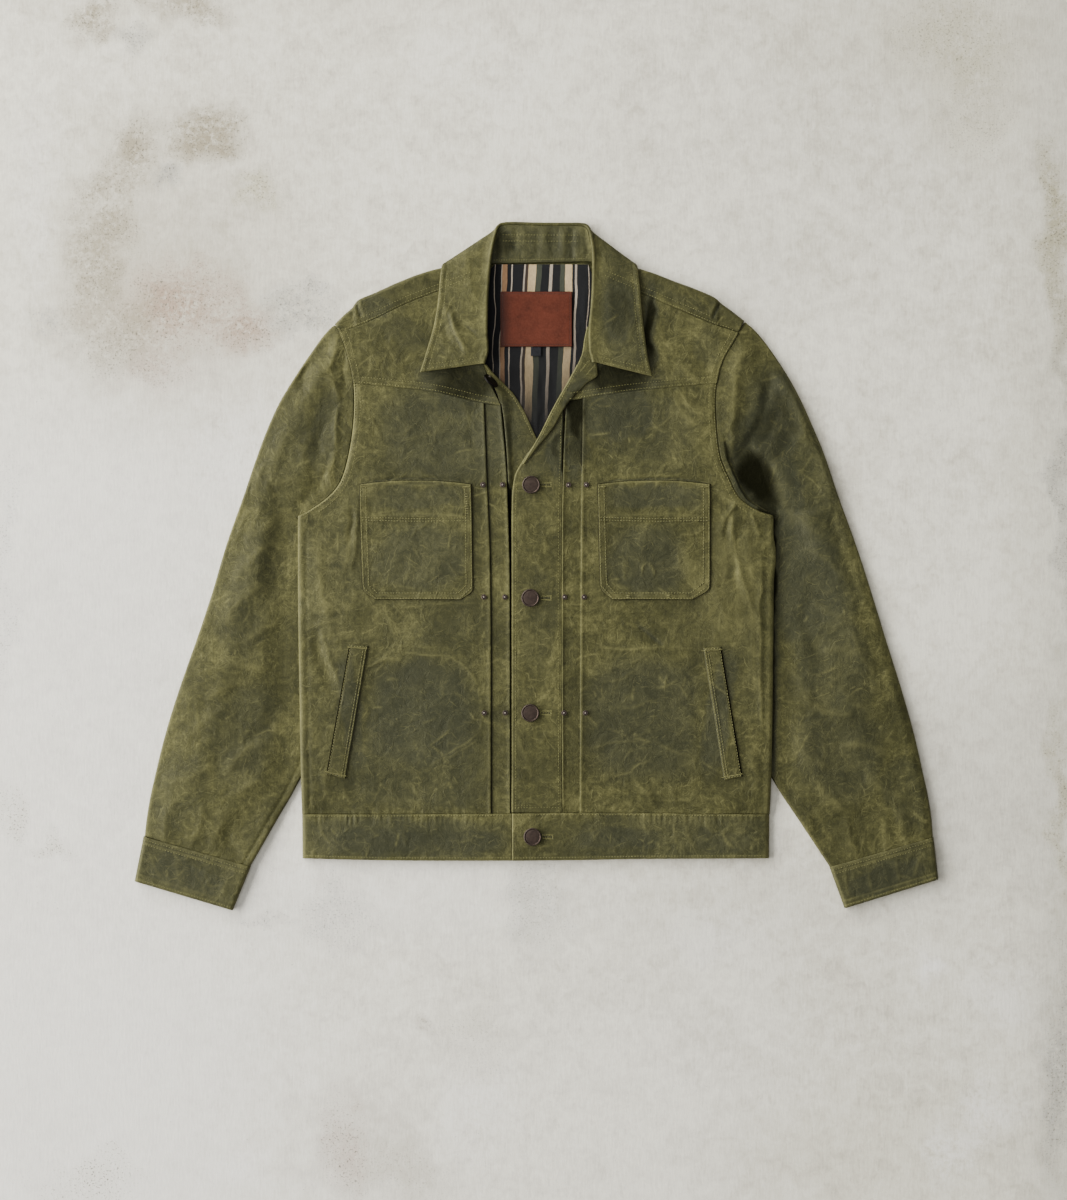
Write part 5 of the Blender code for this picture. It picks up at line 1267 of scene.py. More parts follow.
def band(name, node, ys, left, right, top_z, thick, edges, rows=(), rise=None, shade=None, rests="back_panel"):
    """A long narrow piece between two plan lines; rows are its stitched rows, rise and shade lie over its plan."""
    ys = np.array(ys, float)
    a, b = np.column_stack([left(ys), ys]), np.column_stack([right(ys), ys])
    grid = dense(np.stack([a, (a + b) / 2, b], axis=1))
    lie = top_z + (rise(grid[..., 0], grid[..., 1]) if rise else np.zeros(grid.shape[:2]))
    top = np.dstack([grid, lie])
    for side, at in rows:
        pucker(top, side, at)
    dark = shade(grid[..., 0], grid[..., 1]) if shade else 0.0
    cloth(name, node, top, lie - thick, "body", edges, rows=rows, shade=dark, rests=rests)


def right_band_rise(x, y):
    """The under band lies level with the pleat beside it, with a narrow slit between them."""
    away, clear = x - x_at(BAND_R_SEAM, y), ease(x_at(ROLL_L, y) - x, 0.5, 3.5)
    lift = 2.4 * ease(y, 62, 96) * (1 - ease(away, 2.5, 9 + 6 * ease(y, 150, 184))) * clear
    return lift - 1.6 * ease(-y, -184, -178) * (1 - ease(away, 0.8, 1.9))


def right_band_shade(x, y):
    """The painted shade of that slit, wider below the top button."""
    wide = 3 * ease(-y, -96, -84)
    return 1.9 * ease(-y, -186, -180) * (1 - ease(x - x_at(BAND_R_SEAM, y), 1.2 + wide, 2.2 + wide))


band(
    "front_band_right_cloth", "front_band_right",
    [226, 218, 205, 192, 174, 158, 142, 122, 102, 60, -40, -160, -277.2],
    lambda y: x_at(BAND_R_SEAM, y) + np.where(y > 180, 0.06, 0.5), line(NECK_R),
    BAND_R_TOP, 1.8, ("plain", "plain", "plain", "turned"), rows=[(3, 3.0)],
    rise=right_band_rise, shade=right_band_shade,
)
band(
    "front_band_left_cloth", "front_band_left",
    [226, 204, 184, 172, 157, 142, 120, 99, 78, 52, -40, -160, -277],
    line(ROLL_L), lambda y: x_at(BAND_L_SEAM, y) - 0.06 + 0.85 * ease(-y, -110, -96),
    PLACKET_TOP, CLOTH, ("plain", "seam", "turned", "plain"), rows=[(2, 4.5)],
    # Painted shade in the slit beside its seam, above y 94.
    shade=lambda x, y: 1.8 * ease(y, 94, 110) * ease(x - x_at(BAND_L_SEAM, y), -2.0, -1.0),
    rests="front_band_right",
)
FACING_SIDES = table(
    "y left right", (268, 56.5, 66), (254, 53.5, 66.5), (240, 51.5, 66.5), (228, 47, 67.5), (214.5, 39.8, 68.5),
    (205, 34.5, 56.5), (197, 29.5, 49), (184, 22, 36.5), (172, 15.8, 28), (158, 8.8, 20.5), (145, 2.2, 11),
    (130, -6.5, -1.5), (114, -16, -13.6),
)
band(
    "front_facing_left_cloth", "front_facing_left", FACING_SIDES["y"],
    line(FACING_SIDES, value="left"), line(FACING_SIDES, value="right"),
    FACING_LIFT + 1.4, 1.4, ("plain", "plain", "turned", "turned"), rows=[(2, 2.4)], rests="front_band_left",
)


WAIST_R = table(
    "x z thick", (-263.2, 5.4, 2.4), (-248, 6.6, 2.4), (-215, 7.2, 2.4), (-120, 7.4, 2.4), (-28.3, 7.3, 2.4),
    (-27.8, 5.2, 2.2), (26, 5.2, 2.2),
)
WAIST_L = table(
    "x z thick", (-27.6, 7.9, 2.3), (40, 7.9, 2.4), (120, 7.5, 2.4), (210, 7.2, 2.4), (246, 6.6, 2.4),
    (261.4, 5.4, 2.4),
)


def waist_front(side):
    """Half of the waistband, its seam puckered where the front is drawn into it."""
    right = side == "right"
    rows = WAIST_R if right else WAIST_L
    xs = rows["x"]
    y_top, y_low = y_at(WAIST, xs) - HALF_SEAM, y_at(HEM, xs)
    grid = np.array([
        np.column_stack([xs * (1 - 0.0015 * t), y_top + (y_low - y_top) * t, rows["z"], rows["z"] - rows["thick"]])
        for t in (0, 0.5, 1)
    ])
    grid = dense(grid)
    top = grid[..., :3].copy()
    pucker(top, 0, 3.0, 0.2, 0.55)
    pucker(top, 1, 3.0, 0.2, 0.10)
    pucker(top, 1, 8.5, 0.2, 0.10)
    across, down = top[..., 0], margins(top)[0]
    drawn = np.maximum(
        ease(across, -252, -240) * ease(-across, 56, 66), ease(across, 112, 124) * ease(-across, -250, -242)
    )
    rib = np.sin(2 * math.pi * (across + 1.6 * cloudy(across, down * 0.2, 9, 91)) / 5.7)
    rib = rib * drawn * (0.55 + 0.45 * cloudy(across, down * 0.1, 13, 92))
    rib = rib * ease(-down, -16, -7) * ease(down, 0.2, 1.4)
    top[..., 2] += 0.42 * rib
    light = 0.34 * np.clip(rib, 0, 1)
    edges = ("seam", "turned", "round", "plain") if right else ("seam", "turned", "turned", "round")
    cloth(
        f"waistband_front_{side}_cloth", f"waistband_front_{side}", top, grid[..., 3], "waist", edges, light,
        rows=((0, 1.2), (1, 3.0)), rests="waistband_back",
    )


waist_front("right")
waist_front("left")


# ---------------------------------------------------------------- back
def back_panel():
    """The back below its yoke, raised at both sides where the sleeves lie under it."""
    out_r = np.vstack([stations(SEAM_R_IN, 55, 170), on_line(SIDE_R, SIDE_YS)])
    out_l = np.vstack([stations(SEAM_L_IN, 55, 170), on_line(SIDE_L, SIDE_YS)])
    out_r[0, 1] = out_l[0, 1] = YOKE_SEAM_BACK - 0.2

    def shifted(rows, by):
        return lambda y: x_at(rows, y) + by

    def level(value):
        return lambda at: np.full(np.shape(at), value)

    guides = [
        shifted(RAMP_R, 0), shifted(RAMP_R, RAMP), level(-90.0), level(90.0), shifted(RAMP_L, -RAMP),
        shifted(RAMP_L, 0), lambda y: smooth(out_l[:, 1], out_l[:, 0], y),
    ]
    lines = guide_rows(out_r, guides, level(YOKE_SEAM_BACK - 0.2), waist_line)
    lines[-1] = out_l.copy()
    raised = [1, 1, 0, 0, 0, 0, 1, 1]
    columns = []
    for points, on in zip(lines, raised):
        lift = LIFT * on * smooth(BACK_LIFT["y"], BACK_LIFT["lift"], lines[0][:, 1])
        columns.append(np.column_stack([points, CLOTH + lift]))
    grid = dense(np.stack(columns, axis=1), PLAIN_PITCH)
    cloth(
        "back_panel_cloth", "back_panel", grid, grid[..., 2] - CLOTH, "back", ("plain",) * 4, every=1,
        rests="waistband_back",
    )


back_panel()


def yoke_grid():
    """The back yoke's middle surface: from the forward seams over the shoulders and down the back."""
    halves = []
    for side in ("right", "left"):
        fold, seam, sign = (SHOULDER_R, SEAM_R_IN, -1) if side == "right" else (SHOULDER_L, SEAM_L_IN, 1)
        seam_line = forward_seam(side)
        tip = 0 if sign < 0 else -1
        tip_x, tip_y = abs(fold["x"][tip]) - 0.5, fold["y"][tip] - 0.5
        arm_y, arm_x = np.concatenate([[tip_y], seam[:, 1]]), np.concatenate([[tip_x], np.abs(seam[:, 0])])
        arm = lambda y: float(np.interp(-y, -arm_y, arm_x))
        half = []
        for k, x in enumerate(YOKE_XS):
            x = min(x, tip_x)
            last = k == len(YOKE_XS) - 1
            fy = tip_y if last else float(y_at(fold, sign * x))
            base = CLOTH / 2 + float(yoke_lift(x, 302))
            high = (7.6 if x < 112 else 7.9) - CLOTH / 2 - (NOTCH_STEP if x > 204 else 0)
            radius = (high - base) / 2
            centre_y, centre_z = fy - radius - CLOTH / 2, (high + base) / 2
            wx, wy = abs(seam_line[k][0]), seam_line[k][1] + HALF_SEAM
            if last:
                centre_y = min(centre_y, tip_y - 3.0)
                radius = min(radius, tip_y - centre_y)
            column = [(sign * wx, min(wy, centre_y - 1.0), high)]
            for angle in (90, 45, 0, -45, -90):
                a = math.radians(angle)
                py = centre_y + (tip_y - centre_y if last else radius) * math.cos(a)
                px = arm(py) if last else x
                column.append((sign * px, py, centre_z + (high - base) / 2 * math.sin(a)))
            share = float(ease(x, 110, 226))
            start = arm(min(centre_y, tip_y))
            for row, y in enumerate(YOKE_YS):
                y = min(y, centre_y - 2.0 * (row + 1)) if y > 262 or centre_y < 268 and y > 255 else y
                px = arm(y) if last else min(x + share * (arm(y) - start), arm(y) - 2.5 * (len(YOKE_XS) - 1 - k))
                column.append((sign * px, y, CLOTH / 2 + float(yoke_lift(px, y))))
            half.append(column)
        halves.append(half)
    right, left = halves
    centre = []
    for x in (-44, -15, 15, 44):
        column = [(x, 0, 0)] * 5 + [(x, 339.4 + 0.022 * (x - 8), CLOTH / 2 + YOKE_LIFT)]
        centre.append(column + [(x, y, CLOTH / 2 + float(yoke_lift(x, y))) for y in YOKE_YS])
    grid = np.array(right[::-1] + centre + left).transpose(1, 0, 2)
    return grid, len(right) - 1, len(right) + len(centre)


def back_yoke():
    """One folded cloth from the forward seams over the shoulders, with the neck left open."""
    grid, first, last = yoke_grid()
    for j in range(first + 1, last):            # no cloth there: the columns keep the neck's line
        grid[:5, j] = grid[:5, first] if j - first < last - j else grid[:5, last]
    rows, cols = stops(grid, 0, 2.2, (0.5,)), stops(grid, 1, 2.4, (0.5,))
    plain = stops(grid, 0, PLAIN_PITCH)
    rows = np.concatenate([rows[rows <= 6], plain[plain > 6]])
    fine = read(grid, rows, cols)
    skip = (rows[:-1, None] < 4.999) & (cols[None, :-1] >= first - 1e-6) & (cols[None, :-1] < last - 1e-6)
    high, pale, dark = wear_and_shade(fine[..., 0], fine[..., 1], "yoke")
    on_top = ease(-rows, -2.2, -0.8)[:, None]
    fine[..., 2] += high * on_top - 0.25 * bell(margins(fine)[0] - 2.0, 0.9) * on_top
    ridge = 0.20 * bell(rows - 2.4, 0.9)[:, None]
    pale = np.maximum(pale * on_top, ridge)
    piece = folded("back_yoke_cloth", fine, CLOTH, fields_of(pale, dark * on_top, "back_yoke_cloth"), skip)
    sew(piece, WAXED, "back_panel", "back_yoke")


back_yoke()


def waistband_back():
    """The waistband's plain back, on the floor."""
    band_xs = np.linspace(-263.4, 261.6, 9)
    top_y = y_at(WAIST, band_xs) - 0.2
    grid = np.array([np.column_stack([band_xs, top_y]), np.column_stack([band_xs * 0.9985, y_at(HEM, band_xs)])])
    grid = dense(grid, PLAIN_PITCH)
    top = np.dstack([grid, np.full(grid.shape[:2], BAND_CLOTH)])
    cloth("waistband_back_cloth", "waistband_back", top, np.zeros(grid.shape[:2]), "plain", ("plain",) * 4, every=1)


waistband_back()


# ---------------------------------------------------------------- sleeves
def sleeve(side):
    """One flattened tube: its underside flat on the floor, its top in soft folds."""
    right = side == "right"
    armhole, out_rows, in_rows, sign = (
        (ARMHOLE_R, SLEEVE_R_OUT, SLEEVE_R_IN, -1) if right else (ARMHOLE_L, SLEEVE_L_OUT, SLEEVE_L_IN, 1)
    )
    tip = out_rows["y"][0]
    inner = np.vstack([
        seam_points(armhole, sign, ys=[tip - 2.3] + STATIONS), on_line(in_rows, INNER_YS),
        [[in_rows["x"][-1], in_rows["y"][-1]]],
    ])
    ys = smooth(SLEEVE_ROWS["inner"], SLEEVE_ROWS["outer"], inner[:, 1])
    ys[0], ys[-1] = tip - 0.9, out_rows["y"][-1]
    outer = np.column_stack([x_at(out_rows, ys), ys])
    edges = np.stack([outer, inner], axis=1)
    rows_at = stops(edges, 0, PITCH, (0.5, 1.2))
    out_p, in_p = glide(edges, rows_at).swapaxes(0, 1)
    width = np.linalg.norm(in_p - out_p, axis=1)[:, None]
    across = (in_p - out_p) / width
    half = SLEEVE_TOP / 2
    round_out = np.minimum(half, 0.4 * width)
    at_armhole = (rows_at <= len(STATIONS))[:, None]
    round_in = np.where(at_armhole, np.minimum(0.5, 0.2 * width), half)
    arc = np.radians([-90, -60, -30, 0, 30, 60, 90])
    count = max(2, int(width.max() / PITCH))
    top_s = np.linspace(0, 1, count)[1:-1][None]
    low_s = np.linspace(1, 0, 9)[None, 1:-1]
    columns_d = [round_out - round_out * np.cos(a) for a in arc]
    columns_d.append(round_out + (width - round_out - round_in) * top_s)
    columns_d += [width - round_in + round_in * np.cos(a) for a in arc[::-1]]
    columns_d.append(round_out + (width - round_out - round_in) * low_s)
    along = np.hstack(columns_d)
    x = out_p[:, :1] + across[:, :1] * along
    y = out_p[:, 1:] + across[:, 1:] * along
    top, loose = sleeve_top(x, y, along)
    ring = np.concatenate([
        np.sin(arc), np.ones(top_s.shape[1]), np.sin(arc[::-1]), -np.ones(low_s.shape[1])
    ])[None]
    top = top + (0.4 if right else 2.0) * bell(along - 8, 9.0) * ease(width, 60, 90)
    high, pale, dark = wear_and_shade(x, y, f"sleeve_{side}")
    inland = ease(along, 0, 7) * np.where(at_armhole, ease(width - along, -0.5, 4.0), ease(width - along, 0, 7))
    if not right:
        from_seam_here, low = width - along, ease(y, 56, 66) * ease(-y, -150, -112)
        ledge = ease(-from_seam_here, -(8.5 + 1.5 * cloudy(x, y, 9, 45)), -6)
        hollow = 3.0 + 4.2 * ease(from_seam_here, 26, 60)
        top = top * (1 - low) + low * (7.9 * ledge + hollow * (1 - ledge))
    body_edge = x_at(SIDE_R, y) - x if right else x - x_at(SIDE_L, y)
    free = np.maximum(ease(y, 50, 66), np.maximum(ease(body_edge, 0, 12), ease(-y, 236, 250)))
    top = top + high * inland * (0.4 + 0.6 * loose) * free
    top = np.where((y < 55) & (y > -240) & (body_edge < 1.0), np.minimum(top, SLEEVE_TOP), np.maximum(top, 3.2))
    felled = ease(-y, 150, 210) * (1 - at_armhole) * right
    top = top - 0.55 * bell(width - along - 8.5, 1.6) * felled
    z = np.where(ring >= 0, half + (top - half) * ring, half + half * ring)
    cap = ease(np.arange(len(y)), 0, 4)[:, None]
    z = np.minimum(z, SLEEVE_TOP + 1.4 + 6 * cap)
    upper = ring > 0.2
    fold_pale = 0.30 * bell(along, 3.2) + 0.18 * bell(width - along, 3.0) * (1 - at_armhole)
    fold_pale = fold_pale + 0.10 * ease(along - width, -8, -5) * felled
    pale = np.where(upper, np.maximum(pale, fold_pale), 0.1)
    points = np.dstack([x, y, z])
    outward = (width - along < round_in).astype(float) - (along < round_out)
    inside = points.copy()
    inside[..., :2] -= across[:, None] * outward[..., None] * 1.2
    inside[..., 2] = np.where(ring >= 0, np.maximum(z - 1.3 * ring, half), 1.2)
    name = f"sleeve_{side}_cloth"
    piece = shell(name, points, inside, fields_of(pale, np.where(upper, dark, 0), name), every=4, wrap=True)
    sew(piece, WAXED, "back_panel", f"sleeve_{side}_upper", f"sleeve_{side}_under")


sleeve("right")
sleeve("left")


CUFF_TOP = 8.4


def cuff(side):
    """A flattened, doubled band round the end of the sleeve, open at its hand end."""
    rows = CUFF_R if side == "right" else CUFF_L
    start_out, end_out, end_in, start_in = np.column_stack([rows["x"], rows["y"]])
    ends = (SLEEVE_R_OUT, SLEEVE_R_IN) if side == "right" else (SLEEVE_L_OUT, SLEEVE_L_IN)
    lead_out, lead_in = (np.array([end["x"][-1], end["y"][-1] - 0.08]) for end in ends)
    start_out = start_out + (0, max(0.0, lead_out[1] - start_out[1]))
    start_in = start_in + (0, max(0.0, lead_in[1] - start_in[1]))
    half = CUFF_TOP / 2
    arc = np.radians([-90, -67.5, -45, -22.5, 0, 22.5, 45, 67.5, 90])
    body = np.linspace(0, 1, 62)[1:-1]
    down = np.linspace(1, 0, 12)[1:-1]
    share = np.concatenate([np.zeros(9), body, np.ones(9), down])
    lean = np.concatenate([-np.cos(arc), np.zeros(len(body)), np.cos(arc), np.zeros(len(down))])
    rise = np.concatenate([np.sin(arc), np.ones(len(body)), np.sin(arc[::-1]), -np.ones(len(down))])
    at = np.unique(np.concatenate([np.linspace(0, 1, 30), [0.01, 0.025, 0.975, 0.99]]))[:, None]
    a, b = start_out + (end_out - start_out) * at, start_in + (end_in - start_in) * at
    across = (b - a) / np.linalg.norm(b - a, axis=1)[:, None]
    base = (a + across * half)[:, None] + (b - a - 2 * across * half)[:, None] * share[None, :, None]
    long = np.linalg.norm(end_out - start_out)
    reach = at * long

    def face(thin):
        """The band's skin, drawn in by thin."""
        size = half - thin
        plan = base + across[:, None] * (lean * size)[None, :, None]
        return np.dstack([plan, half + size * np.broadcast_to(rise, plan.shape[:2])])

    outer, inner = face(0), face(BAND_CLOTH - 0.2)
    x, y = outer[..., 0], outer[..., 1]
    high, pale, dark = wear_and_shade(x, y, f"cuff_{side}")
    near_end = np.minimum(reach, long - reach)
    soft = 0.7 * np.clip(1 - near_end / 1.8, 0, 1) ** 2
    for row in (2.0, 7.0, long - 3.0, long - 8.0):
        soft = soft + 0.22 * bell(reach - row, 0.9)
        pale = np.maximum(pale, 0.42 * bell(reach - row, 1.0) * (0.7 + 0.3 * cloudy(x, y, 9, 43)))
    upper = np.clip(rise, 0, 1)[None]
    ripple = cloudy(base[..., 0], base[..., 1], 6.0, 41) * 0.16 * np.exp(-reach / 7)
    outer[..., 2] += (high - soft + ripple) * upper
    pale = np.maximum(pale, 0.22 * bell(near_end, 1.5))
    pale = np.maximum(pale, 0.20 * bell(np.abs(np.abs(lean) - 0.4), 0.5)[None] * (np.abs(lean) > 0.01)[None])
    name = f"cuff_{side}_cloth"
    piece = shell(name, outer, inner, fields_of(pale * upper, dark * upper, name), every=2, wrap=True)
    sew(piece, WAXED, f"sleeve_{side}_cloth", f"cuff_{side}")


cuff("right")
cuff("left")


# ---------------------------------------------------------------- lining, label and size tab
LINING = table(
    "y left right", (338.6, -47, 58), (322, -60, 64), (302, -62, 66), (276, -62, 66), (240, -62, 66),
    (226, -58, 60), (180, -40, 40), (134, -12, 16),
)
LABEL_X, LABEL_TOP, LABEL_W, LABEL_H = -0.3, 308.0, 80.6, 61.8
TAB_W, TAB_H = 12.0, 10.2


def lining():
    """The back's lining where the neck is open, with painted shade towards the slit below it and along the neck's
    edges.
    """
    left, right = (np.column_stack([LINING[key], LINING["y"]]) for key in ("left", "right"))
    grid = dense(np.stack([left, (left + right) / 2, right], axis=1), 2.2)
    x, y = grid[..., 0], grid[..., 1]
    base = lining_top(x, y)
    away = ease(np.abs(x - LABEL_X), LABEL_W / 2, LABEL_W / 2 + 6)
    below = ease(-y, -(LABEL_TOP - LABEL_H) + 10, -(LABEL_TOP - LABEL_H) + 30)
    free = np.maximum(away, below) * ease(-y, -338, -330)
    folds = 0.9 * np.abs(cloudy(x, y * 0.18, 11, 51)) + 0.5 * np.abs(cloudy(x, y * 0.4, 6, 52))
    top = np.dstack([x, y, base + folds * free])
    to_right = x - x_at(NECK_R, y)
    to_left = x_at(ROLL_L, y) - x
    low = ease(-y, -222, -212)
    # dim: painted shade, darker down towards the slit, along both neck edges and towards -x.
    dim = np.maximum.reduce([
        np.interp(y, (150, 160, 181, 230, 250, 290), (0.995, 0.99, 0.86, 0.50, 0.34, 0.0)),
        0.75 * (1 - ease(to_right, 1, 12)) * low, 0.60 * (1 - ease(to_left, 1, 9)) * low,
        0.55 * ease(-x, 30, 44) * ease(-y, -290, -230),
    ])
    piece = shell("lining_back_cloth", top, np.dstack([x, y, base - LINING_CLOTH]), {"dark": dim}, 2)
    sew(piece, LINED, "back_yoke", "lining_back")


def patch_plate(name, node, x_range, y_range, thick, material, lip):
    """A small flat piece on the lining, with rounded edges."""
    xs, ys = np.array(x_range, float), np.array(y_range, float)
    plan = np.array([[(x, y) for x in np.linspace(*xs, 3)] for y in np.linspace(*ys, 3)])
    grid = dense(plan, 1.2, (0.3, 0.8))
    x, y = grid[..., 0], grid[..., 1]
    base = lining_top(x, y) + SEAM
    near = np.minimum.reduce(margins(grid))
    top = base + thick - lip * np.clip(1 - near / 1.0, 0, 1) ** 2 - 0.25 * bell(near - 2.6, 0.6)
    # Darker at the rim and along the stitched line; painted shadow over the side towards -x, where the collar
    # shades the label.
    dark = 0.75 * bell(near, 0.7) + 0.3 * bell(near - 2.6, 0.5)
    dark = np.maximum(dark, 0.85 * (1 - ease(x - xs[0], 0, 16)))
    piece = shell(name, np.dstack([x, y, top]), np.dstack([x, y, base]), {"pale": dark}, 2)
    if name in CUTS:
        sew(piece, material, "lining_back_cloth", node)
    else:
        dress(piece, material, node)


lining()
label_low = LABEL_TOP - LABEL_H
patch_plate(
    "neck_label_leather", "neck_label", (LABEL_X - LABEL_W / 2, LABEL_X + LABEL_W / 2), (LABEL_TOP, label_low),
    LEATHER, HIDE, 0.5,
)
patch_plate(
    "size_tab_tape", "size_tab", (-0.5 - TAB_W / 2, -0.5 + TAB_W / 2), (label_low - SEAM, label_low - SEAM - TAB_H),
    TAB_CLOTH, TAPE, 0.3,
)


# ---------------------------------------------------------------- collar
COLLAR = table(
    "roll_x roll_y roll_z out turn edge_x edge_y edge_z",
    (-58, 226.5, 13.8, 180, -55, -130.4, 217.2, 11.2), (-54, 243, 14.5, 180, -55, -122.2, 244, 10.4),
    (-55, 266, 15, 180, -55, -115, 270, 9.9), (-54.5, 294, 15, 180, -55, -110.5, 296, 10),
    (-53, 322, 14.5, 176, -48, -108.5, 319, 10), (-51, 348, 12.8, 165, -20, -107, 331, 9.6),
    (-48.5, 369, 9.6, 145, 25, -105.8, 337.4, 7.6), (-45, 381.5, 6.2, 125, 62, -103.8, 338.8, 4.4),
    (-38, 386.2, 2.9, 100, 88, -97, 338.4, 1), (-26, 386.9, 2.3, 92, 90, -80, 322, 0.8),
    (-8, 386.4, 2.3, 90, 90, -36, 310, 0.8), (8, 386, 2.3, 90, 90, 8, 308.5, 0.8),
    (26, 386, 2.3, 90, 90, 48, 310, 0.8), (44, 386, 2.3, 88, 90, 86, 322, 0.8),
    (54, 385.2, 2.9, 80, 88, 103, 338.4, 1), (60, 380, 6.2, 55, 62, 110, 338.8, 4.4),
    (63, 366, 9.6, 35, 25, 112.3, 337.2, 7.6), (63.5, 347, 12.8, 15, -20, 113.8, 330.5, 9.6),
    (62.5, 320, 14.5, 4, -48, 115.6, 316, 11), (61, 292, 15, 0, -55, 118.5, 282, 12.2),
    (58.5, 264, 15, 0, -55, 121.5, 256, 12.8), (59, 244, 14.5, 0, -55, 124.6, 234, 13),
    (62.5, 228, 13.8, 0, -55, 129.8, 212.4, 12.6),
)
STAND = table(
    "x y z",
    (-66, 230, 9.6), (-66, 246, 9.8), (-66, 270, 9.8), (-66, 296, 9.8), (-64, 314, 9.4), (-60, 327, 8.2),
    (-56, 335, 6.9), (-51, 339.6, 5.8), (-42, 340.2, 5.2), (-26, 340.2, 5), (-8, 340.5, 5), (8, 341, 5),
    (24, 341.3, 5), (40, 341.7, 5), (53, 342.3, 5.2), (62, 341, 5.8), (67, 336, 6.9), (70, 327, 8.2),
    (72, 314, 9.4), (72, 292, 9.8), (72, 266, 9.8), (72, 246, 9.8), (72, 232, 9.6),
)
ROLL_HALF = 1.5
ROLL_REACH = 3.0


def collar_grids():
    """Middle surfaces of the fall and the stand: a row of points at each section of the collar."""
    fall, stand = [], []
    for k, row in enumerate(rows_of(COLLAR)):
        plan_angle, turn = math.radians(row["out"]), math.radians(row["turn"])
        outward, up = np.array([math.cos(plan_angle), math.sin(plan_angle), 0]), np.array([0, 0, 1.0])
        ridge = math.cos(turn) * up + math.sin(turn) * outward
        inner = -math.cos(turn) * outward + math.sin(turn) * up
        roll = np.array([row["roll_x"], row["roll_y"], row["roll_z"]]) - ridge * COLLAR_CLOTH / 2
        edge = np.array([row["edge_x"], row["edge_y"], row["edge_z"]])
        centre = roll - ridge * ROLL_HALF
        section = [roll - ridge * ROLL_REACH + inner * ROLL_HALF]
        for angle in (90, 45, 0, -45, -90):
            a = math.radians(angle)
            section.append(centre + ROLL_HALF * (math.cos(a) * ridge + math.sin(a) * inner))
        start = roll - ridge * ROLL_REACH - inner * ROLL_HALF
        for s in (0.12, 0.3, 0.52, 0.76, 1.0):
            swell = 0.9 * math.sin(math.pi * min(1, s * 1.15)) * max(0, math.cos(turn))
            section.append(start + (edge - start) * s + np.array([0, 0, swell]))
        fall.append(section)
        top = roll - ridge * (ROLL_REACH + 0.06) + inner * ROLL_HALF
        foot = np.array([STAND["x"][k], STAND["y"][k], STAND["z"][k]])
        stand.append([foot + (top - foot) * s for s in (0, 0.35, 0.7, 1)])
    return np.array(fall), np.array(stand)


def collar():
    """The fall, worn along its border, and the stand behind it with its own soft folds."""
    fall, stand = collar_grids()
    rows, cols = stops(fall, 0, 2.0, (0.5, 1.2)), stops(fall, 1, 2.0, ())
    cols = np.unique(np.round(np.concatenate([cols, len(fall[0]) - 1 - np.array([0.5, 1.2]) / 14]), 4))
    fine = read(fall, rows, cols)
    leaf = ease(cols, 5.2, 7.5)[None]
    on_top = smooth(np.arange(len(fall)), (COLLAR["edge_z"] > 5).astype(float), rows)[:, None] * leaf
    high, pale, dark = wear_and_shade(fine[..., 0], fine[..., 1], "collar")
    from_start, from_end, _, from_edge = margins(fine)
    stitch = bell(from_edge - 6.5, 0.9) + bell(np.minimum(from_start, from_end) - 6.5, 0.9)
    fine[..., 2] += on_top * (high - 0.22 * np.clip(stitch, 0, 1))
    border = np.minimum(from_edge, np.minimum(from_start, from_end))
    fine[..., 2] += on_top * 0.35 * bell(border - 2.8, 2.2)
    fine[..., 2] -= on_top * 0.5 * np.clip(1 - border / 1.3, 0, 1) ** 2
    worn = 0.40 * bell(border, 1.6)
    ridge = 0.25 * bell(cols - 4.0, 1.6)[None]
    pale = np.maximum(np.maximum(pale * on_top, worn), ridge)
    piece = folded("collar_fall_cloth", fine, COLLAR_CLOTH, fields_of(pale, dark * on_top, "collar_fall_cloth"))
    sew(piece, WAXED, "back_yoke", "collar_fall")

    rows, cols = stops(stand, 0, 2.0, (0.5,)), stops(stand, 1, 2.0, (0.5,))
    fine = read(stand, rows, cols)
    x, y = fine[..., 0], fine[..., 1]
    back = smooth(np.arange(len(stand)), (np.abs(STAND["x"]) < 60) & (STAND["y"] > 338), rows)[:, None]
    inside = ease(np.broadcast_to(cols[None], x.shape), 0.0, 0.6)
    folds = 0.55 * cloudy(x, y * 0.25, 9, 61) + 0.35 * cloudy(x, y * 0.4, 4.5, 62)
    dent = sum(row["depth"] * bell(x - row["x"], row["width"]) for row in rows_of(STAND_FOLDS))
    fine[..., 2] += back * inside * np.clip(folds + dent, -1.0, 1.4) * ease(3 - cols, 0, 0.5)[None]
    light = np.maximum(0.14 * np.clip(folds + dent, 0, 1), 0.08 * bell(cols, 0.15)[None])
    dark = wax_and_shade(x, y, PATCHES["stand"]) * back
    piece = folded("collar_stand_cloth", fine, COLLAR_CLOTH, fields_of(light * back, dark, "collar_stand_cloth"))
    sew(piece, WAXED, "back_yoke", "collar_stand")


STAND_FOLDS = table(
    "x width depth", (-36, 2.4, 0.4), (-24, 3.0, -0.5), (30, 3.0, 0.7), (40, 3.2, -0.8), (50, 3.0, 0.5)
)
collar()


# ---------------------------------------------------------------- pockets
CHEST_R = table(
    "y left right", (92, -199, -73), (55, -198.5, -72), (53.5, -198.5, -72), (10, -197, -71.5),
    (-25, -195.5, -71.2), (-38, -181.5, -85),
)
CHEST_L = table(
    "y left right", (92, 68, 195), (51, 69, 195), (49.5, 69, 195), (8, 70, 195), (-23, 71, 194.5), (-38, 85, 175)
)
HEM_RAISE = 0.5     # of a chest pocket's turned hem
SHARES = (0, 0.2, 0.4, 0.6, 0.8, 1)


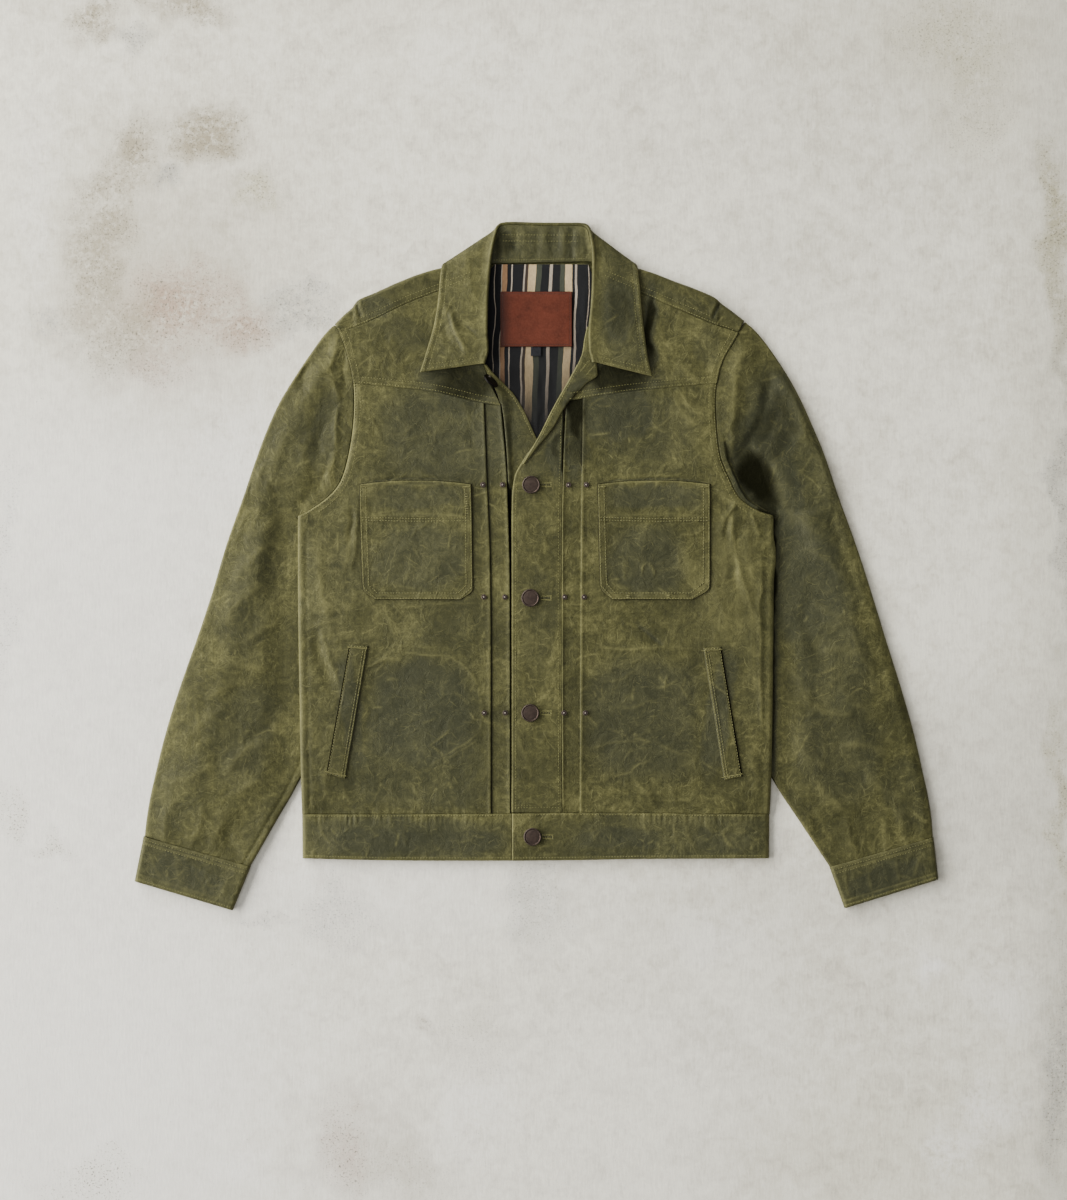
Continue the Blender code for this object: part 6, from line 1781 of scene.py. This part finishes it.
def chest_pocket(side):
    """A patch with its turned hem across the top and chamfered lower corners."""
    rows = CHEST_R if side == "right" else CHEST_L
    plan = []
    for k, (y, left, right) in enumerate(zip(rows["y"], rows["left"], rows["right"])):
        bow = 4.5 if k == 0 else 0
        lift = HEM_RAISE if k < 2 else 0
        plan.append([(left + (right - left) * s, y + bow * 4 * s * (1 - s), lift) for s in SHARES])
    grid = dense(np.array(plan), 1.8, (0.45, 0.9, 1.5, 2.2))
    x, y = grid[..., 0], grid[..., 1]
    under, _, _ = wear_and_shade(x, y, "body")
    base = front_top(x, y) + 0.15 + under
    top = np.dstack([x, y, base + 1.3 + grid[..., 2] + 0.25 * cloudy(x, y, 18, 71)])
    for edge in (1, 2, 3):
        pucker(top, edge, 1.6, 0.15, 0.10)
        pucker(top, edge, 7.6, 0.15, 0.10)
    mouth, foot, left, right = margins(grid)
    rim = np.minimum(foot, np.minimum(left, right))
    hem = 0.34 * bell(mouth - 38, 1.5) * (0.6 + 0.5 * cloudy(x, y, 14, 72))
    border = 0.15 * ease(-rim, -9.0, -7.5) * (0.8 + 0.4 * cloudy(x, y, 9, 73))
    line_pale = 0.42 * bell(np.minimum(rim, mouth) - 1.5, 0.7)
    # near: a painted shadow line, near black, just inside the pocket's edge.
    near = np.minimum(rim, mouth)
    cloth(
        f"chest_pocket_{side}_cloth", f"chest_pocket_{side}", top, base, "body", ("patch",) * 4,
        np.clip(np.maximum(np.maximum(hem, border), line_pale), 0, 1),
        rows=[(edge, at) for edge in (1, 2, 3) for at in (1.8, 7.6)],
        shade=2.0 * ease(-near, -0.95, -0.3), rests=f"front_{side}",
    )


chest_pocket("right")
chest_pocket("left")

WELT_R = table("x y", (-210, -88), (-189, -89.5), (-214.5, -239), (-236, -234))
WELT_L = table("x y", (187, -92), (207, -90.5), (231, -236.5), (210.5, -240.5))


def welt(side):
    """A welt with a slit along its mouth, the edge towards the sleeve, painted in shade."""
    rows = WELT_R if side == "right" else WELT_L
    a, b, c, d = np.column_stack([rows["x"], rows["y"]])
    plan = np.array([
        [a + (d - a) * t + (b + (c - b) * t - a - (d - a) * t) * s for s in (0, 1)] for t in (0, 0.5, 1)
    ])
    grid = dense(plan, 1.5, (0.45, 0.9, 1.4, 1.9, 2.5))
    x, y = grid[..., 0], grid[..., 1]
    under, _, _ = wear_and_shade(x, y, "body")
    base = front_top(x, y) + 0.2 + under
    top = np.dstack([x, y, base + 1.4])
    for edge in (2, 3):
        pucker(top, edge, 2.0, 0.15, 0.10)
    above, below, *sides = margins(grid)
    mouth, far = sides if side == "right" else sides[::-1]
    ends = np.minimum(above, below)
    slit = ease(-mouth, -2.7, -1.9) * ease(ends, 0.5, 2.0)
    top[..., 2] -= 0.3 * slit
    light = np.maximum(0.34 * bell(mouth - 3.1, 0.7), 0.30 * bell(far - 1.4, 0.7))
    # Painted shade: near black in the slit, darker along the far edge.
    cloth(
        f"welt_pocket_{side}_cloth", f"welt_pocket_{side}", top, base, "body", ("patch",) * 4, light,
        shade=np.maximum(2.0 * slit, 1.2 * ease(-far, -0.8, -0.3)), rests=f"front_{side}",
    )


welt("right")
welt("left")


# ---------------------------------------------------------------- buttons and rivets
BUTTONS = table(
    "x y z tilt turn", (-6, 91, 8.0, 0, 0), (-7, -36, 8.0, 0, 0), (-7, -165, 8.0, 0, 0), (-4.5, -304, 8.2, 0, 0),
    (-52.6, 205.6, 14.6, -68, -45),
)
BUTTON_NAMES = ["button_1", "button_2", "button_3", "button_waistband", "button_collar"]
BUTTON_PROFILE = table(
    "radius height pale",
    (4, 0, 0), (4, 1.2, 0), (9.3, 1.25, 0), (9.8, 1.6, 0), (10, 2.2, 0), (9.9, 2.8, 0.02), (9.5, 3.2, 0.04),
    (9, 3.3, 0.03), (8.6, 3.15, 0), (8.3, 2.85, 0), (7.9, 2.75, 0), (7.2, 2.95, 0.03), (6.8, 2.98, 0.01),
    (4, 3.05, 0.01), (2, 3.12, 0.01), (0, 3.14, 0.01),
)
RIVET_PROFILE = table(
    "radius height pale",
    (3, 0, 0), (3, 0.45, 0), (2.8, 0.78, 0.05), (2.4, 0.9, 0.06), (1.9, 0.7, 0), (1.6, 0.65, 0),
    (1.3, 1.1, 0.05), (1, 1.4, 0.05), (0.7, 1.55, 0.28), (0.4, 1.6, 0.45), (0, 1.62, 0.45),
)
RIVETS = table(
    "x y", (-60, 91), (-38, 91), (36, 90.8), (56, 91), (-59, -35), (-35.5, -35), (31.5, -35), (53.5, -35),
    (-58.5, -165), (-35, -165), (31, -165), (55, -165),
)


def turned(name, node, profile, sides, place, tilt=0.0, turn=0.0, shade=0.0, glint=(0, 0)):
    """Rings about an axis, closed at foot and crown; given shade, painted dark all over but for one painted glint.
    """
    angle = np.arange(sides) * 2 * math.pi / sides
    rings = [np.column_stack([r * np.cos(angle), r * np.sin(angle), np.full(sides, h)])
             for r, h in zip(profile["radius"][:-1], profile["height"][:-1])]
    points = np.vstack(rings + [[[0, 0, profile["height"][-1]]]])
    faces = [tuple(range(sides - 1, -1, -1))]
    for i in range(len(rings) - 1):
        for k in range(sides):
            a, b = i * sides + k, i * sides + (k + 1) % sides
            faces.append((a, b, b + sides, a + sides))
    last = (len(rings) - 1) * sides
    faces += [(last + k, last + (k + 1) % sides, len(points) - 1) for k in range(sides)]
    spin = Matrix.Rotation(math.radians(turn), 4, "Z") @ Matrix.Rotation(math.radians(tilt), 4, "X")
    placed = points @ np.array(spin.to_3x3()).T + np.array(place)
    pale = np.append(np.repeat(profile["pale"][:-1], sides), profile["pale"][-1])
    # bright: a painted glint near glint, kept from the painted shade.
    bright = (np.hypot(placed[:, 0] - glint[0], placed[:, 1] - glint[1]) < 1.3) & (shade > 0)
    fields = {"pale": np.where(bright, 0.9, pale), "dark": np.where(bright, 0.0, shade)}
    piece = mesh_of(name, placed, faces, fields)
    piece.data.set_sharp_from_angle(angle=math.radians(60))
    dress(piece, METAL, node)


for name, row in zip(BUTTON_NAMES, rows_of(BUTTONS)):
    # The collar button is painted in shade, with a painted glint on its rim.
    shade = 0.92 if name == "button_collar" else 0.0
    place = (row["x"], row["y"], row["z"])
    turned(f"{name}_turned", name, BUTTON_PROFILE, 48, place, row["tilt"], row["turn"], shade, (-52.8, 212.0))

for k, row in enumerate(rows_of(RIVETS), 1):
    node = f"rivet_{k:02d}"
    low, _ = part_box(node)
    turned(f"{node}_turned", node, RIVET_PROFILE, 24, (row["x"], row["y"], low[2] / MM))


# ---------------------------------------------------------------- stitching
STITCH, STITCH_WIDE, STITCH_HIGH, PACE = 2.3, 0.62, 0.36, 3.2
SUNK, END_WIDE = 0.22, 0.7      # a stitch's ends: how deep they lie, and their share of its width
MOST_STEP = 1.6                 # no stitch where the cloth below it steps more


def skin():
    """Every cloth made so far, as one surface to lay thread on."""
    points, faces, start = [], [], 0
    for piece in bpy.context.scene.objects:
        if piece.type == "MESH":
            coordinates = np.empty(len(piece.data.vertices) * 3)
            piece.data.vertices.foreach_get("co", coordinates)
            points.append(coordinates.reshape(-1, 3))
            faces += [tuple(start + v for v in face.vertices) for face in piece.data.polygons]
            start += len(points[-1])
    return BVHTree.FromPolygons(np.vstack(points).tolist(), faces)


def offset(points, by):
    """A plan line moved sideways, to the left of its run when by is positive, its corners mitred."""
    points = np.asarray(points, float)
    run = np.diff(points, axis=0)
    run /= np.linalg.norm(run, axis=1)[:, None]
    side = np.column_stack([-run[:, 1], run[:, 0]])
    before, after = np.vstack([side[:1], side]), np.vstack([side, side[-1:]])
    return points + by * (before + after) / (1 + (before * after).sum(axis=1))[:, None]


def paced(points, pace, ends):
    """Middles and directions of the stitches along a plan line."""
    points = np.asarray(points, float)
    reach = np.append(0, np.cumsum(np.linalg.norm(np.diff(points, axis=0), axis=1)))
    at = np.arange(ends + pace / 2, reach[-1] - ends, pace)
    here, ahead, back = (
        np.column_stack([np.interp(at + step, reach, points[:, k]) for k in (0, 1)]) for step in (0, 0.6, -0.6)
    )
    way = ahead - back
    return here, way / np.linalg.norm(way, axis=1)[:, None]


def run(points, pace=PACE, long=STITCH, wide=STITCH_WIDE, ends=1.2):
    """A row of running stitches, each its middle, direction, length and width."""
    here, way = paced(points, pace, ends)
    return np.hstack([here, way, np.broadcast_to([long, wide], here.shape)])


def satin(points, wide=1.7, pace=0.75):
    """Close stitches across a line, for buttonholes and bar tacks."""
    here, way = paced(points, pace, 0.0)
    across = np.column_stack([-way[:, 1], way[:, 0]])
    return np.hstack([here, across, np.broadcast_to([wide, STITCH_WIDE], here.shape)])


def thread_on(name, stitches, material=THREAD, high=STITCH_HIGH):
    """One mesh of stitches, each a bent bar that follows the cloth with its ends sunk in it."""
    stitches = np.vstack(stitches)
    draw = np.random.default_rng(3)
    middle, way, long, wide = stitches[:, :2], stitches[:, 2:4], stitches[:, 4], stitches[:, 5]
    turn = draw.normal(0, 0.045, len(way))
    way = np.column_stack([
        way[:, 0] * np.cos(turn) - way[:, 1] * np.sin(turn), way[:, 0] * np.sin(turn) + way[:, 1] * np.cos(turn)
    ])
    across = np.column_stack([-way[:, 1], way[:, 0]])
    long = long * draw.uniform(0.92, 1.06, len(long))
    points, faces = [], []
    for k in range(len(middle)):
        sections = []
        for share, rise, width in ((-0.5, -SUNK, END_WIDE), (0, high, 1.0), (0.5, -SUNK, END_WIDE)):
            x, y = middle[k] + way[k] * long[k] * share
            hit = SKIN.ray_cast(Vector((x * MM, y * MM, 0.05)), Vector((0, 0, -1)))[0]
            if hit is None:
                break
            sections.append((x, y, hit.z / MM + rise, wide[k] * width / 2))
        heights = [section[2] for section in sections]
        if len(sections) < 3 or max(heights) - min(heights) > MOST_STEP:
            continue
        start = len(points)
        for x, y, z, half in sections:
            for side, drop in ((-1, -0.45), (1, -0.45), (0.72, 0.0), (-0.72, 0.0)):
                points.append((x + across[k, 0] * half * side, y + across[k, 1] * half * side, z + drop))
        for a in (0, 4):
            for b in range(4):
                c = (b + 1) % 4
                faces.append((start + a + b, start + a + 4 + b, start + a + 4 + c, start + a + c))
        faces.append(tuple(start + v for v in (0, 1, 2, 3)))
        faces.append(tuple(start + v for v in (11, 10, 9, 8)))
    dress(mesh_of(name, points, faces), material)


def armhole_rows(armhole, side):
    """Two rows on the body's side of an armhole seam."""
    return [
        run(offset(on_line(armhole, np.arange(high, low, -6.0)), side * at))
        for at, high, low in ((1.8, 268, 57), (7.5, 264, 63))
    ]


def along_x(rows, low, high, by):
    """A row beside a plan line that runs across the jacket."""
    xs = np.arange(low, high + 0.1, 6.0)
    return run(offset(np.column_stack([xs, y_at(rows, xs)]), by))


def down_y(rows, high, low, by):
    """A row beside a plan line that runs down the jacket."""
    return run(offset(on_line(rows, np.arange(high, low - 0.1, -5.0)), by))


def pocket_rows(rows, side):
    """Two rows round a chest pocket, its hem's row, and tacks at the corners of the mouth."""
    down, up = (np.column_stack([rows[key], rows["y"]]) for key in ("left", "right"))
    around = np.vstack([down, up[::-1]])
    made = [run(offset(around, 1.7)), run(offset(around, 7.6), ends=3.0)]
    left, right = rows["left"][0], rows["right"][0]
    hem = np.array([[left + 2, 54.5], [(left + right) / 2, 53.0], [right - 2, 54.0]])
    made += [run(hem), run(hem - (0, 3.0))]
    for x in (left + 5.6, right - 5.6):
        made.append(satin([(x - 4.2, 88.6), (x + 4.2, 88.9)], 1.5))
    if side == "right":
        made.append(satin([(right - 4.8, 82), (right - 4.8, 57)], 5.0, 2.7))
    else:
        made += [satin([(x, -32), (x, -37)], 4.6, 2.2) for x in (103.5, 148.5)]
    return made


def welt_rows(rows, inner_right):
    """Rows round a welt, doubled along its inner edge, and a tack across each end."""
    a, b, c, d = np.column_stack([rows["x"], rows["y"]])
    made = [run(offset([a, d, c, b, a], 1.7))]
    long = offset([b, c] if inner_right else [a, d], -4.6 if inner_right else 4.6)
    made.append(run(long, ends=3.0))
    for start, end, step in ((a, b, -3.2), (d, c, 3.2)):
        way = (end - start) / np.linalg.norm(end - start)
        shift = np.array([-way[1], way[0]]) * step
        made.append(satin([start - way * 2 + shift, end + way * 2 + shift], 1.7))
    return made


def buttonhole(x, y, long=11.0):
    """Satin round a slit that starts at x and runs to the right, its threads spread at the end."""
    return [
        satin([(x, y + 1.7), (x + long, y + 2.2)], 2.2), satin([(x, y - 1.7), (x + long, y - 2.2)], 2.2),
        satin([(x + long + 0.9, y + 3.0), (x + long + 0.9, y - 3.0)], 2.4),
    ]


def cuff_rows(rows):
    """Two rows beside the sleeve and one beside the hand."""
    start_out, end_out, end_in, start_in = np.column_stack([rows["x"], rows["y"]])
    sign = -1 if start_in[0] > start_out[0] else 1
    return [run(offset([start_out, start_in], sign * at)) for at in (2.2, 7.0)] + [
        run(offset([end_out, end_in], -sign * 3.0))
    ]


HOLES = ((4.5, 91), (4.5, -36), (4.5, -165), (6.5, -304))
SKIN = skin()
thread_on(
    "stitches_armholes",
    armhole_rows(ARMHOLE_R, 1) + armhole_rows(ARMHOLE_L, -1)
    + [
        along_x(*row) for row in (
            (YOKE_R, -202, -44, 2.0), (YOKE_R, -198, -46, 8.0), (YOKE_L, 36, 198, 2.0), (YOKE_L, 38, 196, 8.0),
            (FORWARD_R, -216, -70, 2.0), (FORWARD_R, -196, -70, 7.5), (FORWARD_L, 74, 220, 2.0),
            (FORWARD_L, 74, 196, 7.5),
        )
    ],
)
thread_on(
    "stitches_pockets",
    pocket_rows(CHEST_R, "right") + pocket_rows(CHEST_L, "left")
    + welt_rows(WELT_R, True) + welt_rows(WELT_L, False),
)
thread_on(
    "stitches_placket",
    [down_y(ROLL_L, 96, -274, 4.5), down_y(ROLL_L, 222, 146, 3.0), down_y(NECK_R, 222, 146, -3.0),
     down_y(BAND_L_SEAM, 176, -274, -2.6)]
    + [part for hole in HOLES for part in buttonhole(*hole)]
    + [run([(-26, -271), (26, -271)]), run([(-26, -268.6), (-4, -268.6)])]
    + [satin([(49, 218), (60, 231)], 3.0, 1.3), satin([(56, 214), (66, 226)], 2.4, 1.3)],
)
# Painted shade: near-black bars in the buttonholes' slits.
thread_on(
    "buttonhole_slot_shade",
    [run([(x, y), (x + 11.5, y - 0.2)], 2.9, 2.5, 1.3, 0.2) for x, y in HOLES],
    SLOT_SHADE_BARS, 0.30,
)
thread_on(
    "stitches_waistband",
    [along_x(WAIST, -258, -32, -2.0), along_x(WAIST, -26, 258, -2.0), along_x(HEM, -260, 260, 3.2)],
)
thread_on("stitches_cuffs", cuff_rows(CUFF_R) + cuff_rows(CUFF_L))
collar_edge = np.column_stack([COLLAR["edge_x"], COLLAR["edge_y"]])
leaf_r = np.vstack([collar_edge[5::-1], [[-62, 226.6]]])
leaf_l = np.vstack([collar_edge[17:], [[67.5, 227.4]]])
thread_on(
    "stitches_collar",
    [run(offset(leaf_r, 2.6)), run(offset(leaf_r, 7.4)), run(offset(leaf_l, -2.6)), run(offset(leaf_l, -7.4)),
     run([(-50, 343.4), (-10, 343.8), (56, 345.2)], 2.8), run([(-40, 365), (48, 364.6)]),
     run([(-40, 372), (50, 371.4)])],
)
half_w, half_h = LABEL_W / 2 - 2.6, LABEL_H / 2 - 2.6
label_y = LABEL_TOP - LABEL_H / 2
around_label = [
    (LABEL_X + half_w * right, label_y + half_h * up) for right, up in ((-1, 1), (1, 1), (1, -1), (-1, -1), (-1, 1))
]
thread_on(
    "stitches_label",
    [run(around_label, 2.6, 1.9, 0.5)], LABEL_THREAD, 0.25,
)


# ---------------------------------------------------------------- floor, light and camera
CAMERA_PLACE = (-3.4, -38.3, 3187.5)
EARTH, ROSE, OCHRE, ASH_AND_SHADE, LIME_AND_LIGHT = (
    (0.33, 0.285, 0.195), (0.42, 0.315, 0.235), (0.42, 0.385, 0.245), (0.33, 0.32, 0.285), (0.93, 0.91, 0.85)
)
# Middle and half sizes in millimetres, strength and tint: first broad, faint washes, then the
# places where the plaster is stained or newly skimmed. The grey washes close to the jacket's right
# side and below its waistband are painted shadow, the pale one below the waistband's left half painted light.
WASHES = (
    (-400, 330, 200, 240, 0.22, EARTH), (-415, 300, 130, 150, 0.20, EARTH), (-300, 640, 420, 60, 0.12, EARTH),
    (470, 620, 260, 120, 0.16, OCHRE), (560, 250, 60, 420, 0.08, OCHRE), (380, -660, 260, 90, 0.20, OCHRE),
    (-190, -650, 90, 80, 0.24, EARTH), (-520, -600, 160, 160, 0.12, OCHRE), (420, -420, 260, 240, 0.09, ASH_AND_SHADE),
    (380, 560, 330, 200, 0.10, ASH_AND_SHADE), (-150, -375, 230, 80, 0.40, LIME_AND_LIGHT), (210, -375, 230, 80, 0.16, ASH_AND_SHADE),
    (490, -250, 120, 140, 0.26, ASH_AND_SHADE), (260, 330, 90, 70, 0.12, ASH_AND_SHADE),
)
STAINS = (
    (-497, 612, 34, 26, 0.55, EARTH), (-395, 630, 62, 26, 0.55, EARTH), (-463, 584, 26, 18, 0.35, ASH_AND_SHADE),
    (-371, 485, 46, 34, 0.60, EARTH), (-446, 462, 32, 40, 0.55, EARTH), (-407, 436, 22, 20, 0.45, ASH_AND_SHADE),
    (-309, 421, 28, 26, 0.50, OCHRE), (-480, 396, 40, 76, 0.50, EARTH), (-497, 330, 30, 60, 0.45, EARTH),
    (-401, 288, 78, 56, 0.62, ROSE), (-328, 271, 36, 24, 0.60, ROSE), (-266, 290, 46, 26, 0.45, ASH_AND_SHADE),
    (-469, 256, 56, 56, 0.45, EARTH), (-430, 222, 44, 30, 0.40, ROSE), (-546, 270, 34, 26, 0.35, ASH_AND_SHADE),
    (476, 600, 90, 60, 0.34, OCHRE), (490, 520, 60, 70, 0.30, OCHRE), (585, 412, 22, 90, 0.55, OCHRE),
    (592, 300, 18, 110, 0.45, OCHRE), (594, 90, 16, 200, 0.35, ASH_AND_SHADE), (592, -263, 16, 130, 0.45, OCHRE),
    (590, -560, 24, 160, 0.40, ASH_AND_SHADE), (-215, -657, 30, 60, 0.50, ROSE), (-150, -680, 60, 40, 0.25, EARTH),
    (-545, -325, 30, 12, 0.55, OCHRE), (-592, -290, 18, 36, 0.50, OCHRE), (-502, -696, 70, 26, 0.45, OCHRE),
    (-294, -407, 30, 12, 0.40, ASH_AND_SHADE), (-225, -390, 40, 60, 0.25, ASH_AND_SHADE), (6, -385, 34, 60, 0.26, ASH_AND_SHADE),
    (-125, -524, 16, 16, 0.45, EARTH), (-64, -530, 50, 50, 0.20, OCHRE), (-600, -20, 20, 160, 0.25, ASH_AND_SHADE),
    (443, -460, 20, 20, 0.85, LIME_AND_LIGHT), (510, -612, 44, 44, 0.60, LIME_AND_LIGHT), (465, -660, 36, 40, 0.55, LIME_AND_LIGHT),
    (-64, -612, 50, 76, 0.45, LIME_AND_LIGHT), (-339, -674, 44, 28, 0.50, LIME_AND_LIGHT), (200, -420, 60, 40, 0.30, LIME_AND_LIGHT),
    (530, -480, 40, 60, 0.35, LIME_AND_LIGHT), (-60, 560, 90, 60, 0.20, LIME_AND_LIGHT), (-330, 130, 70, 70, 0.40, LIME_AND_LIGHT),
    (-560, 420, 30, 120, 0.35, LIME_AND_LIGHT),
)


STAIN_STRENGTH = 1.6    # of the darker stains, which are broken up


def plaster():
    """Pale plaster: clouded and brushed, finely speckled, stained as the photograph shows."""
    g = Graph("plaster_floor")
    cloud, patch = g.noise(g.place, 3.0, 5, 0.62, 0.4), g.noise(g.place, 14, 5, 0.62, 0.6)
    middle, speck = g.noise(g.place, 52, 4, 0.62, 0.5), g.noise(g.place, 150, 5, 0.70, 0.3)
    brush = g.drawn(g.place, (340, 70, 1), 3, 0.6)
    tone = cloud * 0.24 + patch * 0.24 + (middle - 0.5) * 0.40 + 0.06 + (speck * 0.28 + brush * 0.18)
    colour = g.ramp(
        tone, (0.40, (0.602, 0.567, 0.462)), (0.50, (0.743, 0.710, 0.591)), (0.60, (0.860, 0.832, 0.703))
    )
    broken = g.remap(patch * 0.45 + speck * 0.55, 0.36, 0.57)
    drift = g.vector("SUBTRACT", g.noise(g.place, 16, 3, 0.6, out="Color"), (0.5, 0.5, 0.5))
    wander = g.vector("ADD", g.place, g.scaled(drift, 0.10))

    def spot(x, y, wide, tall, amount):
        away = g.vector("SUBTRACT", wander, (x * MM, y * MM, 0))
        away = g.length(g.vector("MULTIPLY", away, (1000 / wide, 1000 / tall, 0)))
        return g.remap(away, 1.35, 0.15, 0.0, amount)

    for *place, amount, tint in WASHES:
        colour = g.mix(spot(*place, amount), colour, tint)
    stained = 0.0
    for *place, amount, tint in STAINS:
        share = spot(*place, amount if tint is LIME_AND_LIGHT else min(1.0, STAIN_STRENGTH * amount)) * broken
        stained = stained if tint is LIME_AND_LIGHT else g.math("MAXIMUM", stained, share)
        colour = g.mix(share, colour, tint)

    x, y = g.plan()
    # Painted light, lighter towards the lower left and along the bottom, and painted shade at the far right.
    colour = g.mix(g.remap(x, -0.12, -0.50, 0.0, 0.55) * g.remap(y, 0.30, 0.05), colour, LIME_AND_LIGHT)
    colour = g.mix(g.remap(x, 0.50, 0.61, 0.0, 0.26), colour, (0.24, 0.225, 0.18))
    colour = g.mix(g.remap(y, -0.36, -0.56, 0.0, 0.22) * g.remap(x, 0.40, 0.15), colour, LIME_AND_LIGHT)
    flecks = g.remap(g.noise(g.place, 430, 2, 0.6, 0.3), 0.57, 0.66) * (stained * 1.5)
    colour = g.mix(flecks, colour, (0.20, 0.185, 0.14))
    pits = g.remap(g.noise(g.place, 300, 2, 0.5, 0.2), 0.69, 0.76)
    pits = pits * g.remap(g.noise(g.place, 9, 3, 0.6), 0.50, 0.62)
    colour = g.mix(pits * 0.42, colour, (0.26, 0.24, 0.20))
    return g.finish(colour, 0.85, g.bump(speck + brush, 0.0008, 0.3), Specular_IOR_Level=0.25)


def area_light(name, place, wide, tall, power, colour):
    """A rectangle of light that faces the jacket."""
    lamp = bpy.data.lights.new(name, "AREA")
    lamp.shape, lamp.size, lamp.size_y, lamp.energy, lamp.color = "RECTANGLE", wide, tall, power, colour
    light = added(name, lamp)
    light.location = place
    light.rotation_euler = (-Vector(place)).to_track_quat("-Z", "Y").to_euler()


reach, depth = 4000.0, -0.2
corners = [(-reach, -reach, depth), (reach, -reach, depth), (reach, reach, depth), (-reach, reach, depth)]
ground = mesh_of("floor", corners, [(0, 1, 2, 3)])
ground.data.materials.append(plaster())
area_light("window", (-4.4, 1.2, 2.0), 11.0, 2.8, 1350, (1.0, 0.985, 0.95))
area_light("ceiling", (-1.0, 0.3, 4.6), 2.6, 2.6, 48, (1.0, 1.0, 0.99))
world = bpy.data.worlds.new("soft")
world.use_nodes = True
sky = world.node_tree.nodes["Background"].inputs
sky["Color"].default_value, sky["Strength"].default_value = (0.97, 0.97, 0.97, 1), 0.33
bpy.context.scene.world = world

lens = bpy.data.cameras.new("camera")
lens.lens, lens.sensor_fit, lens.sensor_height = 85.0, "VERTICAL", 36.0
camera = added("camera", lens)
camera.location = [part * MM for part in CAMERA_PLACE]
bpy.context.scene.camera = camera
